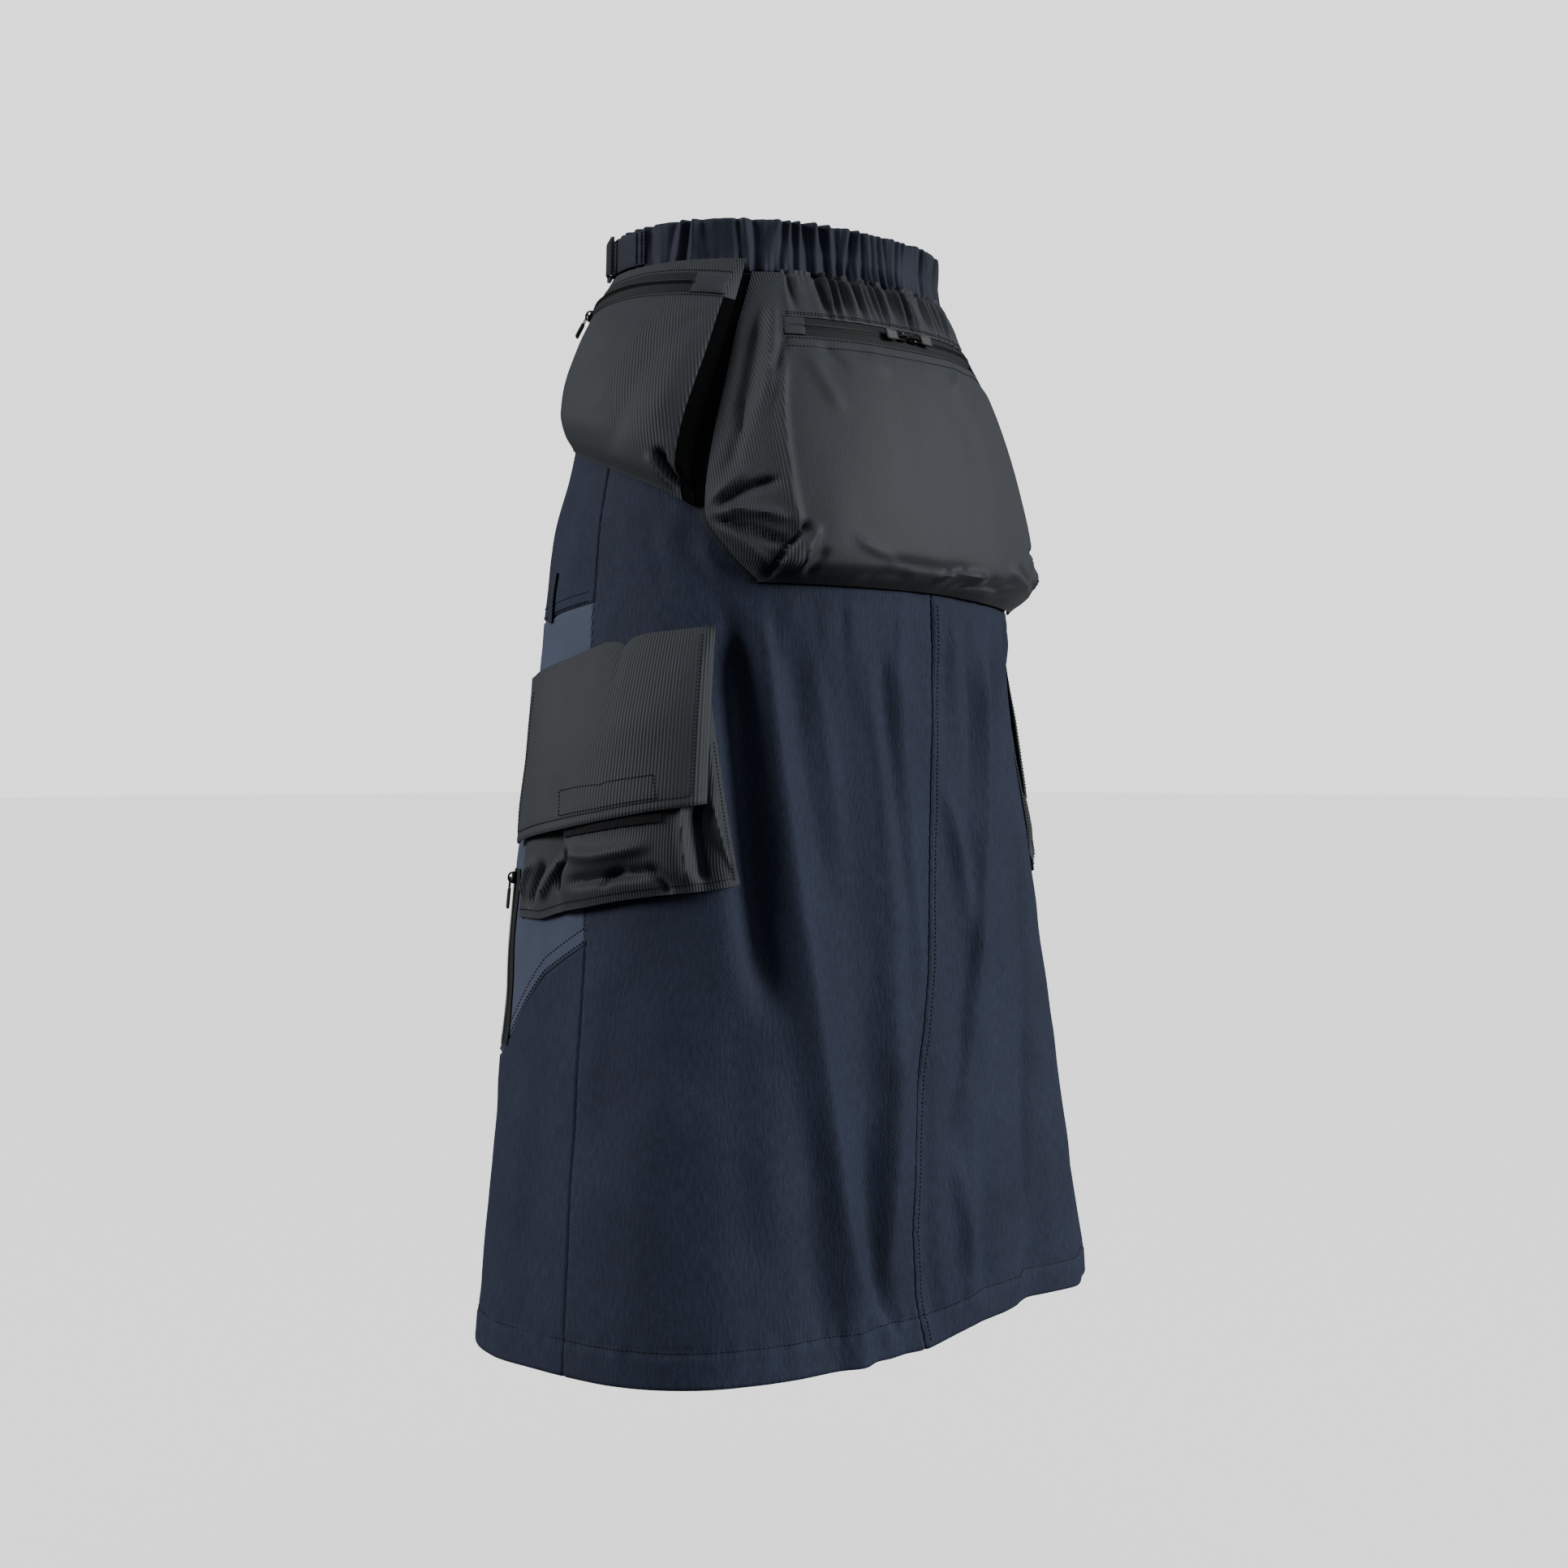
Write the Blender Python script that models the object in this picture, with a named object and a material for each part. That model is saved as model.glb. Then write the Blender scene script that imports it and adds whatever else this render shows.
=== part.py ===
"""Worn utility midi skirt: gathered waistband, bag pockets, cargo pockets and an A-line body.

Row frame: the origin is the middle of the waistband, +X is the wearer's left, +Y the wearer's
back and +Z up. Angles are in degrees round the body, 0 at +X and 90 at the centre back.
Table sizes are in millimetres.
"""
import math
from collections import namedtuple

import bpy
from mathutils import Vector

MM = 0.001

CLOTH_WALL = 1.4
HEM_WALL = 2.6
HEM_DEPTH = 25.0
POUCH_WALL = 1.5
TAPE_WALL = 1.2
SEAM_GAP = 0.3
SEAM_HALF_ANGLE = 0.07
LAID_GAP = 0.5

Section = namedtuple("Section", "z half_width half_depth squareness centre_x centre_y")
SECTIONS = (
    Section(19.5, 133.0, 95.0, 2.25, -1.0, -5.0),
    Section(-19.5, 134.5, 97.5, 2.25, 0.0, -4.0),
    Section(-70.0, 147.0, 111.0, 2.27, 1.5, -1.5),
    Section(-130.0, 164.0, 124.5, 2.30, 3.0, 1.0),
    Section(-190.0, 177.5, 136.0, 2.32, 4.5, 3.0),
    Section(-260.0, 185.0, 144.5, 2.33, 6.0, 4.0),
    Section(-320.0, 191.5, 147.0, 2.35, 6.5, 3.0),
    Section(-410.0, 205.5, 152.0, 2.40, 6.0, 2.0),
    Section(-520.0, 219.5, 157.0, 2.47, 3.5, 3.5),
    Section(-600.0, 230.0, 160.5, 2.52, 2.5, 5.5),
    Section(-680.0, 241.5, 163.5, 2.56, 1.0, 7.5),
    Section(-783.5, 253.0, 165.0, 2.70, -1.0, 9.0),
)

# Large folds of the lower panels: the angle of the middle at the upper and lower end, half width
# in degrees, height in millimetres (outward is positive) and the heights between which it runs.
Fold = namedtuple("Fold", "angle_top angle_bottom half_width height z_top z_bottom")
FOLDS = (
    Fold(28.0, 31.0, 15.0, 8.0, -560.0, -900.0),
    Fold(33.5, 43.0, 3.8, -11.0, -262.0, -560.0),
    Fold(39.5, 64.0, 4.0, 8.0, -262.0, -900.0),
    Fold(60.0, 68.0, 7.0, -7.0, -290.0, -900.0),
    Fold(79.0, 67.0, 4.0, 6.0, -285.0, -800.0),
    Fold(98.0, 104.0, 3.2, 4.0, -380.0, -520.0),
    Fold(118.0, 94.0, 4.2, 6.5, -270.0, -760.0),
    Fold(128.0, 118.0, 6.0, -6.0, -290.0, -900.0),
    Fold(139.0, 137.0, 9.0, -5.5, -262.0, -430.0),
    Fold(140.0, 133.0, 5.0, 6.0, -440.0, -900.0),
    Fold(157.0, 160.0, 6.0, -6.0, -500.0, -900.0),
    Fold(176.0, 172.0, 7.0, 6.0, -560.0, -900.0),
    Fold(-148.0, -146.0, 7.0, 7.0, -500.0, -900.0),
    Fold(-127.0, -128.0, 6.0, -6.0, -300.0, -900.0),
    Fold(-112.0, -108.0, 6.0, 6.0, -290.0, -900.0),
    Fold(-92.0, -88.0, 8.0, -5.0, -330.0, -900.0),
    Fold(-70.0, -74.0, 6.0, 6.0, -290.0, -900.0),
    Fold(-55.0, -56.0, 6.0, -6.0, -340.0, -900.0),
    Fold(-38.0, -40.0, 6.0, 5.0, -520.0, -900.0),
)
FOLD_FADE = 60.0

# Seam lines, as tables of (place, value) read by straight steps between the rows.
Knot = namedtuple("Knot", "at value")
SIDE_SEAM = (
    Knot(-19.5, -1.0), Knot(-256.0, -1.0), Knot(-495.0, 6.0), Knot(-783.5, 7.0),
)
BACK_SEAM = (
    Knot(-19.5, 93.8), Knot(-250.0, 93.8), Knot(-347.0, 93.0), Knot(-405.0, 91.0),
    Knot(-520.0, 86.0), Knot(-577.0, 82.0), Knot(-633.0, 79.0), Knot(-700.0, 76.0),
    Knot(-745.0, 76.5), Knot(-783.5, 79.0),
)
HIP_SEAM = (
    Knot(0.0, -256.0), Knot(20.0, -264.0), Knot(55.0, -270.0), Knot(90.0, -272.0),
)
CURVED_SEAM = (
    Knot(-6.0, -495.0), Knot(-2.0, -503.0), Knot(5.0, -518.0), Knot(10.0, -538.0),
    Knot(15.0, -561.0), Knot(20.0, -578.0), Knot(35.0, -586.0), Knot(90.0, -590.0),
)
BAG_SEAM = (
    Knot(27.0, -246.0), Knot(94.0, -249.0), Knot(134.0, -255.0), Knot(161.0, -256.0),
)
BAG_EDGE = (
    Knot(-20.0, 35.5), Knot(-43.0, 33.5), Knot(-61.0, 32.0), Knot(-103.0, 29.8),
    Knot(-145.0, 27.8), Knot(-180.0, 27.0), Knot(-196.0, 27.2), Knot(-225.0, 33.0),
    Knot(-247.0, 40.0),
)
BAG_RIDGE = (
    Knot(-20.0, 45.0), Knot(-75.0, 44.0), Knot(-123.0, 43.5), Knot(-181.0, 45.0),
    Knot(-212.0, 47.0), Knot(-250.0, 49.0),
)
BAG_MIDDLE = 94.0

# How far the hem hangs under (-) or over (+) its level, round the body.
HEM_LEVEL = (
    Knot(-180.0, 9.0), Knot(-150.0, 4.0), Knot(-90.0, -3.0), Knot(-30.0, -4.0), Knot(0.0, -2.0),
    Knot(30.0, -1.0), Knot(60.0, 0.0), Knot(80.0, 1.0), Knot(100.0, 11.0), Knot(120.0, 16.0),
    Knot(140.0, 15.0), Knot(155.0, 12.0), Knot(180.0, 9.0),
)
HEM_LEVEL_START = -520.0

WAIST_TOP = 19.5
WAIST_BOTTOM = -19.5
HEM = -783.5
TOP_START = WAIST_BOTTOM - SEAM_GAP

WAIST_WALL = 2.6
WAIST_LIFT = 0.8
GATHERS = 50
GATHER_HEIGHT = 1.7
GATHER_STEPS = 4

# The back bag row by row: how far down it is and how far its middle stands off the yoke.
BagRow = namedtuple("BagRow", "z lift")
BAG_ROWS = (
    BagRow(-20.0, 4.5), BagRow(-36.0, 8.0), BagRow(-54.5, 12.0), BagRow(-68.5, 15.0),
    BagRow(-88.0, 19.5), BagRow(-112.0, 22.5), BagRow(-140.0, 24.0), BagRow(-170.0, 25.0),
    BagRow(-200.0, 25.5), BagRow(-222.0, 25.0), BagRow(-235.0, 22.5), BagRow(-241.5, 15.5),
    BagRow(-246.5, 6.5), BagRow(-248.5, 2.6),
)
BAG_ZIP_TOP_ROW = 2
BAG_FACE_TOP_ROW = 3
# From the side edge to the ridge (share 0 to 1), then on to the middle of the face (1 to 2).
BagColumn = namedtuple("BagColumn", "share lift_share")
BAG_COLUMNS = (
    BagColumn(0.0, 0.0), BagColumn(0.3, 0.34), BagColumn(0.65, 0.68), BagColumn(1.0, 0.90),
    BagColumn(1.12, 0.93), BagColumn(1.26, 0.96), BagColumn(1.4, 0.98), BagColumn(1.55, 1.0),
    BagColumn(1.7, 0.99), BagColumn(1.85, 1.0), BagColumn(2.0, 0.98),
)
RIM_LIFT = 2.4
STRIP_GATHERS = 20
STRIP_END = 0.5
STRIP_GATHER_HEIGHT = 1.6

# The hip pouch from its rear edge (share 0) to its front edge (share 1).
POUCH_REAR = (
    Knot(-11.0, 33.5), Knot(-50.0, 30.2), Knot(-80.0, 28.2), Knot(-110.0, 26.0),
    Knot(-145.0, 23.8), Knot(-165.0, 23.2), Knot(-194.0, 24.8),
)
POUCH_FRONT_ANGLE = -58.0
POUCH_TOP = -11.0
POUCH_BOTTOM = (
    Knot(-58.0, -116.0), Knot(-40.0, -127.0), Knot(-22.0, -141.0), Knot(-3.0, -158.0),
    Knot(9.0, -171.0), Knot(18.0, -182.0), Knot(25.0, -194.0),
)
PouchRow = namedtuple("PouchRow", "share lift")
POUCH_ROWS = (
    PouchRow(0.0, 5.2), PouchRow(0.08, 9.5), PouchRow(0.22, 15.0), PouchRow(0.4, 19.5),
    PouchRow(0.6, 21.5), PouchRow(0.78, 18.5), PouchRow(0.91, 11.0), PouchRow(1.0, 2.0),
)
PouchColumn = namedtuple("PouchColumn", "share lift_share")
POUCH_COLUMNS = (
    PouchColumn(0.0, 0.0), PouchColumn(0.035, 0.42), PouchColumn(0.09, 0.72),
    PouchColumn(0.17, 0.88), PouchColumn(0.27, 0.95), PouchColumn(0.38, 1.0),
    PouchColumn(0.5, 1.0), PouchColumn(0.6, 1.0), PouchColumn(0.7, 0.99),
    PouchColumn(0.8, 0.92), PouchColumn(0.88, 0.78), PouchColumn(0.95, 0.45),
    PouchColumn(1.0, 0.0),
)
HIP_ZIP_HEIGHT = 15.0
HIP_ZIP_SHARES = (0.045, 0.9)
HIP_ZIP_MIDDLE = (Knot(0.0, 0.115), Knot(0.3, 0.105), Knot(0.6, 0.15), Knot(0.7, 0.2), Knot(1.0, 0.32))
HIP_SLIDER_SHARE = 0.69

# The cargo pocket column by column, rear edge first.
CargoColumn = namedtuple("CargoColumn", "angle_top angle_bottom lift z_bottom")
CARGO_COLUMNS = (
    CargoColumn(29.0, 37.0, 3.0, -453.0), CargoColumn(28.3, 34.0, 7.0, -455.0),
    CargoColumn(27.6, 30.5, 5.0, -457.0), CargoColumn(26.8, 27.6, 11.5, -458.0),
    CargoColumn(22.0, 22.5, 13.0, -460.0), CargoColumn(15.0, 15.0, 13.5, -464.0),
    CargoColumn(8.0, 8.0, 13.0, -469.0), CargoColumn(2.0, 2.0, 11.5, -473.0),
    CargoColumn(0.8, -1.0, 5.0, -475.0), CargoColumn(-6.0, -7.0, 6.0, -480.0),
    CargoColumn(-12.0, -12.5, 4.5, -480.0), CargoColumn(-15.0, -15.5, 2.8, -481.0),
)
CargoRow = namedtuple("CargoRow", "share lift_share")
CARGO_ROWS = (
    CargoRow(0.0, 0.42), CargoRow(0.14, 0.8), CargoRow(0.32, 0.95), CargoRow(0.52, 1.0),
    CargoRow(0.72, 1.0), CargoRow(0.88, 0.92), CargoRow(1.0, 0.5),
)
# The pocket and the front zip on the wearer's right sit further forward; the pocket lies flatter.
RIGHT_TURN = 7.0
CARGO_RIGHT_LIFT = 0.62
CARGO_TOP = (Knot(-19.0, -326.0), Knot(29.0, -303.0))
FLAP_PLAY = 2.0
FLAP_REAR = 30.5
FLAP_FRONT = -19.5
FLAP_TOP = (
    Knot(-19.5, -310.0), Knot(-16.0, -305.0), Knot(5.0, -286.0), Knot(10.0, -286.0),
    Knot(15.0, -281.0), Knot(22.0, -279.0), Knot(30.5, -276.0),
)
FLAP_BOTTOM = (
    Knot(-19.5, -429.0), Knot(-8.0, -422.0), Knot(4.0, -415.0), Knot(21.0, -403.0),
    Knot(30.5, -398.0),
)
FlapRow = namedtuple("FlapRow", "share lift front_lift")
FLAP_ROWS = (
    FlapRow(0.0, 2.4, 11.0), FlapRow(0.1, 6.5, 10.0), FlapRow(0.28, 12.0, 8.5),
    FlapRow(0.52, 15.8, 7.0), FlapRow(0.78, 17.0, 6.0), FlapRow(1.0, 17.5, 5.4),
)
FlapColumn = namedtuple("FlapColumn", "share lift_share front_share")
FLAP_COLUMNS = (
    FlapColumn(0.0, 0.56, 0.0), FlapColumn(0.05, 0.95, 0.0), FlapColumn(0.14, 1.0, 0.0),
    FlapColumn(0.26, 1.0, 0.0), FlapColumn(0.38, 1.0, 0.0), FlapColumn(0.5, 1.0, 0.0),
    FlapColumn(0.62, 1.0, 0.1), FlapColumn(0.74, 0.97, 0.3), FlapColumn(0.87, 0.95, 0.7),
    FlapColumn(1.0, 0.9, 1.0),
)
LOOP_ANGLES = (24.0, 1.0)
LOOP_STEPS = 6
LOOP_SHARES = (0.61, 0.71)

FRONT_COLUMNS = 42
BACK_SIDE_COLUMNS = 8
BACK_MIDDLE_COLUMNS = 15
YOKE_COLUMNS = 26
TOP_ROWS = 6
MID_ROWS = 7
LOW_ROWS = 6

FRONT_ZIP_ANGLES = (-21.5, -18.5)
FRONT_ZIP_HEIGHTS = (-447.0, -572.0)
FRONT_ZIP_WIDTH = 15.0
FRONT_ZIP_STEPS = 5
FRONT_TAB_ANGLE = -20.0
FRONT_TAB_WIDTH = 9.0
FRONT_TAB_HEIGHTS = (-232.0, -268.0)

BELT_TOP = 16.5
BELT_BOTTOM = -8.5
BELT_LIFT = 4.8
BELT_END_DROP = 1.1
BELT_END_REACH = 6.0
BELT_WALL = 1.6
BELT_ANGLES = (-1.0, -179.0)
BELT_STEPS = 44
BUCKLE_ANGLE = -22.0
BUCKLE_BAR = 3.0
BUCKLE_SLOT = 7.5
BUCKLE_THICK = 2.6
BUCKLE_RAIL = 2.0
BUCKLE_PLAY = 0.6
BUCKLE_LIFT = 7.5
BUCKLE_HUMP = 6.0

SLIDER_LENGTH = 9.0
SLIDER_WIDTH = 7.0
SLIDER_BODY = 2.0
BRIDGE_WIDTH = 1.6
BRIDGE_POST = 1.2
BRIDGE_INNER = 2.4
BRIDGE_TOP = 1.1
PULL_BAR = 1.0
PULL_EYE_LENGTH = 7.0
PULL_EYE_WIDTH = 4.2
PULL_SIDE = 1.1
PULL_TAB_LENGTH = 12.5
PULL_TAB_WIDTH = 8.4
FRONT_PULL_TAB_LENGTH = 16.0
FRONT_PULL_TAB_WIDTH = 6.0
HINGE_HEIGHT = SLIDER_BODY + BRIDGE_INNER / 2.0
BACK_SLIDER_SPREAD = 2.7
BACK_SLIDER_MIDDLE = 93.0


def clear_scene():
    for thing in list(bpy.data.objects):
        bpy.data.objects.remove(thing, do_unlink=True)


def make_material(name, colour, roughness, metallic=0.0):
    material = bpy.data.materials.new(name)
    material.use_nodes = True
    shader = material.node_tree.nodes["Principled BSDF"]
    shader.inputs["Base Color"].default_value = (*colour, 1.0)
    shader.inputs["Roughness"].default_value = roughness
    shader.inputs["Metallic"].default_value = metallic
    return material


def lerp(a, b, share):
    return a + (b - a) * share


def read_table(table, at):
    """Value at a place in a table of knots, held constant past its ends."""
    rows = sorted(table)
    if at <= rows[0].at:
        return rows[0].value
    for low, high in zip(rows, rows[1:]):
        if at <= high.at:
            return lerp(low.value, high.value, (at - low.at) / (high.at - low.at))
    return rows[-1].value


def section_at(z):
    """Half width, half depth, squareness and centre at a height, smoothed between the rows."""
    rows = SECTIONS
    z = min(max(z, rows[-1].z), rows[0].z)
    index = 0
    while index < len(rows) - 2 and z < rows[index + 1].z:
        index += 1
    share = (z - rows[index].z) / (rows[index + 1].z - rows[index].z)
    before = rows[max(index - 1, 0)]
    low = rows[index]
    high = rows[index + 1]
    after = rows[min(index + 2, len(rows) - 1)]
    span = high.z - low.z
    result = []
    for column in range(1, 6):
        slope_low = (high[column] - before[column]) / (high.z - before.z) * span
        slope_high = (after[column] - low[column]) / (after.z - low.z) * span
        s2 = share * share
        s3 = s2 * share
        value = (2 * s3 - 3 * s2 + 1) * low[column] + (s3 - 2 * s2 + share) * slope_low
        value += (3 * s2 - 2 * s3) * high[column] + (s3 - s2) * slope_high
        result.append(value)
    return result


def fold_height(angle, z):
    """Sum of the large folds at a place, in millimetres."""
    total = 0.0
    for fold in FOLDS:
        if z >= fold.z_top or z <= fold.z_bottom:
            continue
        share = (z - fold.z_top) / (fold.z_bottom - fold.z_top)
        middle = lerp(fold.angle_top, fold.angle_bottom, share)
        away = (angle - middle + 180.0) % 360.0 - 180.0
        away /= fold.half_width
        if abs(away) > 3.0:
            continue
        ends = min(1.0, (fold.z_top - z) / FOLD_FADE)
        if fold.z_bottom > HEM:
            ends = min(ends, (z - fold.z_bottom) / FOLD_FADE)
        ends = ends * ends * (3.0 - 2.0 * ends)
        if fold.z_bottom < HEM:
            ends *= lerp(0.35, 1.0, min(1.0, (fold.z_top - z) / (fold.z_top - HEM)))
        total += fold.height * ends * math.exp(-away * away)
    return total


def hem_shift(angle, z):
    """How far the uneven hem moves a place up or down."""
    if z >= HEM_LEVEL_START:
        return 0.0
    share = (z - HEM_LEVEL_START) / (HEM - HEM_LEVEL_START)
    return read_table(HEM_LEVEL, (angle + 180.0) % 360.0 - 180.0) * share * share


def cloth_point(angle, z, lift=0.0):
    """Point of the skirt's outer face at an angle and height, moved out by lift millimetres."""
    half_width, half_depth, power, centre_x, centre_y = section_at(z)
    turn = math.radians(angle)
    c = math.cos(turn)
    s = math.sin(turn)
    radius = (abs(c / half_width) ** power + abs(s / half_depth) ** power) ** (-1.0 / power)
    x = radius * c
    y = radius * s
    normal_x = math.copysign(abs(x / half_width) ** (power - 1.0) / half_width, x)
    normal_y = math.copysign(abs(y / half_depth) ** (power - 1.0) / half_depth, y)
    size = math.hypot(normal_x, normal_y)
    out = lift + fold_height(angle, z)
    return Vector((
        (centre_x + x + out * normal_x / size) * MM,
        (centre_y + y + out * normal_y / size) * MM,
        (z + hem_shift(angle, z)) * MM,
    ))


def mirrored(angle, side):
    """The same place on the wearer's right when side is -1."""
    return angle if side > 0 else 180.0 - angle


def face_frame(angle, z, lift, side=1):
    """Origin on the cloth with unit directions round the body, up it and out of it."""
    step = 0.6
    here = cloth_point(angle, z, lift)
    around = (cloth_point(angle + step, z, lift) - cloth_point(angle - step, z, lift)).normalized()
    up = (cloth_point(angle, z + 4.0, lift) - cloth_point(angle, z - 4.0, lift)).normalized()
    out = around.cross(up).normalized()
    up = out.cross(around).normalized()
    return here, around, up, out


def add_mesh(name, points, faces, material):
    mesh = bpy.data.meshes.new(name)
    mesh.from_pydata([tuple(p) for p in points], [], faces)
    mesh.validate()
    mesh.update()
    thing = bpy.data.objects.new(name, mesh)
    bpy.context.scene.collection.objects.link(thing)
    mesh.materials.append(material)
    return thing


def signed_volume(points, faces):
    total = 0.0
    for a, b, c in faces:
        total += points[a].dot(points[b].cross(points[c]))
    return total


def shell(name, grid, walls, material, closed=False, kept=None, inner=None, level=False):
    """One closed cloth wall from a grid of outer points.

    grid: rows of points; closed joins the last column to the first. walls: the wall in
    millimetres, one number or one for each row. kept: says of a cell (row, column) whether it
    is part of the piece. inner: the inner points, where they don't follow from the wall.
    level: the wall is measured level.
    """
    rows = len(grid)
    columns = len(grid[0])
    spans = columns if closed else columns - 1
    if not isinstance(walls, (list, tuple)):
        walls = [walls] * rows
    cells = [
        (i, j) for i in range(rows - 1) for j in range(spans) if kept is None or kept(i, j)
    ]
    normals = {}
    for i, j in cells:
        k = (j + 1) % columns
        a, b, c, d = grid[i][j], grid[i][k], grid[i + 1][k], grid[i + 1][j]
        normal = (c - a).cross(d - b)
        if normal.length > 0.0:
            normal.normalize()
        for corner in ((i, j), (i, k), (i + 1, k), (i + 1, j)):
            normals[corner] = normals.get(corner, Vector((0.0, 0.0, 0.0))) + normal
    total = 0.0
    for (i, j), normal in normals.items():
        if level:
            normal.z = 0.0
        normal.normalize()
        total += normal.dot(Vector((grid[i][j].x, grid[i][j].y, 0.0)).normalized())
    sign = 1.0 if total > 0.0 else -1.0
    index = {}
    points = []
    for (i, j) in sorted(normals):
        index[(i, j)] = len(points)
        points.append(grid[i][j].copy())
        if inner:
            points.append(inner[i][j])
        else:
            points.append(grid[i][j] - normals[(i, j)] * (sign * walls[i] * MM))
    faces = []
    edges = {}
    for i, j in cells:
        k = (j + 1) % columns
        a, b, c, d = (index[q] for q in ((i, j), (i, k), (i + 1, k), (i + 1, j)))
        for one, two, three in ((a, b, c), (a, c, d)):
            faces.append((one, two, three))
            faces.append((one + 1, three + 1, two + 1))
        for start, end in ((a, b), (b, c), (c, d), (d, a)):
            edges[(start, end)] = edges.get((start, end), 0) + 1
    for start, end in edges:
        if (end, start) not in edges:
            faces.append((end, start, start + 1))
            faces.append((end, start + 1, end + 1))
    if signed_volume(points, faces) < 0.0:
        faces = [(a, c, b) for a, b, c in faces]
    return add_mesh(name, points, faces, material)


def panel(name, places, walls, material, kept=None):
    """Panel of the skirt from rows of (angle, z) places; its wall is measured inwards from them."""
    if not isinstance(walls, (list, tuple)):
        walls = [walls] * len(places)
    outer = [[cloth_point(angle, z) for angle, z in row] for row in places]
    inner = [
        [cloth_point(angle, z, -wall) for angle, z in row] for row, wall in zip(places, walls)
    ]
    return shell(name, outer, walls, material, kept=kept, inner=inner)


def blocks(name, origin, axes, cuts, filled, material):
    """Closed body of box cells. cuts: three lists of places in millimetres; filled: cells."""
    index = {}
    points = []
    faces = []
    filled = set(filled)

    def corner(i, j, k):
        key = (i, j, k)
        if key not in index:
            index[key] = len(points)
            place = origin.copy()
            for axis, cut, n in zip(axes, cuts, key):
                place += axis * (cut[n] * MM)
            points.append(place)
        return index[key]

    for i, j, k in sorted(filled):
        sides = (
            ((-1, 0, 0), ((0, 0, 0), (0, 0, 1), (0, 1, 1), (0, 1, 0))),
            ((1, 0, 0), ((1, 0, 0), (1, 1, 0), (1, 1, 1), (1, 0, 1))),
            ((0, -1, 0), ((0, 0, 0), (1, 0, 0), (1, 0, 1), (0, 0, 1))),
            ((0, 1, 0), ((0, 1, 0), (0, 1, 1), (1, 1, 1), (1, 1, 0))),
            ((0, 0, -1), ((0, 0, 0), (0, 1, 0), (1, 1, 0), (1, 0, 0))),
            ((0, 0, 1), ((0, 0, 1), (1, 0, 1), (1, 1, 1), (0, 1, 1))),
        )
        for step, loop in sides:
            if (i + step[0], j + step[1], k + step[2]) in filled:
                continue
            a, b, c, d = (corner(i + p, j + q, k + r) for p, q, r in loop)
            faces.append((a, b, c))
            faces.append((a, c, d))
    if signed_volume(points, faces) < 0.0:
        faces = [(a, c, b) for a, b, c in faces]
    return add_mesh(name, points, faces, material)


def gather_wave(share, count, seed):
    """Uneven wave from -1 to 1 for a run of gathers; share runs from 0 to 1."""
    base = share * count
    shift = 0.22 * math.sin(2.0 * math.pi * (3.0 * share + seed))
    shift += 0.16 * math.sin(2.0 * math.pi * (7.0 * share + 0.37 * seed))
    size = 0.78 + 0.22 * math.sin(2.0 * math.pi * (5.0 * share + 0.61 * seed))
    return size * math.sin(2.0 * math.pi * (base + shift))


def build_waistband(material):
    columns = GATHERS * GATHER_STEPS
    heights = (WAIST_TOP, 0.0, WAIST_BOTTOM)
    strengths = (0.75, 0.6, 1.0)
    grid = []
    for z, strength in zip(heights, strengths):
        row = []
        for j in range(columns):
            share = j / columns
            wave = gather_wave(share, GATHERS, 0.2)
            row.append(cloth_point(360.0 * share, z, WAIST_LIFT + wave * GATHER_HEIGHT * strength))
        grid.append(row)
    return shell("waistband", grid, WAIST_WALL, material, closed=True, level=True)


def front_angle(z, share):
    """Angle of a share of the way from the left side seam over the front to the right one."""
    seam = read_table(SIDE_SEAM, z)
    return lerp(seam - SEAM_HALF_ANGLE, -180.0 - seam + SEAM_HALF_ANGLE, share)


def from_front_middle(angle):
    """Degrees forward of the side of the body, the same on both sides."""
    return -angle if angle > -90.0 else 180.0 + angle


def hip_seam_z(angle):
    return read_table(HIP_SEAM, from_front_middle(angle))


def curved_seam_z(angle):
    return read_table(CURVED_SEAM, from_front_middle(angle))


def front_grid(top_z, bottom_z, rows, hem=False):
    """Rows of places over the front between two seam lines, given as functions of the angle."""
    grid = []
    shares = [i / rows for i in range(rows + 1)]
    for row_share in shares:
        row = []
        for j in range(FRONT_COLUMNS + 1):
            share = j / FRONT_COLUMNS
            angle = front_angle(-300.0, share)
            for _ in range(3):
                z = lerp(top_z(angle), bottom_z(angle), row_share)
                angle = front_angle(z, share)
            row.append((angle, z))
        grid.append(row)
    if not hem:
        return grid, CLOTH_WALL
    turn = []
    step = []
    for j in range(FRONT_COLUMNS + 1):
        share = j / FRONT_COLUMNS
        for line, z in ((turn, HEM + HEM_DEPTH), (step, HEM + HEM_DEPTH - 2.0)):
            line.append((front_angle(z, share), z))
    last = grid.pop()
    grid += [turn, step, last]
    return grid, [CLOTH_WALL] * (len(grid) - 2) + [HEM_WALL] * 2


def build_front(navy, ripstop):
    top, wall = front_grid(lambda a: TOP_START, hip_seam_z, TOP_ROWS)
    panel("front_top_panel", top, wall, navy)
    mid, wall = front_grid(lambda a: hip_seam_z(a) - SEAM_GAP, curved_seam_z, MID_ROWS)
    panel("front_mid_panel", mid, wall, ripstop)
    low, walls = front_grid(lambda a: curved_seam_z(a) - 2.0 * SEAM_GAP, lambda a: HEM, LOW_ROWS, hem=True)
    panel("front_lower_panel", low, walls, navy)


def bag_edge_angle(z):
    return read_table(BAG_EDGE, z)


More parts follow.
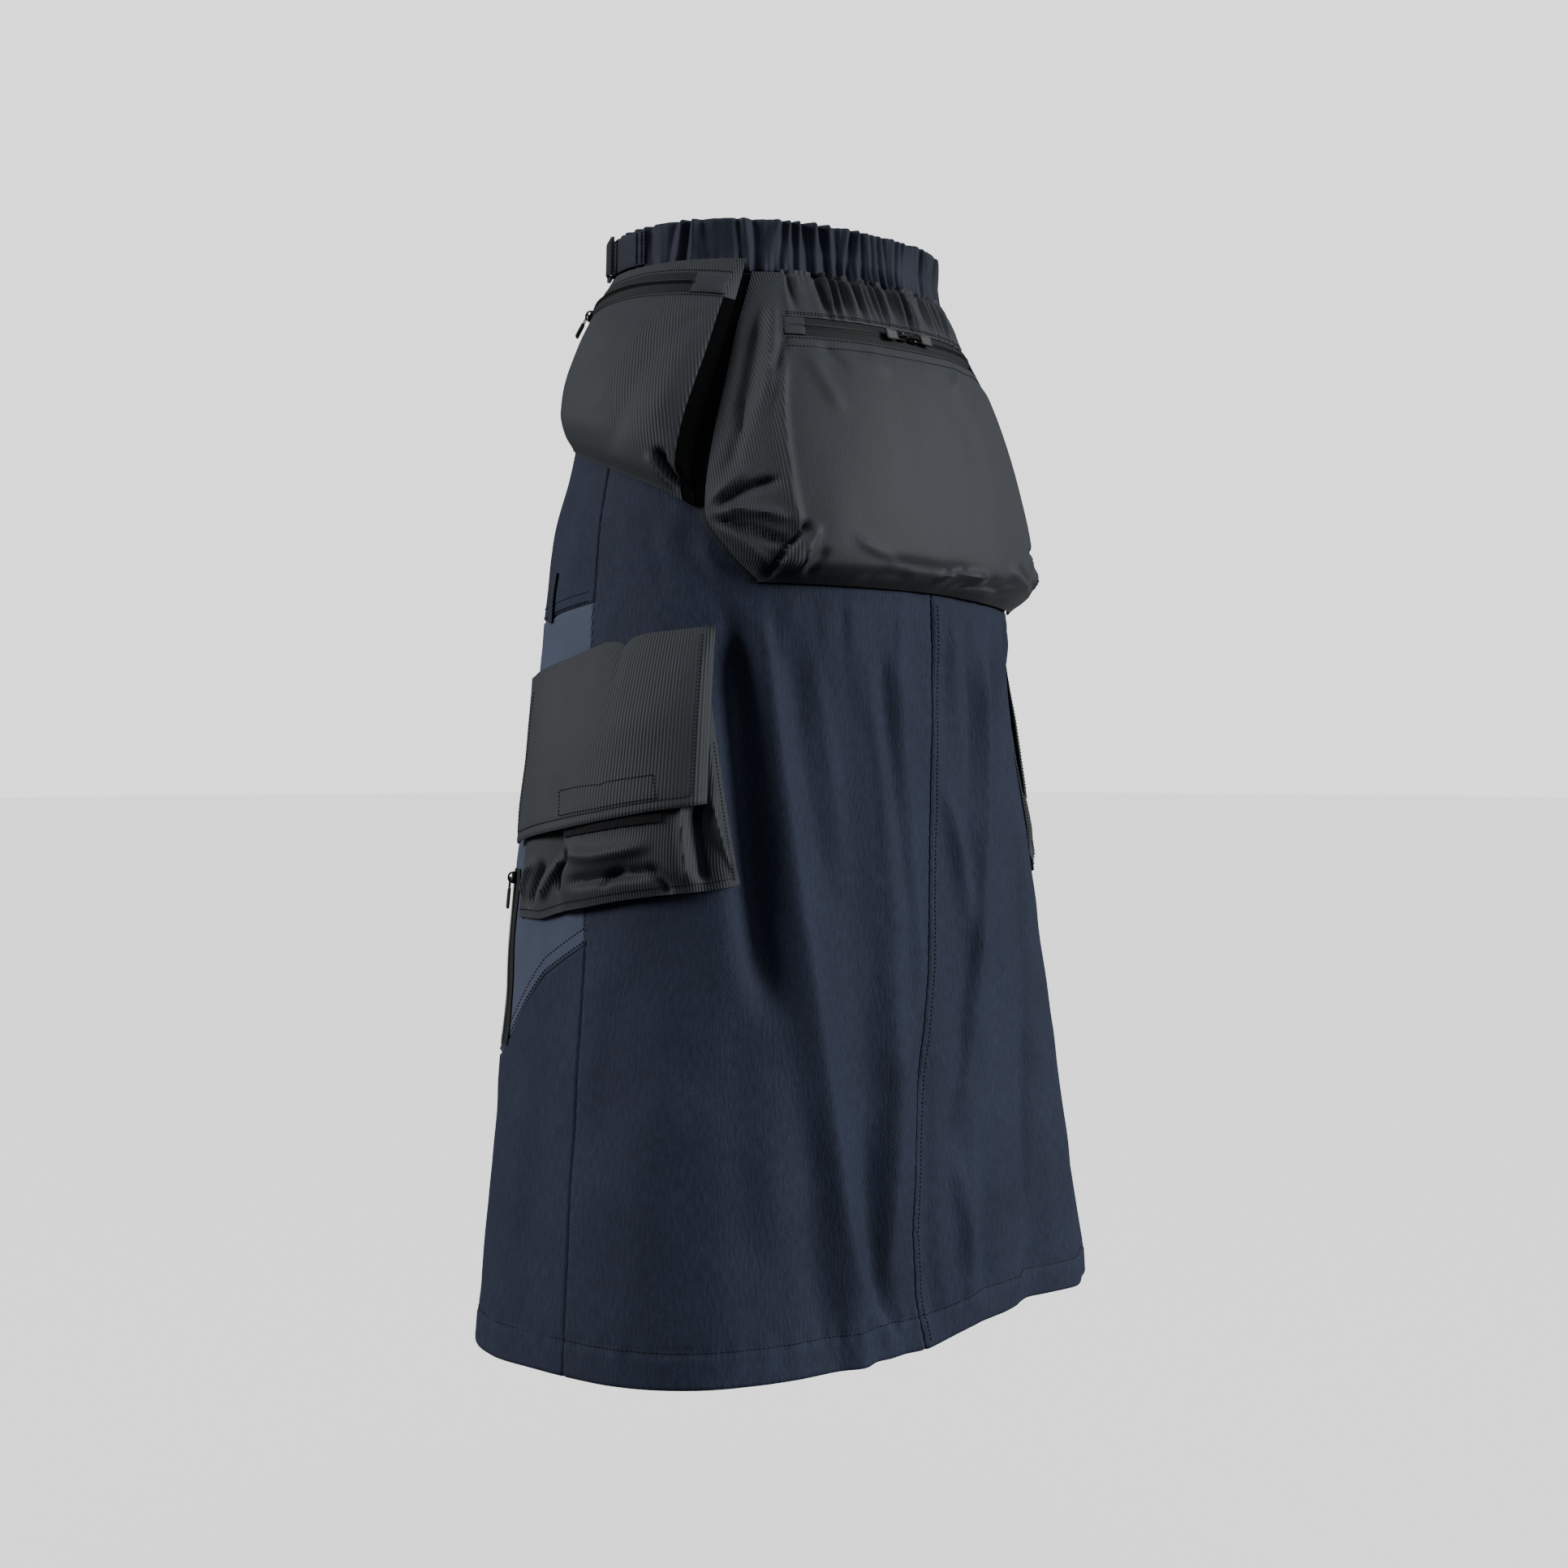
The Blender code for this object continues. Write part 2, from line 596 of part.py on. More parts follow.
def back_row_heights():
    """Heights of the back panel's rows at the side seam, and the number above the bag's seam."""
    hip = hip_seam_z(read_table(SIDE_SEAM, -256.0))
    curve = curved_seam_z(read_table(SIDE_SEAM, -495.0))
    heights = [lerp(TOP_START, hip, i / TOP_ROWS) for i in range(TOP_ROWS + 1)]
    heights += [lerp(hip - SEAM_GAP, curve, i / MID_ROWS) for i in range(1, MID_ROWS + 1)]
    low = [lerp(curve - SEAM_GAP, HEM, i / LOW_ROWS) for i in range(1, LOW_ROWS + 1)]
    heights += low[:-1] + [HEM + HEM_DEPTH, HEM + HEM_DEPTH - 2.0, HEM]
    return heights


def build_back_panel(name, side, material):
    """From the side seam to the centre back, running up beside the bag to the waistband."""
    heights = back_row_heights()
    step_row = TOP_ROWS
    # The bag's middle isn't at 90 degrees, so its edge is nearer the right side seam.
    shift = 0.12 if side > 0 else 0.12 + 2.0 * BAG_MIDDLE - 180.0
    corner = BAG_EDGE[-1].value - shift
    lowest = read_table(BAG_SEAM, mirrored(corner, side)) - SEAM_GAP
    squeeze = (lowest - TOP_START) / (heights[step_row] - TOP_START)
    grid = []
    walls = []
    for i, z_side in enumerate(heights):
        row = []
        seam = read_table(SIDE_SEAM, z_side) + SEAM_HALF_ANGLE
        for j in range(BACK_SIDE_COLUMNS + BACK_MIDDLE_COLUMNS + 1):
            z = z_side
            if j <= BACK_SIDE_COLUMNS:
                share = j / BACK_SIDE_COLUMNS
                if i <= step_row:
                    # The rows above the bag's seam are drawn up to end on it.
                    z = lerp(z_side, TOP_START + (z_side - TOP_START) * squeeze, share)
                else:
                    z = lerp(z_side, blend_below(z_side, heights, step_row, side, corner), share)
                angle = lerp(seam, bag_edge_angle(z) - shift, share)
            else:
                share = (j - BACK_SIDE_COLUMNS) / BACK_MIDDLE_COLUMNS
                centre = 93.8 if side > 0 else 86.2
                for _ in range(2):
                    place = lerp(corner, centre, share)
                    z = blend_below(z_side, heights, step_row, side, place)
                    centre = read_table(BACK_SEAM, z)
                    if side < 0:
                        centre = 180.0 - centre
                angle = lerp(corner, centre - SEAM_HALF_ANGLE, share)
            row.append((mirrored(angle, side), z))
        grid.append(row)
        walls.append(HEM_WALL if z_side <= HEM + HEM_DEPTH - 1.0 else CLOTH_WALL)

    def kept(i, j):
        return i >= step_row or j < BACK_SIDE_COLUMNS

    return panel(name, grid, walls, material, kept)


def blend_below(z_side, heights, step_row, side, angle):
    """Height of a row below the bag's seam: on the seam for the first one, level at the hem."""
    top = read_table(BAG_SEAM, mirrored(angle, side)) - SEAM_GAP
    share = (z_side - heights[step_row]) / (heights[-1] - heights[step_row])
    return z_side + (top - heights[step_row]) * (1.0 - min(1.0, share * 2.0))


def bag_place(z, share, side):
    """Angle of a bag column: share 0 at the side edge, 1 on the ridge, 2 at the middle."""
    edge = bag_edge_angle(z)
    ridge = read_table(BAG_RIDGE, z)
    if share <= 1.0:
        angle = lerp(edge + 0.12, ridge, share)
    else:
        angle = lerp(ridge, BAG_MIDDLE, share - 1.0)
    return angle if side > 0 else 2.0 * BAG_MIDDLE - angle


def bag_lift(row_lift, lift_share):
    return RIM_LIFT + max(0.0, row_lift - RIM_LIFT) * lift_share


def bag_row_z(row, angle):
    """Height of a bag row; the lower rows follow the seam they end on."""
    seam = read_table(BAG_SEAM, angle) - read_table(BAG_SEAM, BAG_MIDDLE)
    return row.z + seam * min(1.0, max(0.0, (row.z + 60.0) / -188.0))


def bag_columns():
    """Columns over the whole bag, wearer's left edge first."""
    left = [(column, 1) for column in BAG_COLUMNS]
    right = [(column, -1) for column in reversed(BAG_COLUMNS[:-1])]
    return left + right


def build_back_yoke(material):
    grid = []
    for i in range(TOP_ROWS + 1):
        row = []
        for j in range(YOKE_COLUMNS + 1):
            share = j / YOKE_COLUMNS
            angle = lerp(35.0, 153.0, share)
            for _ in range(3):
                z = lerp(TOP_START, read_table(BAG_SEAM, angle), i / TOP_ROWS)
                edge = bag_edge_angle(z)
                angle = lerp(edge + 0.12, 2.0 * BAG_MIDDLE - edge - 0.12, share)
            row.append((angle, z))
        grid.append(row)
    return panel("back_yoke", grid, CLOTH_WALL, material)


def build_back_bag(charcoal):
    columns = bag_columns()
    grid = []
    for row in BAG_ROWS:
        line = []
        for column, side in columns:
            angle = bag_place(row.z, column.share, side)
            z = bag_row_z(row, angle)
            angle = bag_place(z, column.share, side)
            line.append(cloth_point(angle, z, bag_lift(row.lift, column.lift_share)))
        grid.append(line)
    ridge = next(n for n, column in enumerate(BAG_COLUMNS) if column.share >= 1.0)
    last = len(columns) - 1 - ridge

    def kept(i, j):
        return i >= BAG_FACE_TOP_ROW or j < ridge or j >= last

    return shell("back_bag", grid, POUCH_WALL, charcoal, kept=kept)


def bag_surface(angle, z):
    """Lift of the bag's face at a place between its ridges."""
    rows = BAG_ROWS
    low = rows[0].lift
    for above, below in zip(rows, rows[1:]):
        if below.z <= z <= above.z:
            low = lerp(above.lift, below.lift, (z - above.z) / (below.z - above.z))
            break
    from_left = min(angle, 2.0 * BAG_MIDDLE - angle)
    ridge = read_table(BAG_RIDGE, z)
    share = 1.0 + (from_left - ridge) / (BAG_MIDDLE - ridge)
    for above, below in zip(BAG_COLUMNS, BAG_COLUMNS[1:]):
        if above.share <= share <= below.share:
            along = (share - above.share) / (below.share - above.share)
            return bag_lift(low, lerp(above.lift_share, below.lift_share, along))
    return bag_lift(low, BAG_COLUMNS[3].lift_share)


def build_back_top(charcoal, tape):
    """Gathered strip over the bag's zip, and the zip between the strip and the bag."""
    top = BAG_ROWS[0].z
    zip_top = BAG_ROWS[BAG_ZIP_TOP_ROW].z
    zip_bottom = BAG_ROWS[BAG_FACE_TOP_ROW].z
    columns = STRIP_GATHERS * 4
    grid = []
    for z, strength in ((top - 0.3, 1.0), (lerp(top, zip_top, 0.5), 0.6), (zip_top + 0.5, 0.1)):
        row = []
        for j in range(columns + 1):
            share = j / columns
            ridge = read_table(BAG_RIDGE, z)
            angle = lerp(ridge + STRIP_END, 2.0 * BAG_MIDDLE - ridge - STRIP_END, share)
            wave = gather_wave(share, STRIP_GATHERS, 0.7) * STRIP_GATHER_HEIGHT * strength
            row.append(cloth_point(angle, z, bag_surface(angle, z) + wave))
        grid.append(row)
    shell("back_top_strip", grid, CLOTH_WALL, charcoal)
    grid = []
    steps = 24
    for z in (zip_top, zip_bottom + 0.35):
        row = []
        for j in range(steps + 1):
            ridge = read_table(BAG_RIDGE, z)
            angle = lerp(ridge + STRIP_END, 2.0 * BAG_MIDDLE - ridge - STRIP_END, j / steps)
            row.append(cloth_point(angle, z, bag_surface(angle, z) - 0.2))
        grid.append(row)
    shell("back_zip", grid, TAPE_WALL, tape)


def pouch_point(share, row_share, side, extra=0.0):
    """Point of the hip pouch: share from rear to front, row_share from top to bottom."""
    bottom_angle = lerp(read_table(POUCH_REAR, -194.0), POUCH_FRONT_ANGLE, share)
    z = lerp(POUCH_TOP, read_table(POUCH_BOTTOM, bottom_angle), row_share)
    rear_z = lerp(POUCH_TOP, read_table(POUCH_BOTTOM, 25.0), row_share)
    rear = read_table(POUCH_REAR, rear_z)
    if side < 0:
        rear -= 2.0 * BAG_MIDDLE - 180.0
    angle = lerp(rear, POUCH_FRONT_ANGLE, share)
    row_lift = table_value(POUCH_ROWS, row_share)
    edge = table_value(POUCH_COLUMNS, share)
    rim = lerp(5.2, RIM_LIFT, min(1.0, row_share / 0.12))
    lift = rim + max(0.0, row_lift - rim) * edge
    return cloth_point(mirrored(angle, side), z, lift + extra)


def table_value(rows, share):
    """Second column of a table whose first column is a share from 0 to 1."""
    for low, high in zip(rows, rows[1:]):
        if share <= high[0]:
            return lerp(low[1], high[1], (share - low[0]) / (high[0] - low[0]))
    return rows[-1][1]


def build_hip_pouch(name, side, material):
    grid = []
    for row in POUCH_ROWS:
        grid.append([pouch_point(column.share, row.share, side) for column in POUCH_COLUMNS])
    return shell(name, grid, POUCH_WALL, material)


def hip_zip_rows(share):
    """Row shares of the zip's upper and lower edge at a share along the pouch."""
    middle = read_table(HIP_ZIP_MIDDLE, share)
    bottom_angle = lerp(read_table(POUCH_REAR, -194.0), POUCH_FRONT_ANGLE, share)
    height = POUCH_TOP - read_table(POUCH_BOTTOM, bottom_angle)
    half = HIP_ZIP_HEIGHT / 2.0 / height
    return middle - half, middle + half


def build_hip_zip(name, side, material):
    grid = [[], [], []]
    first, last = HIP_ZIP_SHARES
    stops = [first] + [c.share for c in POUCH_COLUMNS if first < c.share < last] + [last]
    for share in stops:
        upper, lower = hip_zip_rows(share)
        for row, row_share in zip(grid, (upper, (upper + lower) / 2.0, lower)):
            row.append(pouch_point(share, row_share, side, TAPE_WALL + LAID_GAP + 0.3))
    return shell(name, grid, TAPE_WALL, material)


def cargo_point(column_place, row_share, side, extra=0.0):
    """Point of the cargo pocket; column_place counts the columns, rear edge first."""
    index = min(int(column_place), len(CARGO_COLUMNS) - 2)
    along = column_place - index
    one = CARGO_COLUMNS[index]
    two = CARGO_COLUMNS[index + 1]
    angle_top = lerp(one.angle_top, two.angle_top, along)
    angle = lerp(angle_top, lerp(one.angle_bottom, two.angle_bottom, along), row_share)
    z = lerp(read_table(CARGO_TOP, angle_top), lerp(one.z_bottom, two.z_bottom, along), row_share)
    lift = (lerp(one.lift, two.lift, along) - RIM_LIFT) * table_value(CARGO_ROWS, row_share)
    return pocket_point(angle, z, side, lift, extra)


def pocket_angle(angle, side):
    return angle if side > 0 else 180.0 + RIGHT_TURN - angle


def pocket_point(angle, z, side, lift, extra=0.0):
    """Point over the cargo pocket's place, lift above the rim's own."""
    if side > 0:
        return cloth_point(angle, z, RIM_LIFT + lift + extra)
    return cloth_point(pocket_angle(angle, side), z, RIM_LIFT + lift * CARGO_RIGHT_LIFT + extra)


def build_cargo_pocket(name, side, material):
    grid = []
    for row in CARGO_ROWS:
        grid.append([cargo_point(j, row.share, side) for j in range(len(CARGO_COLUMNS))])
    return shell(name, grid, CLOTH_WALL, material)


def build_cargo_flap(name, side, material):
    grid = []
    for row in FLAP_ROWS:
        line = []
        for column in FLAP_COLUMNS:
            angle = lerp(FLAP_REAR, FLAP_FRONT, column.share)
            z = lerp(read_table(FLAP_TOP, angle), read_table(FLAP_BOTTOM, angle), row.share)
            lift = max(RIM_LIFT, row.lift * column.lift_share)
            lift = lerp(lift, row.front_lift, column.front_share)
            line.append(pocket_point(angle, z, side, lift - RIM_LIFT, FLAP_PLAY if side < 0 else 0.0))
        grid.append(line)
    return shell(name, grid, CLOTH_WALL, material)


def build_cargo_loop(name, side, material):
    """Strip on the pocket's box panel, half hidden by the flap."""
    grid = [[], []]
    for j in range(LOOP_STEPS + 1):
        place = lerp(3.95, 7.0, j / LOOP_STEPS)
        for row, row_share in zip(grid, LOOP_SHARES):
            row.append(cargo_point(place, row_share, side, TAPE_WALL + LAID_GAP))
    return shell(name, grid, TAPE_WALL, material)


def build_front_zip(name, side, material):
    grid = []
    for i in range(FRONT_ZIP_STEPS + 1):
        share = i / FRONT_ZIP_STEPS
        angle = lerp(FRONT_ZIP_ANGLES[0], FRONT_ZIP_ANGLES[1], share)
        z = lerp(FRONT_ZIP_HEIGHTS[0], FRONT_ZIP_HEIGHTS[1], share)
        half = math.degrees(FRONT_ZIP_WIDTH / 2.0 / 205.0)
        row = []
        for step in (1.0, 0.0, -1.0):
            row.append(cloth_point(pocket_angle(angle + step * half, side), z, TAPE_WALL + LAID_GAP))
        grid.append(row)
    return shell(name, grid, TAPE_WALL, material)


def build_front_tab(name, side, material):
    grid = []
    half = math.degrees(FRONT_TAB_WIDTH / 2.0 / 180.0)
    for i in range(4):
        z = lerp(FRONT_TAB_HEIGHTS[0], FRONT_TAB_HEIGHTS[1], i / 3.0)
        row = []
        for step in (1.0, 0.0, -1.0):
            angle = mirrored(FRONT_TAB_ANGLE + step * half, side)
            row.append(cloth_point(angle, z, 2.0 + LAID_GAP))
        grid.append(row)
    return shell(name, grid, 1.6, material)


def belt_lift(angle):
    """The webbing rises over the middle bar of each buckle and is sewn down at its ends."""
    from_end = min(abs(angle - end) for end in BELT_ANGLES)
    lift = BELT_LIFT - BELT_END_DROP * max(0.0, 1.0 - from_end / BELT_END_REACH)
    for side in (1, -1):
        middle = BUCKLE_ANGLE if side > 0 else -180.0 - BUCKLE_ANGLE
        away = abs(angle - middle) * math.radians(1.0) * 128.0
        rise = min(1.0, max(0.0, (BUCKLE_SLOT + BUCKLE_BAR / 2.0 - away) / (BUCKLE_SLOT - 1.0)))
        lift += BUCKLE_HUMP * rise
    return lift


def build_belt(material):
    stops = [lerp(BELT_ANGLES[0], BELT_ANGLES[1], j / BELT_STEPS) for j in range(BELT_STEPS + 1)]
    per_mm = math.degrees(1.0 / 128.0)
    for middle in (BUCKLE_ANGLE, -180.0 - BUCKLE_ANGLE):
        stops = [a for a in stops if abs(a - middle) > (BUCKLE_SLOT + 3.5) * per_mm]
        for away in (BUCKLE_SLOT + BUCKLE_BAR / 2.0, BUCKLE_BAR / 2.0 + 1.0):
            stops += [middle - away * per_mm, middle + away * per_mm]
    stops.sort(reverse=True)
    grid = []
    for z in (BELT_TOP, BELT_BOTTOM):
        grid.append([cloth_point(angle, z, belt_lift(angle)) for angle in stops])
    return shell("belt_webbing", grid, BELT_WALL, material)


def build_buckle(name, side, material):
    """Three-bar frame that the webbing passes through."""
    angle = mirrored(BUCKLE_ANGLE, side)
    origin, around, up, out = face_frame(angle, (BELT_TOP + BELT_BOTTOM) / 2.0, BUCKLE_LIFT)
    outer = BUCKLE_SLOT + 1.5 * BUCKLE_BAR
    inner = BUCKLE_BAR / 2.0 + BUCKLE_SLOT
    across = (-outer, -inner, -BUCKLE_BAR / 2.0, BUCKLE_BAR / 2.0, inner, outer)
    half = (BELT_TOP - BELT_BOTTOM) / 2.0 + BUCKLE_PLAY
    along = (-half - BUCKLE_RAIL, -half, half, half + BUCKLE_RAIL)
    deep = (-BUCKLE_THICK / 2.0, BUCKLE_THICK / 2.0)
    cells = [(i, 0, 0) for i in range(5)] + [(i, 2, 0) for i in range(5)]
    cells += [(i, 1, 0) for i in (0, 2, 4)]
    return blocks(name, origin, (around, up, out), (across, along, deep), cells, material)


def slider_frame(angle, z, lift, pull_way):
    """Frame of a slider: origin under its bridge, then pull direction, across and outward."""
    origin, around, up, out = face_frame(angle, z, lift)
    if pull_way == "down":
        along = -up
    elif pull_way == "left":
        along = -around
    else:
        along = around
    across = out.cross(along).normalized()
    return origin, along, across, out


def build_slider(name, frame, material):
    origin, along, across, out = frame
    half_length = SLIDER_LENGTH / 2.0
    inner = half_length - BRIDGE_POST
    xs = (-half_length, -inner, inner, half_length)
    ys = (-SLIDER_WIDTH / 2.0, -BRIDGE_WIDTH / 2.0, BRIDGE_WIDTH / 2.0, SLIDER_WIDTH / 2.0)
    under = SLIDER_BODY + BRIDGE_INNER
    zs = (0.0, SLIDER_BODY, under, under + BRIDGE_TOP)
    cells = [(i, j, 0) for i in range(3) for j in range(3)]
    cells += [(0, 1, 1), (2, 1, 1), (0, 1, 2), (1, 1, 2), (2, 1, 2)]
    return blocks(name, origin, (along, across, out), (xs, ys, zs), cells, material)


def build_pull(name, frame, tab_length, tab_width, material):
    """Eye and tab in one plate; the object's origin is on the hinge line."""
    origin, along, across, out = frame
    hinge = origin + out * (HINGE_HEIGHT * MM)
    half_bar = PULL_BAR / 2.0
    eye = PULL_EYE_LENGTH + half_bar
    xs = (-half_bar, half_bar, eye, eye + tab_length)
    inner = PULL_EYE_WIDTH / 2.0
    ys = (-tab_width / 2.0, -inner - PULL_SIDE + 0.2, -inner, inner, inner + PULL_SIDE - 0.2, tab_width / 2.0)
    zs = (-half_bar, half_bar)
    cells = [(0, j, 0) for j in (1, 2, 3)]
    cells += [(1, 1, 0), (1, 3, 0)]
    cells += [(2, j, 0) for j in range(5)]
    plate = blocks(name, Vector((0.0, 0.0, 0.0)), (along, across, out), (xs, ys, zs), cells, material)
    plate.location = hinge
    return plate


def build_sliders(metal, rubber):
    """Sliders and pulls of the back bag, the hip pouches and the front zips."""
    zip_z = lerp(BAG_ROWS[BAG_ZIP_TOP_ROW].z, BAG_ROWS[BAG_FACE_TOP_ROW].z, 0.5)
    for word, side, way in (("left", -1, "left"), ("right", 1, "right")):
        angle = BACK_SLIDER_MIDDLE + side * BACK_SLIDER_SPREAD
        frame = slider_frame(angle, zip_z, bag_surface(angle, zip_z) + 2.0 * LAID_GAP, way)
        build_slider("back_slider_" + word, frame, metal)
        build_pull("back_pull_" + word, frame, PULL_TAB_LENGTH, PULL_TAB_WIDTH, rubber)
    for word, side in (("left", 1), ("right", -1)):
        upper, lower = hip_zip_rows(HIP_SLIDER_SHARE)
        middle = (upper + lower) / 2.0
        lift = TAPE_WALL + 2.0 * LAID_GAP + 0.3
        here = pouch_point(HIP_SLIDER_SHARE, middle, side, lift)
        ahead = pouch_point(HIP_SLIDER_SHARE + 0.03, middle, side, lift)
        below = pouch_point(HIP_SLIDER_SHARE, middle + 0.05, side, lift)
        along = (below - here).normalized()
        out = along.cross(ahead - here).normalized()
        if out.dot(Vector((here.x, here.y, 0.0))) < 0.0:
            out = -out
        frame = (here, along, out.cross(along).normalized(), out)
        build_slider("hip_slider_" + word, frame, metal)
        build_pull("hip_pull_" + word, frame, PULL_TAB_LENGTH, PULL_TAB_WIDTH, rubber)
        angle = pocket_angle(FRONT_ZIP_ANGLES[0], side)
        z = FRONT_ZIP_HEIGHTS[0] - SLIDER_LENGTH / 2.0 - 2.0
        frame = slider_frame(angle, z, TAPE_WALL + 2.0 * LAID_GAP, "down")
        build_slider("front_slider_" + word, frame, metal)
        build_pull("front_pull_" + word, frame, FRONT_PULL_TAB_LENGTH, FRONT_PULL_TAB_WIDTH, rubber)


def main():
    clear_scene()
    bpy.context.scene.unit_settings.scale_length = 1.0
    navy = make_material("navy_cloth", (0.020, 0.030, 0.052), 0.8)
    ripstop = make_material("light_navy_ripstop", (0.045, 0.055, 0.085), 0.75)
    charcoal = make_material("charcoal_cloth", (0.045, 0.050, 0.056), 0.8)
    tape = make_material("zip_tape", (0.02, 0.022, 0.026), 0.7)
    loop = make_material("loop_strip", (0.01, 0.011, 0.014), 0.95)
    rubber = make_material("black_rubber", (0.012, 0.012, 0.013), 0.35)
    metal = make_material("dark_metal", (0.03, 0.03, 0.032), 0.3, 0.9)
    webbing = make_material("navy_webbing", (0.018, 0.026, 0.044), 0.7)
    plastic = make_material("dark_plastic", (0.010, 0.014, 0.024), 0.35)

    build_waistband(navy)
    build_front(navy, ripstop)
    build_back_panel("back_panel_left", 1, navy)
    build_back_panel("back_panel_right", -1, navy)
    build_back_yoke(charcoal)
    build_back_bag(charcoal)
    build_back_top(charcoal, tape)
    build_belt(webbing)
    for word, side in (("left", 1), ("right", -1)):
        build_hip_pouch("hip_pouch_" + word, side, charcoal)
        build_hip_zip("hip_zip_" + word, side, tape)
        build_cargo_pocket("cargo_pocket_" + word, side, charcoal)
        build_cargo_flap("cargo_flap_" + word, side, charcoal)
        build_cargo_loop("cargo_loop_" + word, side, loop)
        build_front_zip("front_zip_" + word, side, tape)
        build_front_tab("front_tab_" + word, side, webbing)
        build_buckle("belt_buckle_" + word, side, plastic)
    build_sliders(metal, rubber)


main()
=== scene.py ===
"""Worn utility midi skirt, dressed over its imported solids.

Row frame: the origin is the middle of the waistband, +X is the wearer's left, +Y the wearer's
back and +Z up. A place on the cloth is (angle, z): degrees round the body, 0 at +X and 90 at the
centre back, and millimetres of height. Lengths in tables are millimetres.
"""

import logging
import math
import random
from dataclasses import dataclass, field
from enum import Enum
from typing import Callable, Sequence

import bpy
import numpy as np
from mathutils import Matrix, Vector


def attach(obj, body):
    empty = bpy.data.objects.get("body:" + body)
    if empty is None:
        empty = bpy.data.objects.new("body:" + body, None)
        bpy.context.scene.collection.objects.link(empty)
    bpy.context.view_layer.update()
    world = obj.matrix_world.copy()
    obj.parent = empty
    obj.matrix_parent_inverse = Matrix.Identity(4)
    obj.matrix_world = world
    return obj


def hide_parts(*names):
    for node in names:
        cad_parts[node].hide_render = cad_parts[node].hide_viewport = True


LOG = logging.getLogger("skirt")
MM = 0.001
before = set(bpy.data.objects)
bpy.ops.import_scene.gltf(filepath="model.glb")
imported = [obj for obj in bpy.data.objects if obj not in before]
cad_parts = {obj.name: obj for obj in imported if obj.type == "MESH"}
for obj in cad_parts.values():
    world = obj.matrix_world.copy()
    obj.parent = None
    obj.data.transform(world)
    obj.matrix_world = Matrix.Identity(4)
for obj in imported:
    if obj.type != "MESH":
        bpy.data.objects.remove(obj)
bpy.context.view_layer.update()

Path = tuple[tuple[float, float], ...]
Line = Callable[[np.ndarray], np.ndarray]
Places = tuple[np.ndarray, np.ndarray, np.ndarray]
Mesh = tuple[np.ndarray, list]
Rows = Sequence[tuple[np.ndarray, np.ndarray]]
Outline = list[tuple[float, float]]


# ----------------------------------------
# Tables of the worn shape, the same as those of the solids
# ----------------------------------------

# z, half width, half depth, squareness, centre x, centre y
SECTIONS = (
    (19.5, 133.0, 95.0, 2.25, -1.0, -5.0), (-19.5, 134.5, 97.5, 2.25, 0.0, -4.0),
    (-70.0, 147.0, 111.0, 2.27, 1.5, -1.5), (-130.0, 164.0, 124.5, 2.30, 3.0, 1.0),
    (-190.0, 177.5, 136.0, 2.32, 4.5, 3.0), (-260.0, 185.0, 144.5, 2.33, 6.0, 4.0),
    (-320.0, 191.5, 147.0, 2.35, 6.5, 3.0), (-410.0, 205.5, 152.0, 2.40, 6.0, 2.0),
    (-520.0, 219.5, 157.0, 2.47, 3.5, 3.5), (-600.0, 230.0, 160.5, 2.52, 2.5, 5.5),
    (-680.0, 241.5, 163.5, 2.56, 1.0, 7.5), (-783.5, 253.0, 165.0, 2.70, -1.0, 9.0),
)
# angle at the upper and lower end, half width in degrees, height, z at the upper and lower end
FOLDS = (
    (28.0, 31.0, 15.0, 8.0, -560.0, -900.0), (33.5, 43.0, 3.8, -11.0, -262.0, -560.0),
    (39.5, 64.0, 4.0, 8.0, -262.0, -900.0), (60.0, 68.0, 7.0, -7.0, -290.0, -900.0),
    (79.0, 67.0, 4.0, 6.0, -285.0, -800.0), (98.0, 104.0, 3.2, 4.0, -380.0, -520.0),
    (118.0, 94.0, 4.2, 6.5, -270.0, -760.0), (128.0, 118.0, 6.0, -6.0, -290.0, -900.0),
    (139.0, 137.0, 9.0, -5.5, -262.0, -430.0), (140.0, 133.0, 5.0, 6.0, -440.0, -900.0),
    (157.0, 160.0, 6.0, -6.0, -500.0, -900.0), (176.0, 172.0, 7.0, 6.0, -560.0, -900.0),
    (-148.0, -146.0, 7.0, 7.0, -500.0, -900.0), (-127.0, -128.0, 6.0, -6.0, -300.0, -900.0),
    (-112.0, -108.0, 6.0, 6.0, -290.0, -900.0), (-92.0, -88.0, 8.0, -5.0, -330.0, -900.0),
    (-70.0, -74.0, 6.0, 6.0, -290.0, -900.0), (-55.0, -56.0, 6.0, -6.0, -340.0, -900.0),
    (-38.0, -40.0, 6.0, 5.0, -520.0, -900.0),
)
FOLD_FADE = 60.0
HEM_LEVEL: Path = (
    (-180.0, 9.0), (-150.0, 4.0), (-90.0, -3.0), (-30.0, -4.0), (0.0, -2.0), (30.0, -1.0),
    (60.0, 0.0), (80.0, 1.0), (100.0, 11.0), (120.0, 16.0), (140.0, 15.0), (155.0, 12.0),
    (180.0, 9.0),
)
HEM_LEVEL_START = -520.0
WAIST_TOP = 19.5
WAIST_BOTTOM = -19.5
HEM = -783.5
HEM_DEPTH = 24.0
BAG_MIDDLE = 94.0
RIM_LIFT = 2.4

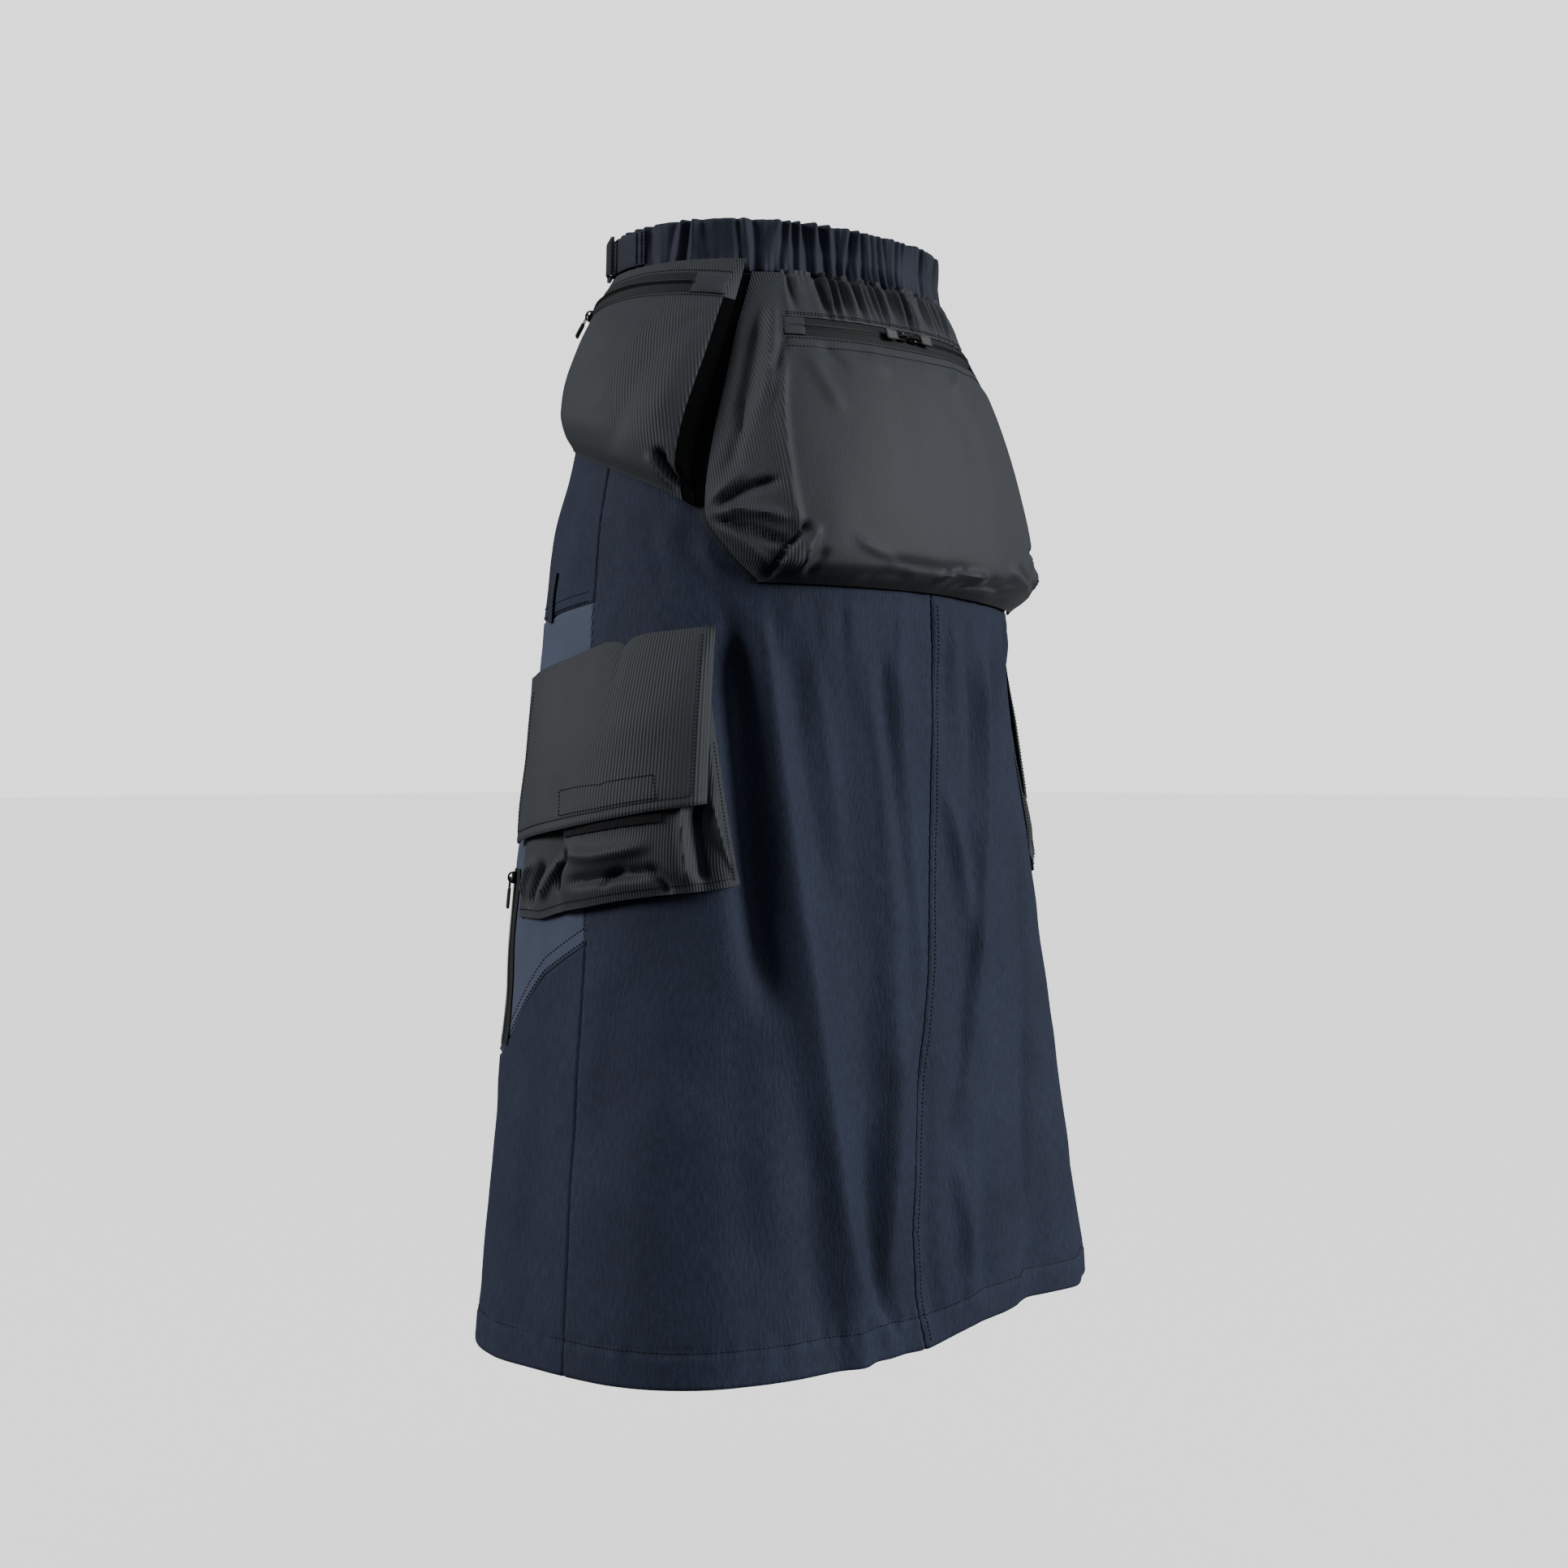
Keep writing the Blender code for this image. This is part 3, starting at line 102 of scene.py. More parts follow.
SIDE_SEAM: Path = ((-19.5, -1.0), (-256.0, -1.0), (-495.0, 6.0), (-783.5, 7.0))
BACK_SEAM: Path = (
    (-19.5, 93.8), (-250.0, 93.8), (-347.0, 93.0), (-405.0, 91.0), (-520.0, 86.0),
    (-577.0, 82.0), (-633.0, 79.0), (-700.0, 76.0), (-745.0, 76.5), (-783.5, 79.0),
)
HIP_SEAM: Path = ((0.0, -256.0), (20.0, -264.0), (55.0, -270.0), (90.0, -272.0))
CURVED_SEAM: Path = (
    (-6.0, -495.0), (-2.0, -503.0), (5.0, -518.0), (10.0, -538.0), (15.0, -561.0),
    (20.0, -578.0), (35.0, -586.0), (90.0, -590.0),
)
BAG_SEAM: Path = ((27.0, -246.0), (94.0, -249.0), (134.0, -255.0), (161.0, -256.0))
BAG_EDGE: Path = (
    (-20.0, 35.5), (-43.0, 33.5), (-61.0, 32.0), (-103.0, 29.8), (-145.0, 27.8),
    (-180.0, 27.0), (-196.0, 27.2), (-225.0, 33.0), (-247.0, 40.0),
)
BAG_RIDGE: Path = (
    (-20.0, 45.0), (-75.0, 44.0), (-123.0, 43.5), (-181.0, 45.0), (-212.0, 47.0),
    (-250.0, 49.0),
)
# z and lift of the back bag, row by row
BAG_ROWS = (
    (-20.0, 4.5), (-36.0, 8.0), (-54.5, 12.0), (-68.5, 15.0), (-88.0, 19.5), (-112.0, 22.5),
    (-140.0, 24.0), (-170.0, 25.0), (-200.0, 25.5), (-222.0, 25.0), (-235.0, 22.5),
    (-241.5, 15.5), (-246.5, 6.5), (-248.5, 2.6),
)
BAG_ZIP_TOP = -54.5
BAG_ZIP_BOTTOM = -68.5
# share from the side edge (0) over the ridge (1) to the middle (2), and its share of the lift
BAG_COLUMNS: Path = (
    (0.0, 0.0), (0.3, 0.34), (0.65, 0.68), (1.0, 0.90), (1.12, 0.93), (1.26, 0.96),
    (1.4, 0.98), (1.55, 1.0), (1.7, 0.99), (1.85, 1.0), (2.0, 0.98),
)
POUCH_REAR: Path = (
    (-11.0, 33.5), (-50.0, 30.2), (-80.0, 28.2), (-110.0, 26.0), (-145.0, 23.8),
    (-165.0, 23.2), (-194.0, 24.8),
)
POUCH_FRONT_ANGLE = -58.0
POUCH_TOP = -11.0
POUCH_BOTTOM: Path = (
    (-58.0, -116.0), (-40.0, -127.0), (-22.0, -141.0), (-3.0, -158.0), (9.0, -171.0),
    (18.0, -182.0), (25.0, -194.0),
)
POUCH_ROWS: Path = (
    (0.0, 5.2), (0.08, 9.5), (0.22, 15.0), (0.4, 19.5), (0.6, 21.5), (0.78, 18.5),
    (0.91, 11.0), (1.0, 2.0),
)
POUCH_COLUMNS: Path = (
    (0.0, 0.0), (0.02, 0.42), (0.045, 0.72), (0.09, 0.84), (0.17, 0.90), (0.27, 0.95),
    (0.38, 1.0), (0.5, 1.0), (0.6, 1.0), (0.7, 0.99), (0.8, 0.92), (0.88, 0.78),
    (0.95, 0.45), (1.0, 0.0),
)
HIP_ZIP_MIDDLE: Path = ((0.0, 0.115), (0.3, 0.105), (0.6, 0.15), (0.7, 0.2), (1.0, 0.32))
HIP_ZIP_HEIGHT = 15.0
HIP_SLIDER_SHARE = 0.69
# angle at the top and at the bottom, lift and z of the bottom edge, rear edge first
CARGO_COLUMNS = (
    (29.0, 37.0, 3.0, -453.0), (28.3, 34.0, 7.0, -455.0), (27.6, 30.5, 5.0, -457.0),
    (26.8, 27.6, 11.5, -458.0), (22.0, 22.5, 13.0, -460.0), (15.0, 15.0, 13.5, -464.0),
    (8.0, 8.0, 13.0, -469.0), (2.0, 2.0, 11.5, -473.0), (0.8, -1.0, 5.0, -475.0),
    (-6.0, -7.0, 6.0, -480.0), (-12.0, -12.5, 4.5, -480.0), (-15.0, -15.5, 2.8, -481.0),
)
CARGO_ROWS: Path = (
    (0.0, 0.42), (0.14, 0.8), (0.32, 0.95), (0.52, 1.0), (0.72, 1.0), (0.88, 0.92), (1.0, 0.5),
)
RIGHT_TURN = 7.0
CARGO_RIGHT_LIFT = 0.62
CARGO_TOP: Path = ((-19.0, -326.0), (29.0, -303.0))
FLAP_PLAY = 2.0
FLAP_REAR = 30.5
FLAP_FRONT = -19.5
FLAP_TOP: Path = (
    (-19.5, -310.0), (-16.0, -305.0), (5.0, -286.0), (9.0, -286.5), (10.5, -289.0),
    (12.0, -284.0), (15.0, -281.0), (22.0, -279.0), (30.5, -276.0),
)
FLAP_BOTTOM: Path = (
    (-19.5, -429.0), (-8.0, -422.0), (4.0, -415.0), (21.0, -403.0), (30.5, -398.0),
)
# share down the flap, its lift, and the lift of its front edge
FLAP_ROWS = (
    (0.0, 2.4, 11.0), (0.1, 6.5, 10.0), (0.28, 12.0, 8.5), (0.52, 15.8, 7.0),
    (0.78, 17.0, 6.0), (1.0, 17.5, 5.4),
)
# share along the flap, share of the row's lift, share of the front edge's lift
FLAP_COLUMNS = (
    (0.0, 0.56, 0.0), (0.05, 0.95, 0.0), (0.14, 1.0, 0.0), (0.26, 1.0, 0.0), (0.38, 1.0, 0.0),
    (0.5, 1.0, 0.0), (0.62, 1.0, 0.1), (0.74, 0.97, 0.3), (0.87, 0.95, 0.7), (1.0, 0.9, 1.0),
)
TAPE_WALL = 1.2
LAID_GAP = 0.5
FRONT_ZIP_ANGLES = (-21.5, -18.5)
FRONT_ZIP_HEIGHTS = (-447.0, -572.0)
FRONT_TAB_ANGLE = -20.0
BELT_TOP = 16.5
BELT_BOTTOM = -8.5
BELT_LIFT = 4.8
BELT_ANGLES = (-1.0, -179.0)
BUCKLE_ANGLE = -22.0
BUCKLE_LIFT = 7.5
BUCKLE_HUMP = 6.0


# ----------------------------------------
# The figure that the cloth is on
# ----------------------------------------

def lerp(a: float, b: float, share: float) -> float:
    """Value a share of the way from a to b."""
    return a + (b - a) * share


def knots(table: Path, at: np.ndarray) -> np.ndarray:
    """Second column of a table at places of its first, by straight steps.

    Args:
        table: rows of (place, value).
        at: the places.
    Returns:
        The values, held constant past the table's ends.
    """
    rows = np.array(sorted(table))
    return np.interp(at, rows[:, 0], rows[:, 1])


def smooth_table(table: Sequence[Sequence[float]], column: int, at: np.ndarray) -> np.ndarray:
    """A table's column by smooth steps between its rows, without overshoot.

    Args:
        table: rows, the first column of which is the place.
        column: the column to read.
        at: the places.
    Returns:
        The values.
    """
    rows = np.array(sorted(table), float)
    x, y = rows[:, 0], rows[:, column]
    step = np.diff(x)
    slope = np.diff(y) / step
    middle = np.zeros(len(x))
    same = slope[:-1] * slope[1:] > 0.0
    pair = 2.0 * slope[:-1] * slope[1:] / np.where(same, slope[:-1] + slope[1:], 1.0)
    middle[1:-1] = np.where(same, pair, 0.0)
    middle[0], middle[-1] = slope[0], slope[-1]
    place = np.clip(at, x[0], x[-1])
    index = np.clip(np.searchsorted(x, place, side="right") - 1, 0, len(x) - 2)
    t = (place - x[index]) / step[index]
    t2, t3 = t * t, t * t * t
    value = (2 * t3 - 3 * t2 + 1) * y[index] + (t3 - 2 * t2 + t) * step[index] * middle[index]
    return value + (3 * t2 - 2 * t3) * y[index + 1] + (t3 - t2) * step[index] * middle[index + 1]


def smoothstep(t: np.ndarray) -> np.ndarray:
    """Soft step from 0 to 1 as t goes from 0 to 1."""
    t = np.clip(t, 0.0, 1.0)
    return t * t * (3.0 - 2.0 * t)


def wrapped(angle: np.ndarray) -> np.ndarray:
    """Angle brought into -180 to 180 degrees."""
    return (np.asarray(angle) + 180.0) % 360.0 - 180.0


class Figure:
    """The worn form of the skirt's cloth as a function of angle and height."""

    def __init__(self) -> None:
        """Works out the section at each millimetre of height."""
        self.levels = np.arange(-784.0, 20.5, 0.5)
        rows = sorted(SECTIONS)
        x = np.array([row[0] for row in rows])
        index = np.clip(np.searchsorted(x, self.levels, side="right") - 1, 0, len(rows) - 2)
        low, high = np.maximum(index - 1, 0), np.minimum(index + 2, len(rows) - 1)
        t = np.clip((self.levels - x[index]) / (x[index + 1] - x[index]), 0.0, 1.0)
        t2, t3 = t * t, t * t * t
        self.columns = []
        for column in range(1, 6):
            y = np.array([row[column] for row in rows])
            span = x[index + 1] - x[index]
            before = (y[index + 1] - y[low]) / (x[index + 1] - x[low]) * span
            after = (y[high] - y[index]) / (x[high] - x[index]) * span
            self.columns.append(
                (2 * t3 - 3 * t2 + 1) * y[index] + (t3 - 2 * t2 + t) * before
                + (3 * t2 - 2 * t3) * y[index + 1] + (t3 - t2) * after
            )

    def fold(self, angle: np.ndarray, z: np.ndarray) -> np.ndarray:
        """Height of the large folds.

        Args:
            angle: degrees round the body.
            z: heights.
        Returns:
            Millimetres outwards.
        """
        total = np.zeros(np.broadcast(angle, z).shape)
        for top, bottom, half, height, z_top, z_bottom in FOLDS:
            share = (z - z_top) / (z_bottom - z_top)
            away = wrapped(angle - lerp(top, bottom, share)) / half
            ends = np.minimum(1.0, (z_top - z) / FOLD_FADE)
            if z_bottom > HEM:
                ends = np.minimum(ends, (z - z_bottom) / FOLD_FADE)
            ends = smoothstep(ends)
            if z_bottom < HEM:
                ends = ends * (0.35 + 0.65 * np.clip((z_top - z) / (z_top - HEM), 0.0, 1.0))
            total += height * ends * np.exp(-away * away)
        return total

    def hem_shift(self, angle: np.ndarray, z: np.ndarray) -> np.ndarray:
        """How far the uneven hem moves a place up."""
        share = np.clip((z - HEM_LEVEL_START) / (HEM - HEM_LEVEL_START), 0.0, 1.1)
        return knots(HEM_LEVEL, wrapped(angle)) * share * share

    def surface(self, angle: np.ndarray, z: np.ndarray, lift: np.ndarray | float = 0.0) -> np.ndarray:
        """Points of the cloth's outer face.

        Args:
            angle: degrees round the body.
            z: heights.
            lift: millimetres that the points stand off it.
        Returns:
            Points in metres, in the last axis.
        """
        angle, z, lift = np.broadcast_arrays(np.asarray(angle, float), np.asarray(z, float), lift)
        width, depth, power, centre_x, centre_y = (
            np.interp(z, self.levels, column) for column in self.columns
        )
        c, s = np.cos(np.radians(angle)), np.sin(np.radians(angle))
        radius = (np.abs(c / width) ** power + np.abs(s / depth) ** power) ** (-1.0 / power)
        x, y = radius * c, radius * s
        normal_x = np.sign(x) * np.abs(x / width) ** (power - 1.0) / width
        normal_y = np.sign(y) * np.abs(y / depth) ** (power - 1.0) / depth
        size = np.hypot(normal_x, normal_y)
        out = lift + self.fold(angle, z)
        return MM * np.stack((
            centre_x + x + out * normal_x / size,
            centre_y + y + out * normal_y / size,
            z + self.hem_shift(angle, z),
        ), axis=-1)

    def reach(self, angle: np.ndarray, z: np.ndarray) -> np.ndarray:
        """Distance of the cloth from the body's middle line, in millimetres."""
        point = self.surface(angle, z)
        return np.hypot(point[..., 0], point[..., 1]) / MM


@dataclass(frozen=True)
class Crease:
    """A soft ridge, or a trough where its height is negative, along a line of places.

    path: places (angle, z) that the line follows; width: millimetres to its foot; height:
    millimetres; skew: over 1 it is wider on the side that lies left of its way.
    """

    path: Path
    width: float
    height: float
    skew: float = 1.0
    fade: float = 0.25

    def dense_path(self) -> np.ndarray:
        """Its line with a smooth curve between the places."""
        rows = np.array(self.path, float)
        if len(rows) < 3:
            return rows
        padded = np.vstack((2 * rows[0] - rows[1], rows, 2 * rows[-1] - rows[-2]))
        out = []
        for p0, p1, p2, p3 in zip(padded, padded[1:], padded[2:], padded[3:]):
            for t in (0.0, 0.25, 0.5, 0.75):
                out.append(0.5 * (
                    2 * p1 + (p2 - p0) * t + (2 * p0 - 5 * p1 + 4 * p2 - p3) * t * t
                    + (3 * p1 - p0 - 3 * p2 + p3) * t ** 3
                ))
        out.append(rows[-1])
        return np.array(out)

    def height_at(self, angle: np.ndarray, z: np.ndarray, reach: np.ndarray) -> np.ndarray:
        """Its height at places of the cloth.

        Args:
            angle: degrees round the body.
            z: heights.
            reach: distance of the places from the body's middle line.
        Returns:
            Millimetres outwards.
        """
        line = self.dense_path()
        best = np.full(angle.shape, 1e9)
        signed = np.zeros(angle.shape)
        along = np.zeros(angle.shape)
        scale = np.radians(1.0) * reach
        for index, (one, two) in enumerate(zip(line, line[1:])):
            x, y = wrapped(angle - one[0]) * scale, z - one[1]
            dx, dy = (two[0] - one[0]) * scale, two[1] - one[1]
            t = np.clip((x * dx + y * dy) / (dx * dx + dy * dy), 0.0, 1.0)
            gap = np.hypot(x - t * dx, y - t * dy)
            nearer = gap < best
            best = np.where(nearer, gap, best)
            signed = np.where(nearer, np.sign(dx * y - dy * x), signed)
            along = np.where(nearer, (index + t) / (len(line) - 1), along)
        width = np.where(signed > 0.0, self.width * self.skew, self.width / self.skew)
        ends = smoothstep(along / self.fade) * smoothstep((1.0 - along) / self.fade)
        return self.height * ends * np.exp(-(best / width) ** 2)


def crease_height(
    creases: Sequence[Crease], figure: Figure, angle: np.ndarray, z: np.ndarray
) -> np.ndarray:
    """Sum of creases at places of the cloth.

    Args:
        creases: the creases.
        figure: the worn form.
        angle: degrees round the body.
        z: heights.
    Returns:
        Millimetres outwards.
    """
    angle, z = np.broadcast_arrays(np.asarray(angle, float), np.asarray(z, float))
    reach = figure.reach(angle, z)
    total = np.zeros(angle.shape)
    for crease in creases:
        rows = np.array(crease.path)
        pad = 4.0 * crease.width * max(crease.skew, 1.0 / crease.skew)
        middle = (rows[:, 0].min() + rows[:, 0].max()) / 2.0
        half = (rows[:, 0].max() - rows[:, 0].min()) / 2.0 + np.degrees(pad / 120.0)
        near = (z > rows[:, 1].min() - pad) & (z < rows[:, 1].max() + pad)
        near &= np.abs(wrapped(angle - middle)) < half
        if near.any():
            total[near] += crease.height_at(angle[near], z[near], reach[near])
    return total


def mirrored_creases(creases: Sequence[Crease], middle: float, seed: int) -> list[Crease]:
    """The same kind of creases on the other side, a little different in size and place.

    Args:
        creases: the creases of one side.
        middle: the angle that they are mirrored about.
        seed: seed of the differences.
    Returns:
        The creases of the other side.
    """
    pick = random.Random(seed)
    out = []
    for crease in creases:
        turn, drop = pick.uniform(-2.5, 2.5), pick.uniform(-12.0, 12.0)
        path = tuple((2.0 * middle - angle + turn, z + drop) for angle, z in crease.path)
        out.append(Crease(
            path, crease.width * pick.uniform(0.85, 1.2), crease.height * pick.uniform(0.75, 1.1),
            1.0 / crease.skew, crease.fade,
        ))
    return out


class Rumple:
    """Faint uneven swell of cloth, from smooth steps between seeded numbers."""

    def __init__(self, seed: int, across: float, down: float, height: float) -> None:
        """Draws the numbers.

        Args:
            seed: seed of the draw.
            across: degrees between them round the body.
            down: millimetres between them up the body.
            height: greatest height in millimetres.
        """
        self.across, self.down, self.height = across, down, height
        self.table = np.random.default_rng(seed).uniform(-1.0, 1.0, (64, 256))

    def at(self, angle: np.ndarray, z: np.ndarray) -> np.ndarray:
        """Height of the swell at places of the cloth, in millimetres."""
        u, v = (np.asarray(angle) + 720.0) / self.across, (np.asarray(z) + 1000.0) / self.down
        i, j = np.floor(v).astype(int), np.floor(u).astype(int)
        s, t = smoothstep(v - i), smoothstep(u - j)
        i, j = i % 63, j % 255
        top = self.table[i, j] * (1 - t) + self.table[i, j + 1] * t
        bottom = self.table[i + 1, j] * (1 - t) + self.table[i + 1, j + 1] * t
        return self.height * (top * (1 - s) + bottom * s)


# ----------------------------------------
# Finishes
# ----------------------------------------

class Weave(Enum):
    """Surface pattern of a finish."""

    TWILL = "twill"
    CORD = "cord"
    TAPE = "tape"
    RIB = "rib"
    PILE = "pile"
    SMOOTH = "smooth"


@dataclass(frozen=True)
class Finish:
    """One finish of the skirt and its trims."""

    name: str
    slot: str
    colour: tuple[float, float, float]
    roughness: float
    weave: Weave = Weave.SMOOTH
    pitch: float = 1.0
    relief: float = 0.3
    contrast: float = 0.25
    mottle: float = 0.2
    sheen: float = 0.0
    specular: float = 0.5
    metallic: float = 0.0

    def material(self) -> bpy.types.Material:
        """The finish as a material, made once."""
        found = bpy.data.materials.get(self.name)
        return found if found else Dyer(self).material


class Dyer:
    """Builds the nodes of one finish."""

    def __init__(self, finish: Finish) -> None:
        """Makes the material.

        Args:
            finish: what it looks like.
        """
        self.finish = finish
        self.material = bpy.data.materials.new(finish.name)
        self.material.use_nodes = True
        self.tree = self.material.node_tree
        self.tree.nodes.clear()
        output = self.tree.nodes.new("ShaderNodeOutputMaterial")
        shader = self.tree.nodes.new("ShaderNodeBsdfPrincipled")
        self.tree.links.new(shader.outputs["BSDF"], output.inputs["Surface"])
        shader.inputs["Roughness"].default_value = finish.roughness
        shader.inputs["Metallic"].default_value = finish.metallic
        shader.inputs["Specular IOR Level"].default_value = finish.specular
        shader.inputs["Sheen Weight"].default_value = finish.sheen
        shader.inputs["Sheen Roughness"].default_value = 0.45
        coordinates = self.tree.nodes.new("ShaderNodeTexCoord")
        self.uv = coordinates.outputs["UV"]
        self.place = coordinates.outputs["Object"]
        relief = self.pattern()
        cloud = self.noise(self.place, 14.0, 3.0)
        speck = self.noise(self.uv, 900.0, 2.0)
        tone = 1.0
        for source, amount in (
            (cloud, finish.mottle), (speck, finish.mottle), (relief, finish.contrast),
        ):
            part = self.math("MULTIPLY_ADD", source, amount, 1.0 - amount / 2.0)
            tone = self.math("MULTIPLY", part, tone)
        mix = self.tree.nodes.new("ShaderNodeVectorMath")
        mix.operation = "SCALE"
        mix.inputs[0].default_value = finish.colour
        self.tree.links.new(tone, mix.inputs["Scale"])
        self.tree.links.new(mix.outputs[0], shader.inputs["Base Color"])
        bump = self.tree.nodes.new("ShaderNodeBump")
        bump.inputs["Strength"].default_value = finish.relief
        bump.inputs["Distance"].default_value = 0.0004
        height = self.math("MULTIPLY_ADD", speck, 0.35, relief)
        self.tree.links.new(height, bump.inputs["Height"])
        self.tree.links.new(bump.outputs[0], shader.inputs["Normal"])

    def math(self, operation: str, *values: object) -> bpy.types.NodeSocket:
        """A maths node.

        Args:
            operation: its operation.
            values: numbers or sockets.
        Returns:
            Its output.
        """
        node = self.tree.nodes.new("ShaderNodeMath")
        node.operation = operation
        for socket, value in zip(node.inputs, values):
            if isinstance(value, (int, float)):
                socket.default_value = value
            else:
                self.tree.links.new(value, socket)
        return node.outputs[0]

    def noise(self, vector: bpy.types.NodeSocket, scale: float, detail: float) -> bpy.types.NodeSocket:
        """A noise texture's value."""
        node = self.tree.nodes.new("ShaderNodeTexNoise")
        node.inputs["Scale"].default_value = scale
        node.inputs["Detail"].default_value = detail
        self.tree.links.new(vector, node.inputs["Vector"])
        return node.outputs[0]

    def wave(self, axis: int, pitch: float, lean: float = 0.0) -> bpy.types.NodeSocket:
        """Threads from 0 to 1 with a pitch in millimetres along one UV axis.

        Args:
            axis: 0 across or 1 up.
            pitch: millimetres between threads.
            lean: how far they lean over along the other axis.
        Returns:
            The wave.
        """
        parts = self.tree.nodes.new("ShaderNodeSeparateXYZ")
        self.tree.links.new(self.uv, parts.inputs[0])
        place = self.math("MULTIPLY_ADD", parts.outputs[1 - axis], lean, parts.outputs[axis])
        turned = self.math("MULTIPLY", place, 2.0 * math.pi / (pitch * MM))
        return self.math("MULTIPLY_ADD", self.math("SINE", turned), 0.5, 0.5)

    def pattern(self) -> bpy.types.NodeSocket:
        """Height of the finish's weave, about 0 to 1."""
        weave, pitch = self.finish.weave, self.finish.pitch
        if weave is Weave.TWILL:
            streak = self.tree.nodes.new("ShaderNodeMapping")
            streak.inputs["Scale"].default_value = (1.0, 0.22, 1.0)
            self.tree.links.new(self.uv, streak.inputs["Vector"])
            crepe = self.noise(streak.outputs[0], 520.0, 2.0)
            return self.math("MULTIPLY_ADD", self.wave(0, pitch, 0.6), 0.3, crepe)
        if weave is Weave.CORD:
            return self.math("MULTIPLY_ADD", self.wave(1, pitch * 0.45), 0.15, self.wave(0, pitch))
        if weave is Weave.TAPE:
            return self.math("MULTIPLY", self.wave(0, pitch, 1.0), self.wave(1, pitch * 1.3, 0.5))
        if weave is Weave.RIB:
            return self.wave(0, pitch, 0.8)
        if weave is Weave.PILE:
            return self.noise(self.uv, 1600.0, 4.0)
        return self.noise(self.place, 260.0, 3.0)


NAVY = Finish(
    "navy_cloth_finish", "navy_cloth", (0.0082, 0.0112, 0.0215), 0.78, Weave.TWILL,
    pitch=1.6, relief=1.0, contrast=1.3, mottle=0.6, specular=0.12,
)
BAND = Finish(
    "waistband_finish", "navy_cloth", (0.0052, 0.0078, 0.0165), 0.72, Weave.TWILL,
    pitch=0.7, contrast=0.3, sheen=0.04, specular=0.14,
)
MID = Finish(
    "light_ripstop_finish", "light_navy_ripstop", (0.0250, 0.0330, 0.0560), 0.7, Weave.CORD,
    pitch=2.1, relief=0.5, contrast=0.35, mottle=0.3, sheen=0.03, specular=0.16,
)
CHARCOAL = Finish(
    "charcoal_face_finish", "charcoal_cloth", (0.0098, 0.0125, 0.0158), 0.66, Weave.TWILL,
    pitch=0.8, relief=0.4, contrast=0.35, sheen=0.05, specular=0.18,
)
CORDED = Finish(
    "charcoal_corded_finish", "charcoal_cloth", (0.0098, 0.0125, 0.0158), 0.66, Weave.CORD,
    pitch=2.1, relief=0.7, contrast=0.55, sheen=0.03, specular=0.18,
)
# Painted shade: near-black cloth standing in for the deep shadow between the hip pouch and the bag, and
# on the pouch's rear side.
SHADE_GUSSET = Finish(
    "pouch_gusset_painted_shade_finish", "charcoal_cloth", (0.0010, 0.0011, 0.0013), 0.95, Weave.TWILL,
    pitch=0.8, relief=0.2, contrast=0.2, mottle=0.1, specular=0.03,
)
TAPE = Finish(
    "zip_tape_finish", "zip_tape", (0.0070, 0.0080, 0.0095), 0.75, Weave.TAPE,
    pitch=1.6, relief=0.6, contrast=0.7, mottle=0.15, specular=0.15,
)
TEETH = Finish(
    "zip_teeth_finish", "zip_tape", (0.0070, 0.0078, 0.0090), 0.45, Weave.SMOOTH,
    relief=0.1, contrast=0.2, mottle=0.1, specular=0.35,
)
PILE = Finish(
    "loop_pile_finish", "loop_strip", (0.0030, 0.0032, 0.0040), 0.95, Weave.PILE,
    relief=1.0, contrast=0.9, mottle=0.3, sheen=0.1, specular=0.1,
)
WEBBING = Finish(
    "webbing_finish", "navy_webbing", (0.0060, 0.0085, 0.0180), 0.7, Weave.RIB,
    pitch=2.4, relief=0.9, contrast=0.75, mottle=0.1, specular=0.18,
)
THREAD = Finish(
    "sewing_thread_finish", "navy_cloth", (0.0012, 0.0015, 0.0026), 0.7, Weave.SMOOTH,
    relief=0.1, contrast=0.2, mottle=0.1, specular=0.1,
)
RUBBER = Finish(
    "pull_rubber_finish", "black_rubber", (0.0150, 0.0160, 0.0175), 0.5, Weave.SMOOTH,
    relief=0.1, contrast=0.12, mottle=0.1, specular=0.25,
)
METAL = Finish(
    "slider_metal_finish", "dark_metal", (0.0250, 0.0255, 0.0270), 0.16, Weave.SMOOTH,
    relief=0.05, contrast=0.1, mottle=0.05, specular=0.6, metallic=0.85,
)
PLASTIC = Finish(
    "buckle_plastic_finish", "dark_plastic", (0.0050, 0.0065, 0.0105), 0.3, Weave.SMOOTH,
    relief=0.05, contrast=0.15, mottle=0.08,
)


# ----------------------------------------
# Meshes
# ----------------------------------------

BODY = "skirt"


def grid_normals(points: np.ndarray, closed: bool = False) -> np.ndarray:
    """Unit normals of a grid of points, outwards where its rows run down and its columns round.

    Args:
        points: rows by columns by 3.
        closed: the last column is next to the first.
    Returns:
        The normals, turned away from the body's middle line.
    """
    if closed:
        across = np.roll(points, -1, axis=1) - np.roll(points, 1, axis=1)
    else:
        across = np.gradient(points, axis=1)
    down = np.gradient(points, axis=0)
    normal = np.cross(across, down)
    normal /= np.maximum(np.linalg.norm(normal, axis=-1, keepdims=True), 1e-12)
    radial = points * np.array([1.0, 1.0, 0.0])
    return normal if np.sum(normal * radial) > 0.0 else -normal


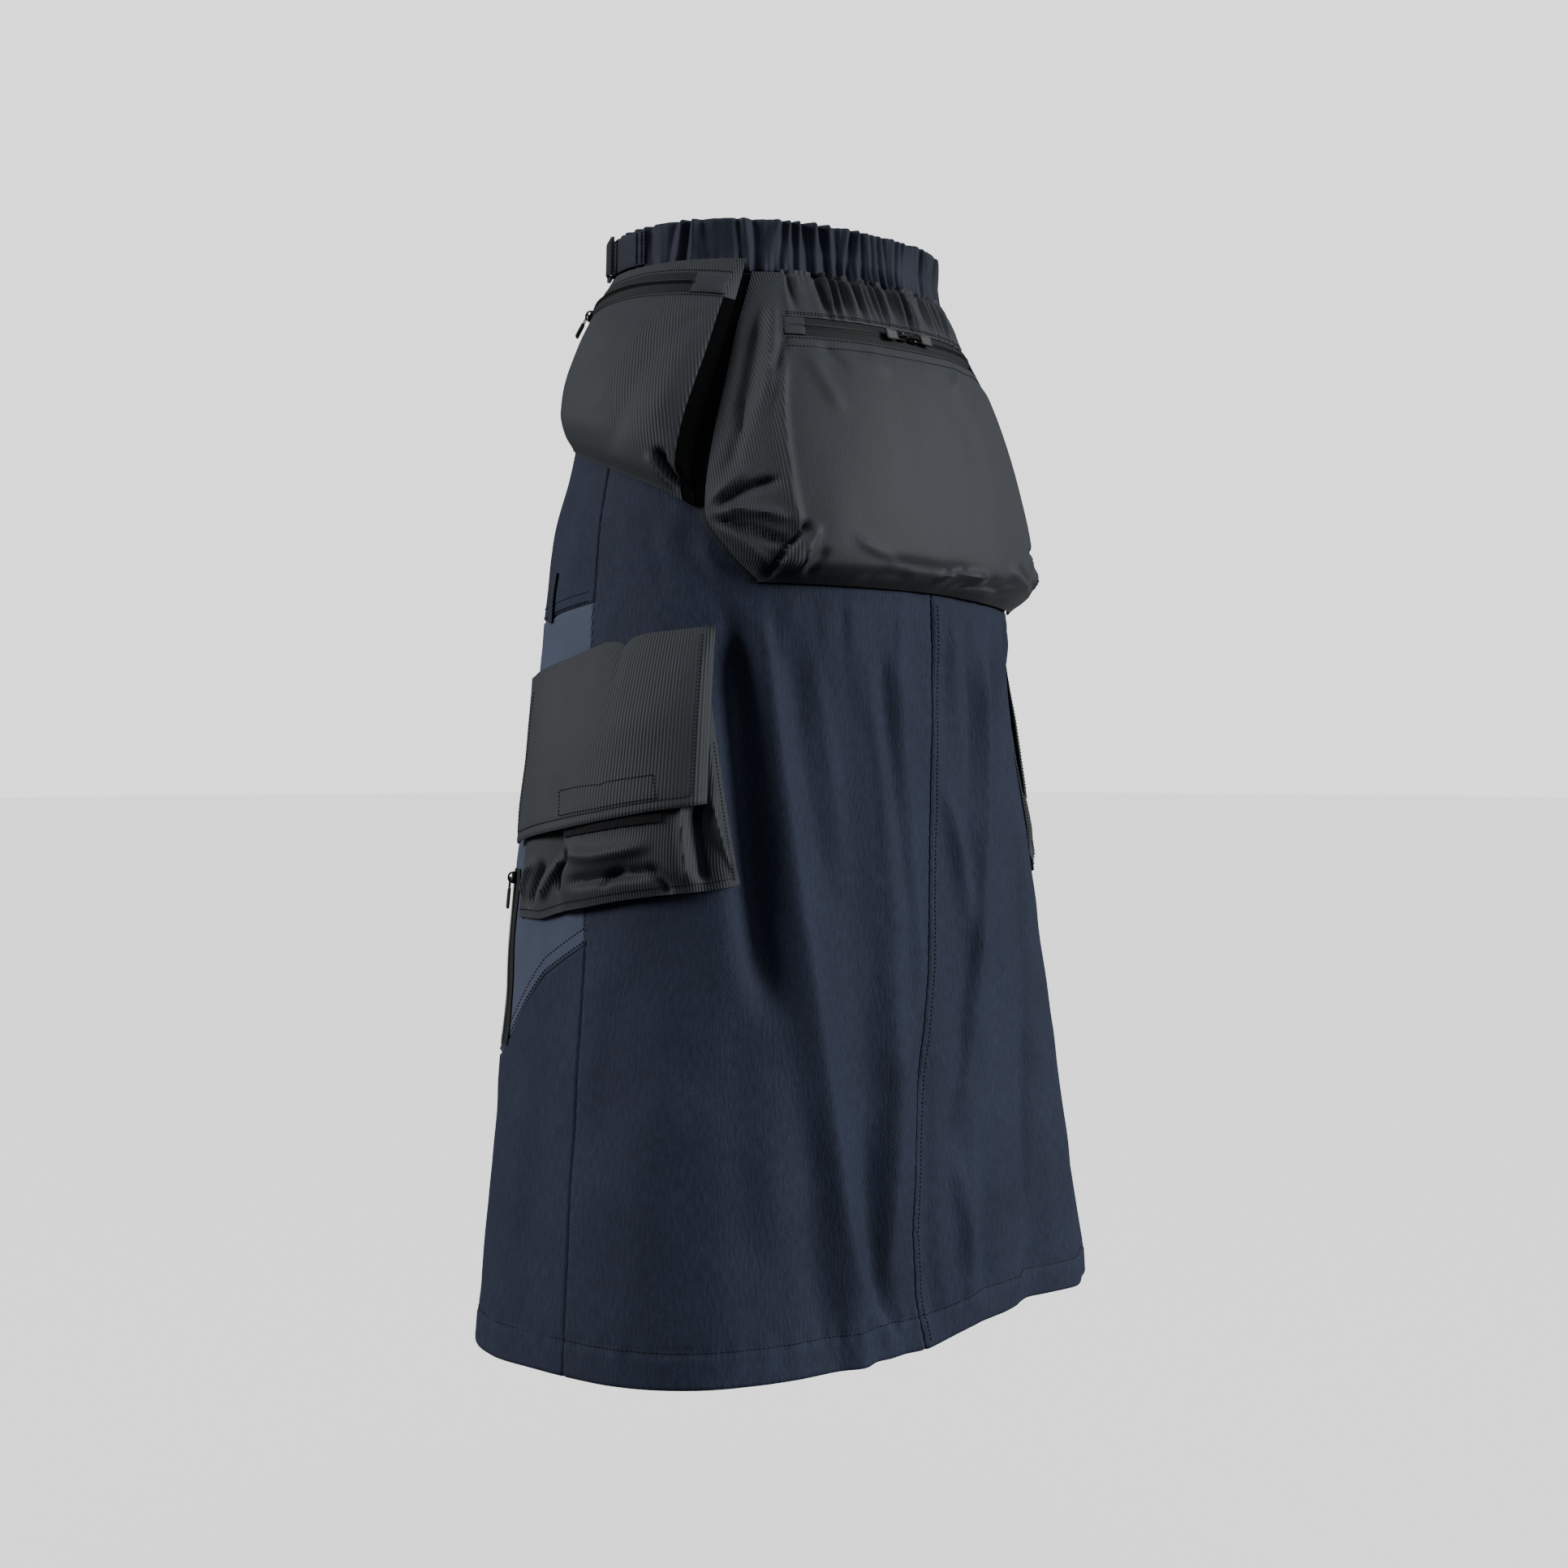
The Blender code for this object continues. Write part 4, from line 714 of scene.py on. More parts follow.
def new_piece(
    name: str, points: np.ndarray, faces: list, finishes: Sequence[Finish],
    uv: np.ndarray | None = None, slots: np.ndarray | None = None, body: str = BODY,
    smooth_angle: float = 55.0,
) -> bpy.types.Object:
    """An object that rides on a body.

    Args:
        name: its name.
        points: its points.
        faces: its faces, as tuples of point numbers.
        finishes: its finishes.
        uv: a place in metres for each point, for the weave.
        slots: the finish of each face.
        body: the body that it rides on.
        smooth_angle: edges sharper than this stay sharp.
    Returns:
        The object.
    """
    mesh = bpy.data.meshes.new(name)
    mesh.from_pydata(np.asarray(points).reshape(-1, 3).tolist(), [], faces)
    for finish in finishes:
        mesh.materials.append(finish.material())
    if slots is not None:
        mesh.polygons.foreach_set("material_index", np.asarray(slots, np.int32))
    layer = mesh.uv_layers.new(name="cloth")
    corners = np.zeros(len(mesh.loops), np.int32)
    mesh.loops.foreach_get("vertex_index", corners)
    if uv is None:
        flat = np.asarray(points).reshape(-1, 3)
        uv = np.stack((flat[:, 0] + flat[:, 1], flat[:, 2]), axis=-1)
    layer.data.foreach_set("uv", np.asarray(uv, float)[corners].reshape(-1))
    mesh.polygons.foreach_set("use_smooth", np.ones(len(mesh.polygons), bool))
    mesh.set_sharp_from_angle(angle=math.radians(smooth_angle))
    mesh.update()
    piece = bpy.data.objects.new(name, mesh)
    bpy.context.scene.collection.objects.link(piece)
    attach(piece, body)
    return piece


def cloth_uv(points: np.ndarray) -> np.ndarray:
    """Places in metres along a grid's columns and rows, measured over the cloth.

    Args:
        points: rows by columns by 3.
    Returns:
        rows by columns by 2.
    """
    across = np.linalg.norm(np.diff(points, axis=1), axis=-1)
    down = np.linalg.norm(np.diff(points, axis=0), axis=-1)
    u = np.concatenate((np.zeros((len(points), 1)), np.cumsum(across, axis=1)), axis=1)
    u -= u[:, u.shape[1] // 2][:, None]
    v = np.concatenate((np.zeros((1, points.shape[1])), np.cumsum(down, axis=0)), axis=0)
    v = np.broadcast_to(v.mean(axis=1)[:, None], u.shape)
    return np.stack((u, -v), axis=-1)


def cloth_wall(
    name: str, outer: np.ndarray, wall: float | np.ndarray, finishes: Sequence[Finish],
    closed: bool = False, kept: np.ndarray | None = None, slots: np.ndarray | None = None,
    uv: np.ndarray | None = None,
) -> bpy.types.Object:
    """A thin closed wall of cloth under a grid of outer points.

    Args:
        name: the object's name.
        outer: rows by columns by 3.
        wall: its thickness in millimetres, one number or one for each row.
        finishes: its finishes.
        closed: the last column joins the first.
        kept: which cells are in it, rows - 1 by spans.
        slots: the finish of each cell.
        uv: places for the weave, worked out where not given.
    Returns:
        The object.
    """
    rows, columns = outer.shape[:2]
    spans = columns if closed else columns - 1
    normals = grid_normals(outer, closed)
    thick = np.broadcast_to(np.asarray(wall, float), (rows,))[:, None, None] * MM
    inner = outer - normals * thick
    uv = cloth_uv(outer) if uv is None else uv
    if kept is None:
        kept = np.ones((rows - 1, spans), bool)
    number = np.arange(rows * columns).reshape(rows, columns)
    i, j = np.nonzero(kept)
    k = (j + 1) % columns
    a, b, c, d = number[i, j], number[i, k], number[i + 1, k], number[i + 1, j]
    front = np.stack((a, b, c, d), axis=-1)
    count = rows * columns
    mid = len(i) // 2
    probe = np.cross(
        outer.reshape(-1, 3)[b[mid]] - outer.reshape(-1, 3)[a[mid]],
        outer.reshape(-1, 3)[d[mid]] - outer.reshape(-1, 3)[a[mid]],
    )
    if probe @ normals.reshape(-1, 3)[a[mid]] < 0.0:
        front = front[:, ::-1]
    back = front[:, ::-1] + count
    edge_from = front.reshape(-1)
    edge_to = np.roll(front, -1, axis=1).reshape(-1)
    key = edge_from.astype(np.int64) * count + edge_to
    twin = edge_to.astype(np.int64) * count + edge_from
    free = ~np.isin(key, twin)
    one, two = edge_from[free], edge_to[free]
    rim = np.stack((two, one, one + count, two + count), axis=-1)
    faces = np.concatenate((front, back, rim))
    used = np.unique(faces)
    renumber = np.zeros(2 * count, int)
    renumber[used] = np.arange(len(used))
    points = np.concatenate((outer.reshape(-1, 3), inner.reshape(-1, 3)))[used]
    places = np.concatenate((uv.reshape(-1, 2), uv.reshape(-1, 2)))[used]
    face_slots = None
    if slots is not None:
        per = np.asarray(slots)[i, j]
        face_slots = np.concatenate((per, per, np.zeros(len(rim), int)))
    return new_piece(name, points, renumber[faces].tolist(), finishes, places, face_slots)


@dataclass(frozen=True)
class Seamstress:
    """Rows of stitches laid on cloth."""

    figure: Figure
    pitch: float = 3.1
    length: float = 2.1
    radius: float = 0.36
    # along the stitch, its fullness and its height there
    shape: tuple[tuple[float, float, float], ...] = (
        (-1.0, 0.0, -0.5), (-0.55, 1.0, 0.7), (0.55, 1.0, 0.7), (1.0, 0.0, -0.5),
    )

    def row(
        self, line: np.ndarray, out: np.ndarray, pitch: float | None = None,
        length: float | None = None,
    ) -> Mesh:
        """One row of stitches.

        Args:
            line: points along the row, in metres.
            out: the outward direction at each point.
            pitch: millimetres from stitch to stitch.
            length: millimetres of a stitch.
        Returns:
            Points and faces.
        """
        pitch = (pitch or self.pitch) * MM
        half = (length or self.length) / 2.0 * MM
        run = np.concatenate(([0.0], np.cumsum(np.linalg.norm(np.diff(line, axis=0), axis=1))))
        count = max(1, int(run[-1] / pitch))
        middles = (np.arange(count) + 0.5) * run[-1] / count
        centre = np.stack([np.interp(middles, run, line[:, n]) for n in range(3)], axis=-1)
        ahead = np.stack([np.interp(middles + 1e-3, run, line[:, n]) for n in range(3)], axis=-1)
        behind = np.stack([np.interp(middles - 1e-3, run, line[:, n]) for n in range(3)], axis=-1)
        normal = np.stack([np.interp(middles, run, out[:, n]) for n in range(3)], axis=-1)
        along = ahead - behind
        along /= np.maximum(np.linalg.norm(along, axis=1, keepdims=True), 1e-9)
        side = np.cross(along, normal)
        r = self.radius * MM
        points, faces = [], []
        for n in range(count):
            base = len(points)
            for step, size, lift in self.shape:
                middle = centre[n] + along[n] * (half * step) + normal[n] * (r * lift)
                if size == 0.0:
                    points.append(middle)
                    continue
                for x, y in ((1.0, 0.0), (0.0, 1.0), (-1.0, 0.0), (0.0, -1.0)):
                    points.append(middle + side[n] * (r * x) + normal[n] * (r * y))
            for q in range(4):
                p = (q + 1) % 4
                faces.append((base, base + 1 + p, base + 1 + q))
                faces.append((base + 1 + q, base + 1 + p, base + 5 + p, base + 5 + q))
                faces.append((base + 9, base + 5 + q, base + 5 + p))
        return np.array(points), faces

    def sew(
        self, name: str, rows: Rows, pitch: float | None = None, length: float | None = None,
    ) -> bpy.types.Object:
        """Several rows of stitches as one piece.

        Args:
            name: the piece's name.
            rows: for each row its points and outward directions.
            pitch: millimetres from stitch to stitch.
            length: millimetres of a stitch.
        Returns:
            The piece.
        """
        points, faces, base = [], [], 0
        for line, out in rows:
            row_points, row_faces = self.row(line, out, pitch, length)
            points.append(row_points)
            faces += [tuple(v + base for v in face) for face in row_faces]
            base += len(row_points)
        return new_piece(name, np.concatenate(points), faces, (THREAD,))


def directions(points: np.ndarray, centre: tuple[float, float] = (0.0, 0.0)) -> np.ndarray:
    """Level outward directions at points, from a middle line."""
    out = points * np.array([1.0, 1.0, 0.0]) - np.array([centre[0], centre[1], 0.0])
    return out / np.maximum(np.linalg.norm(out, axis=-1, keepdims=True), 1e-9)


def tube(path: np.ndarray, radius: float, sides: int, closed: bool) -> Mesh:
    """A round wire along a path.

    Args:
        path: points in metres.
        radius: millimetres.
        sides: sides of its section.
        closed: its end joins its start.
    Returns:
        Points and faces.
    """
    count = len(path)
    if closed:
        tangent = np.roll(path, -1, axis=0) - np.roll(path, 1, axis=0)
    else:
        tangent = np.gradient(path, axis=0)
    tangent /= np.linalg.norm(tangent, axis=1, keepdims=True)
    middle = path.mean(axis=0)
    flat = np.cross(tangent[0], tangent[count // 4])
    if np.linalg.norm(flat) < 1e-6:
        flat = np.cross(tangent[0], path[0] - middle + np.array([0.0, 0.0, 1e-3]))
    flat /= np.linalg.norm(flat)
    points, faces = [], []
    for n in range(count):
        side = np.cross(tangent[n], flat)
        side /= np.linalg.norm(side)
        up = np.cross(side, tangent[n])
        for q in range(sides):
            turn = 2.0 * math.pi * q / sides
            points.append(path[n] + (side * math.cos(turn) + up * math.sin(turn)) * radius * MM)
    for n in range(count if closed else count - 1):
        m = (n + 1) % count
        for q in range(sides):
            p = (q + 1) % sides
            faces.append((n * sides + q, n * sides + p, m * sides + p, m * sides + q))
    if not closed:
        faces.append(tuple(range(sides - 1, -1, -1)))
        faces.append(tuple((count - 1) * sides + q for q in range(sides)))
    return np.array(points), faces


@dataclass(frozen=True)
class Seat:
    """Where a small hard piece sits: its origin and three directions."""

    origin: np.ndarray
    along: np.ndarray
    across: np.ndarray
    out: np.ndarray

    def place(self, x: float, y: float, z: float) -> np.ndarray:
        """Point x along, y across and z out, in millimetres."""
        return self.origin + (self.along * x + self.across * y + self.out * z) * MM


def rounded_slab(seat: Seat, outline: Outline, low: float, high: float, bevel: float) -> Mesh:
    """A slab with softened edges over an outline.

    Args:
        seat: where it sits.
        outline: its corners, x along and y across in millimetres, in order.
        low: millimetres out of its under face.
        high: millimetres out of its upper face.
        bevel: millimetres of its edges.
    Returns:
        Points and faces.
    """
    shape = np.array(outline)
    middle = shape.mean(axis=0)
    points, faces = [], []
    levels = ((low, bevel), (low + bevel, 0.0), (high - bevel, 0.0), (high, bevel))
    for level, inset in levels:
        for x, y in shape:
            gap = np.array([x, y]) - middle
            size = np.linalg.norm(gap)
            x2, y2 = middle + gap * max(0.0, 1.0 - inset / size)
            points.append(seat.place(x2, y2, level))
    count = len(shape)
    for row in range(3):
        for n in range(count):
            m = (n + 1) % count
            low, high = row * count, (row + 1) * count
            faces.append((low + n, low + m, high + m, high + n))
    faces.append(tuple(range(count - 1, -1, -1)))
    faces.append(tuple(3 * count + n for n in range(count)))
    return np.array(points), faces


def rounded_outline(
    x0: float, x1: float, half: float, radius: float, taper: float = 1.0,
) -> Outline:
    """A rectangle with round corners, narrower by taper at x0.

    Args:
        x0: start along.
        x1: end along.
        half: half its width.
        radius: radius of its corners.
        taper: share of the width that is left at x0.
    Returns:
        Its corners in order.
    """
    out = []
    near, far, rise = x0 + radius, x1 - radius, half - radius
    for cx, cy, start in ((far, rise, 0), (near, rise, 90), (near, -rise, 180), (far, -rise, 270)):
        for step in range(5):
            turn = math.radians(start + 22.5 * step)
            x, y = cx + radius * math.cos(turn), cy + radius * math.sin(turn)
            share = (x - x0) / (x1 - x0)
            out.append((x, y * lerp(taper, 1.0, share)))
    return out


def joined(parts: Sequence[Mesh]) -> Mesh:
    """Several sets of points and faces as one."""
    points, faces, base = [], [], 0
    for part_points, part_faces in parts:
        points.append(part_points)
        faces += [tuple(v + base for v in face) for face in part_faces]
        base += len(part_points)
    return np.concatenate(points), faces


# ----------------------------------------
# Panels of the skirt
# ----------------------------------------

CLOTH = 1.1
LAP = 5.0
TUCK = 1.7
FIGURE = Figure()


def tucked(distance: np.ndarray, depth: float = TUCK, run: float = 2.6) -> np.ndarray:
    """Drop of a cloth edge that goes under its neighbour, from the distance to the seam."""
    return -depth * (1.0 - smoothstep(distance / run))


def rolled(distance: np.ndarray, depth: float = 0.8, run: float = 1.1) -> np.ndarray:
    """Drop of a cloth edge that lies over its neighbour, from the distance to the seam."""
    return -depth * np.exp(-(np.maximum(distance, 0.0) / run) ** 2)


def stretches(ends: Sequence[float], counts: Sequence[int]) -> np.ndarray:
    """Places from the first end to the last, with its own number of steps in each stretch."""
    parts = [np.linspace(a, b, n + 1)[:-1] for a, b, n in zip(ends, ends[1:], counts)]
    return np.concatenate((*parts, [ends[-1]]))


def spaced(
    length: float, step: float, before: float = 0.0, after: float = 0.0, close: bool = True,
) -> np.ndarray:
    """Shares of a length with closer steps beside its seams.

    Args:
        length: millimetres.
        step: millimetres between the middle steps.
        before: millimetres that it runs on before its start.
        after: millimetres that it runs on past its end.
        close: whether the ends get closer steps.
    Returns:
        Shares from about 0 to 1.
    """
    lips = (0.0, 0.7, 1.5, 2.6, 4.2) if close else (0.0,)
    first, last = lips[-1], length - lips[-1]
    middle = np.linspace(first, last, max(2, int(round((last - first) / step)) + 1))
    places = [-before] * (before > 0.0) + list(lips[:-1]) + list(middle)
    places += [length - lip for lip in reversed(lips[:-1])] + [length + after] * (after > 0.0)
    return np.array(places) / length


# Main creases of the left back panel and its seams' neighbours.
BACK_CREASES = (
    Crease((
        (40, -262), (42, -293), (44, -337), (47, -404), (50, -488), (55, -625), (57, -686),
        (60, -727), (64, -751), (72, -782),
    ), 6.0, 3.2, 0.7, 0.08),
    Crease(((34, -262), (35, -320), (38, -404), (40, -470), (44, -540)), 13.0, -6.0, 1.0, 0.2),
    Crease(((46, -262), (49, -330), (53, -410), (58, -500)), 9.0, -3.0, 1.0, 0.3),
    Crease(((52, -255), (54, -310), (58, -380), (62, -470)), 6.0, 1.6, 1.0, 0.3),
    Crease(((60, -255), (62, -300), (65, -360)), 6.0, -1.6, 1.0, 0.4),
    Crease(((67, -255), (69, -310), (72, -380), (73, -460)), 6.0, 1.8, 1.0, 0.3),
    Crease(((72, -255), (74, -330), (77, -420), (78, -500)), 7.0, -2.6, 0.8, 0.3),
    Crease((
        (78, -258), (80, -340), (82, -430), (82, -522), (78, -560), (74, -600),
    ), 6.5, 3.0, 0.8, 0.15),
    Crease(((74, -560), (73, -621), (68, -700), (66, -740)), 8.0, 3.0, 0.8, 0.2),
    Crease(((64, -600), (63, -680), (66, -740), (70, -783)), 10.0, -4.0, 1.0, 0.2),
    Crease(((87, -255), (88, -300), (88, -360)), 5.0, -1.5, 1.0, 0.4),
    Crease(((98, -255), (98, -320), (97, -390)), 6.0, -1.6, 1.0, 0.35),
    Crease(((96, -380), (98, -405), (101, -440), (103, -481)), 6.0, 3.0, 0.8, 0.35),
    Crease(((104, -258), (104, -320), (105, -400)), 6.0, 1.8, 1.0, 0.3),
    Crease(((111, -258), (109, -330), (106, -400)), 6.0, -2.0, 1.0, 0.3),
    Crease((
        (117, -262), (115, -340), (113, -406), (109, -451), (104, -511), (100, -555),
        (97, -599), (91, -640),
    ), 6.5, 3.4, 1.2, 0.12),
    Crease(((91, -640), (93, -688), (95, -730), (96, -775)), 7.0, 2.6, 1.0, 0.2),
    Crease(((84, -560), (81, -640), (80, -720), (83, -783)), 9.0, -3.0, 1.0, 0.2),
    Crease(((104, -560), (101, -640), (101, -720), (103, -783)), 12.0, -4.0, 1.0, 0.2),
    Crease(((124, -258), (122, -340), (119, -430), (115, -520), (111, -620)), 9.0, -3.5, 1.0, 0.2),
    Crease((
        (131, -258), (129, -330), (127, -420), (124, -520), (118, -640), (114, -783),
    ), 8.0, 2.8, 0.9, 0.15),
    Crease(((140, -280), (138, -360), (136, -440)), 8.0, -2.5, 1.0, 0.3),
    Crease(((126, -560), (122, -650), (119, -783)), 10.0, -3.0, 1.0, 0.2),
    Crease(((133, -480), (130, -600), (127, -783)), 9.0, 2.6, 1.0, 0.2),
    Crease(((20, -200), (24, -226), (32, -262), (36, -300)), 9.0, -2.2, 1.0, 0.3),
    Crease(((13, -190), (16, -225), (20, -262)), 7.0, -1.4, 1.0, 0.3),
    Crease(((6, -182), (8, -220), (9, -270)), 8.0, 1.0, 1.0, 0.3),
    Crease(((26, -210), (30, -240), (37, -275)), 5.0, 1.5, 1.0, 0.3),
    Crease(((26, -490), (24, -560), (22, -640), (20, -783)), 16.0, 1.8, 1.0, 0.25),
    Crease(((14, -500), (13, -580), (12, -660)), 14.0, -1.4, 1.0, 0.3),
    Crease(((40, -470), (36, -560), (36, -660), (40, -783)), 16.0, -2.2, 1.0, 0.25),
    Crease(((45, -560), (42, -640), (42, -720)), 12.0, 1.4, 1.0, 0.3),
    Crease(((50, -600), (49, -690), (52, -783)), 12.0, -2.2, 1.0, 0.25),
)
FRONT_CREASES = (
    Crease(((-8, -165), (-9, -210), (-10, -256)), 9.0, 1.6, 1.0, 0.3),
    Crease(((-14, -160), (-16, -205), (-17, -260)), 8.0, -1.8, 1.0, 0.3),
    Crease(((-24, -160), (-27, -230), (-30, -330), (-31, -430)), 10.0, 2.2, 1.0, 0.25),
    Crease(((-34, -150), (-38, -240), (-42, -380), (-44, -520)), 10.0, -3.0, 1.0, 0.25),
    Crease(((-48, -140), (-50, -240), (-52, -400), (-53, -560)), 9.0, 2.4, 1.0, 0.25),
    Crease(((-62, -110), (-64, -220), (-66, -340)), 8.0, -2.2, 1.0, 0.3),
    Crease(((-76, -90), (-79, -220), (-80, -400), (-78, -620)), 9.0, 2.4, 1.0, 0.2),
    Crease(((-88, -60), (-89, -180), (-91, -320)), 8.0, -2.0, 1.0, 0.3),
    Crease(((-98, -60), (-100, -200), (-101, -380), (-99, -600)), 10.0, 2.2, 1.0, 0.25),
    Crease(((-9, -520), (-8, -600), (-9, -690), (-10, -783)), 16.0, 1.6, 1.0, 0.3),
    Crease(((-4, -560), (-2, -640), (-2, -783)), 14.0, -1.4, 1.0, 0.3),
    Crease(((-24, -600), (-26, -690), (-28, -783)), 14.0, -2.6, 1.0, 0.25),
    Crease(((-40, -600), (-42, -690), (-44, -783)), 12.0, 2.6, 1.0, 0.25),
    Crease(((-60, -600), (-62, -690), (-64, -783)), 14.0, -2.6, 1.0, 0.25),
    Crease(((-86, -600), (-84, -690), (-82, -783)), 14.0, 2.4, 1.0, 0.25),
    Crease(((-108, -600), (-112, -690), (-114, -783)), 14.0, -2.6, 1.0, 0.25),
    Crease(((-128, -590), (-132, -690), (-134, -783)), 12.0, 2.6, 1.0, 0.25),
    Crease(((-120, -110), (-118, -240), (-115, -400)), 9.0, -2.4, 1.0, 0.25),
    Crease(((-136, -130), (-134, -260), (-130, -420), (-128, -560)), 10.0, 2.4, 1.0, 0.25),
    Crease(((-152, -150), (-150, -250), (-146, -400)), 9.0, -2.4, 1.0, 0.25),
    Crease(((-165, -160), (-163, -210), (-160, -300)), 9.0, 1.8, 1.0, 0.3),
)


def seam_fan(
    seed: int, first: float, last: float, top: float, count: int, longest: float,
) -> list[Crease]:
    """Short puckers that run down from a gathered seam, uneven in length and height.

    Args:
        seed: seed of the unevenness.
        first: angle of the first one.
        last: angle of the last one.
        top: height of the seam.
        count: how many.
        longest: greatest length in millimetres.
    Returns:
        The creases.
    """
    pick = random.Random(seed)
    out = []
    for n in range(count):
        angle = lerp(first, last, (n + pick.uniform(0.2, 0.8)) / count)
        reach = pick.uniform(0.3, 1.0) * longest
        lean = pick.uniform(-1.5, 1.5)
        height = (1.0 if n % 2 else -1.0) * pick.uniform(0.5, 1.25)
        out.append(Crease(
            ((angle, top + 3.0), (angle + lean * 0.5, top - reach * 0.5), (angle + lean, top - reach)),
            pick.uniform(3.2, 5.5), height, 1.0, 0.45,
        ))
    return out


@dataclass
class Shell:
    """The navy panels, their seams and hem."""

    step: float = 3.3
    wall: float = CLOTH
    hem_wall: float = 2.3
    pucker_height: float = 0.35
    pucker_length: float = 8.5
    flat_front_top: tuple[float, float] = (0.54, 0.235)
    flat_front_mid: tuple[float, float] = (0.68, 0.285)
    flat_front_low: tuple[float, float] = (0.58, 0.285)
    flat_back: tuple[float, float] = (0.37, 0.58)
    stitches: Seamstress = field(default_factory=lambda: Seamstress(FIGURE))

    def __post_init__(self) -> None:
        """Gathers the creases of all sides."""
        right = mirrored_creases([c for c in BACK_CREASES if c.path[0][0] < 50.0], 90.0, 11)
        self.creases = list(BACK_CREASES) + list(FRONT_CREASES) + right
        self.creases += seam_fan(3, 42.0, 146.0, -252.0, 26, 95.0)
        self.creases += seam_fan(5, -172.0, -8.0, -24.0, 46, 60.0)
        self.swell = Rumple(21, 9.0, 42.0, 0.9)
        self.fine = Rumple(22, 3.1, 21.0, 0.28)

    def form(self, angle: np.ndarray, z: np.ndarray) -> np.ndarray:
        """Height of creases, swell and seam puckers at places of the panels."""
        angle, z = np.broadcast_arrays(np.asarray(angle, float), np.asarray(z, float))
        height = crease_height(self.creases, FIGURE, angle, z)
        calm = smoothstep((-20.0 - z) / 60.0)
        height = height + self.swell.at(angle, z) * calm + self.fine.at(angle, z) * calm
        scale = np.radians(1.0) * FIGURE.reach(angle, z)
        back = np.exp(-(wrapped(angle - knots(BACK_SEAM, z)) * scale / 7.0) ** 2)
        ripple = np.sin(2.0 * math.pi * z / self.pucker_length + 2.0 * np.sin(z / 31.0))
        height = height + self.pucker_height * back * ripple
        for mirror in (False, True):
            seam = knots(SIDE_SEAM, z)
            seam = 180.0 - seam if mirror else seam
            side = np.exp(-(wrapped(angle - seam) * scale / 7.0) ** 2)
            height = height + 0.6 * self.pucker_height * side * ripple
        hem_ripple = np.sin(np.radians(angle) * 92.0 + 1.7 * np.sin(np.radians(angle) * 13.0))
        hem = np.exp(-((z - HEM - HEM_DEPTH) / 9.0) ** 2)
        height = height + 0.5 * hem * hem_ripple - 0.45 * np.exp(-((z - HEM - HEM_DEPTH) / 1.8) ** 2)
        height = height + 0.6 * smoothstep((HEM + HEM_DEPTH - z) / 3.0)
        return height - 1.2 * smoothstep((HEM + 2.0 - z) / 2.5)

    def line(
        self, angle: np.ndarray, z: np.ndarray, lift: float = 0.12,
    ) -> tuple[np.ndarray, np.ndarray]:
        """Points on the cloth along a line of places, and the outward directions there."""
        points = FIGURE.surface(angle, z, self.form(angle, z) + lift)
        return points, directions(points)

    def front_panel(
        self, name: str, top: Line, bottom: Line, length: float, finish: Finish, hem: bool,
    ) -> bpy.types.Object:
        """One panel of the front.

        Args:
            name: its name.
            top: height of its upper seam at an angle.
            bottom: height of its lower edge at an angle.
            length: its length in millimetres.
            finish: its finish.
            hem: whether it ends in the hem.
        Returns:
            The panel.
        """
        across = spaced(820.0, self.step, LAP, LAP)[None, :]
        down = spaced(length, self.step, LAP, 0.0)[:, None]
        z = np.full((down.size, across.size), -300.0)
        for _ in range(4):
            seam = knots(SIDE_SEAM, z)
            angle = seam + (-180.0 - 2.0 * seam) * across
            z = top(angle) + (bottom(angle) - top(angle)) * down
        lift = self.form(angle, z)
        side = np.minimum(tucked(across * 820.0), tucked((1.0 - across) * 820.0))
        lift = lift + tucked((top(angle) - z)) + side
        wall = np.full(len(z), self.wall)
        if hem:
            wall = np.where(z.mean(axis=1) < HEM + HEM_DEPTH, self.hem_wall, self.wall)
        else:
            lift = lift + rolled(z - bottom(angle))
        return cloth_wall(name, FIGURE.surface(angle, z, lift), wall, (finish,))

    def back_panel(self, name: str, side: int) -> bpy.types.Object:
        """One panel of the back, from the side seam to the centre back.

        Args:
            name: its name.
            side: 1 for the wearer's left, -1 for the right.
        Returns:
            The panel.
        """
        shift = 0.0 if side > 0 else 2.0 * BAG_MIDDLE - 180.0
        corner = BAG_EDGE[-1][1] - shift
        seam_z = -247.6 if side > 0 else -255.4
        upper = spaced(228.0, self.step, LAP, 0.0)[:-4]
        lower = spaced(536.0, self.step)
        first = spaced(130.0, self.step)[:-4]
        second = spaced(185.0, self.step, 0.0, LAP if side > 0 else 0.0)
        down = np.concatenate((upper, [1.0], 1.0 + lower[1:]))[:, None]
        across = np.concatenate((first, [1.0], 1.0 + second[1:]))[None, :]
        z = np.full((down.size, across.size), -300.0)
        above = np.clip(down, -1.0, 1.0)
        below = np.maximum(down - 1.0, 0.0)
        angle = np.broadcast_to(lerp(0.0, 90.0, across / 2.0), z.shape)
        for _ in range(4):
            sewn = knots(BAG_SEAM, angle if side > 0 else 180.0 - angle) - 0.3
            start = np.where(across <= 1.0, seam_z, sewn)
            z = lerp(-19.8, start, above)
            z = np.where(below > 0.0, start + (HEM - start) * below, z)
            centre = knots(BACK_SEAM, z)
            centre = centre if side > 0 else 180.0 - centre
            edge = np.where(below > 0.0, corner, knots(BAG_EDGE, z) - shift + 1.6 * (1.0 - above))
            inner = lerp(knots(SIDE_SEAM, z), edge, np.minimum(across, 1.0))
            angle = np.where(across <= 1.0, inner, lerp(corner, centre, across - 1.0))
        place = angle if side > 0 else 180.0 - angle
        scale = np.radians(1.0) * FIGURE.reach(place, z)
        from_side = (angle - knots(SIDE_SEAM, z)) * scale
        centre = knots(BACK_SEAM, z)
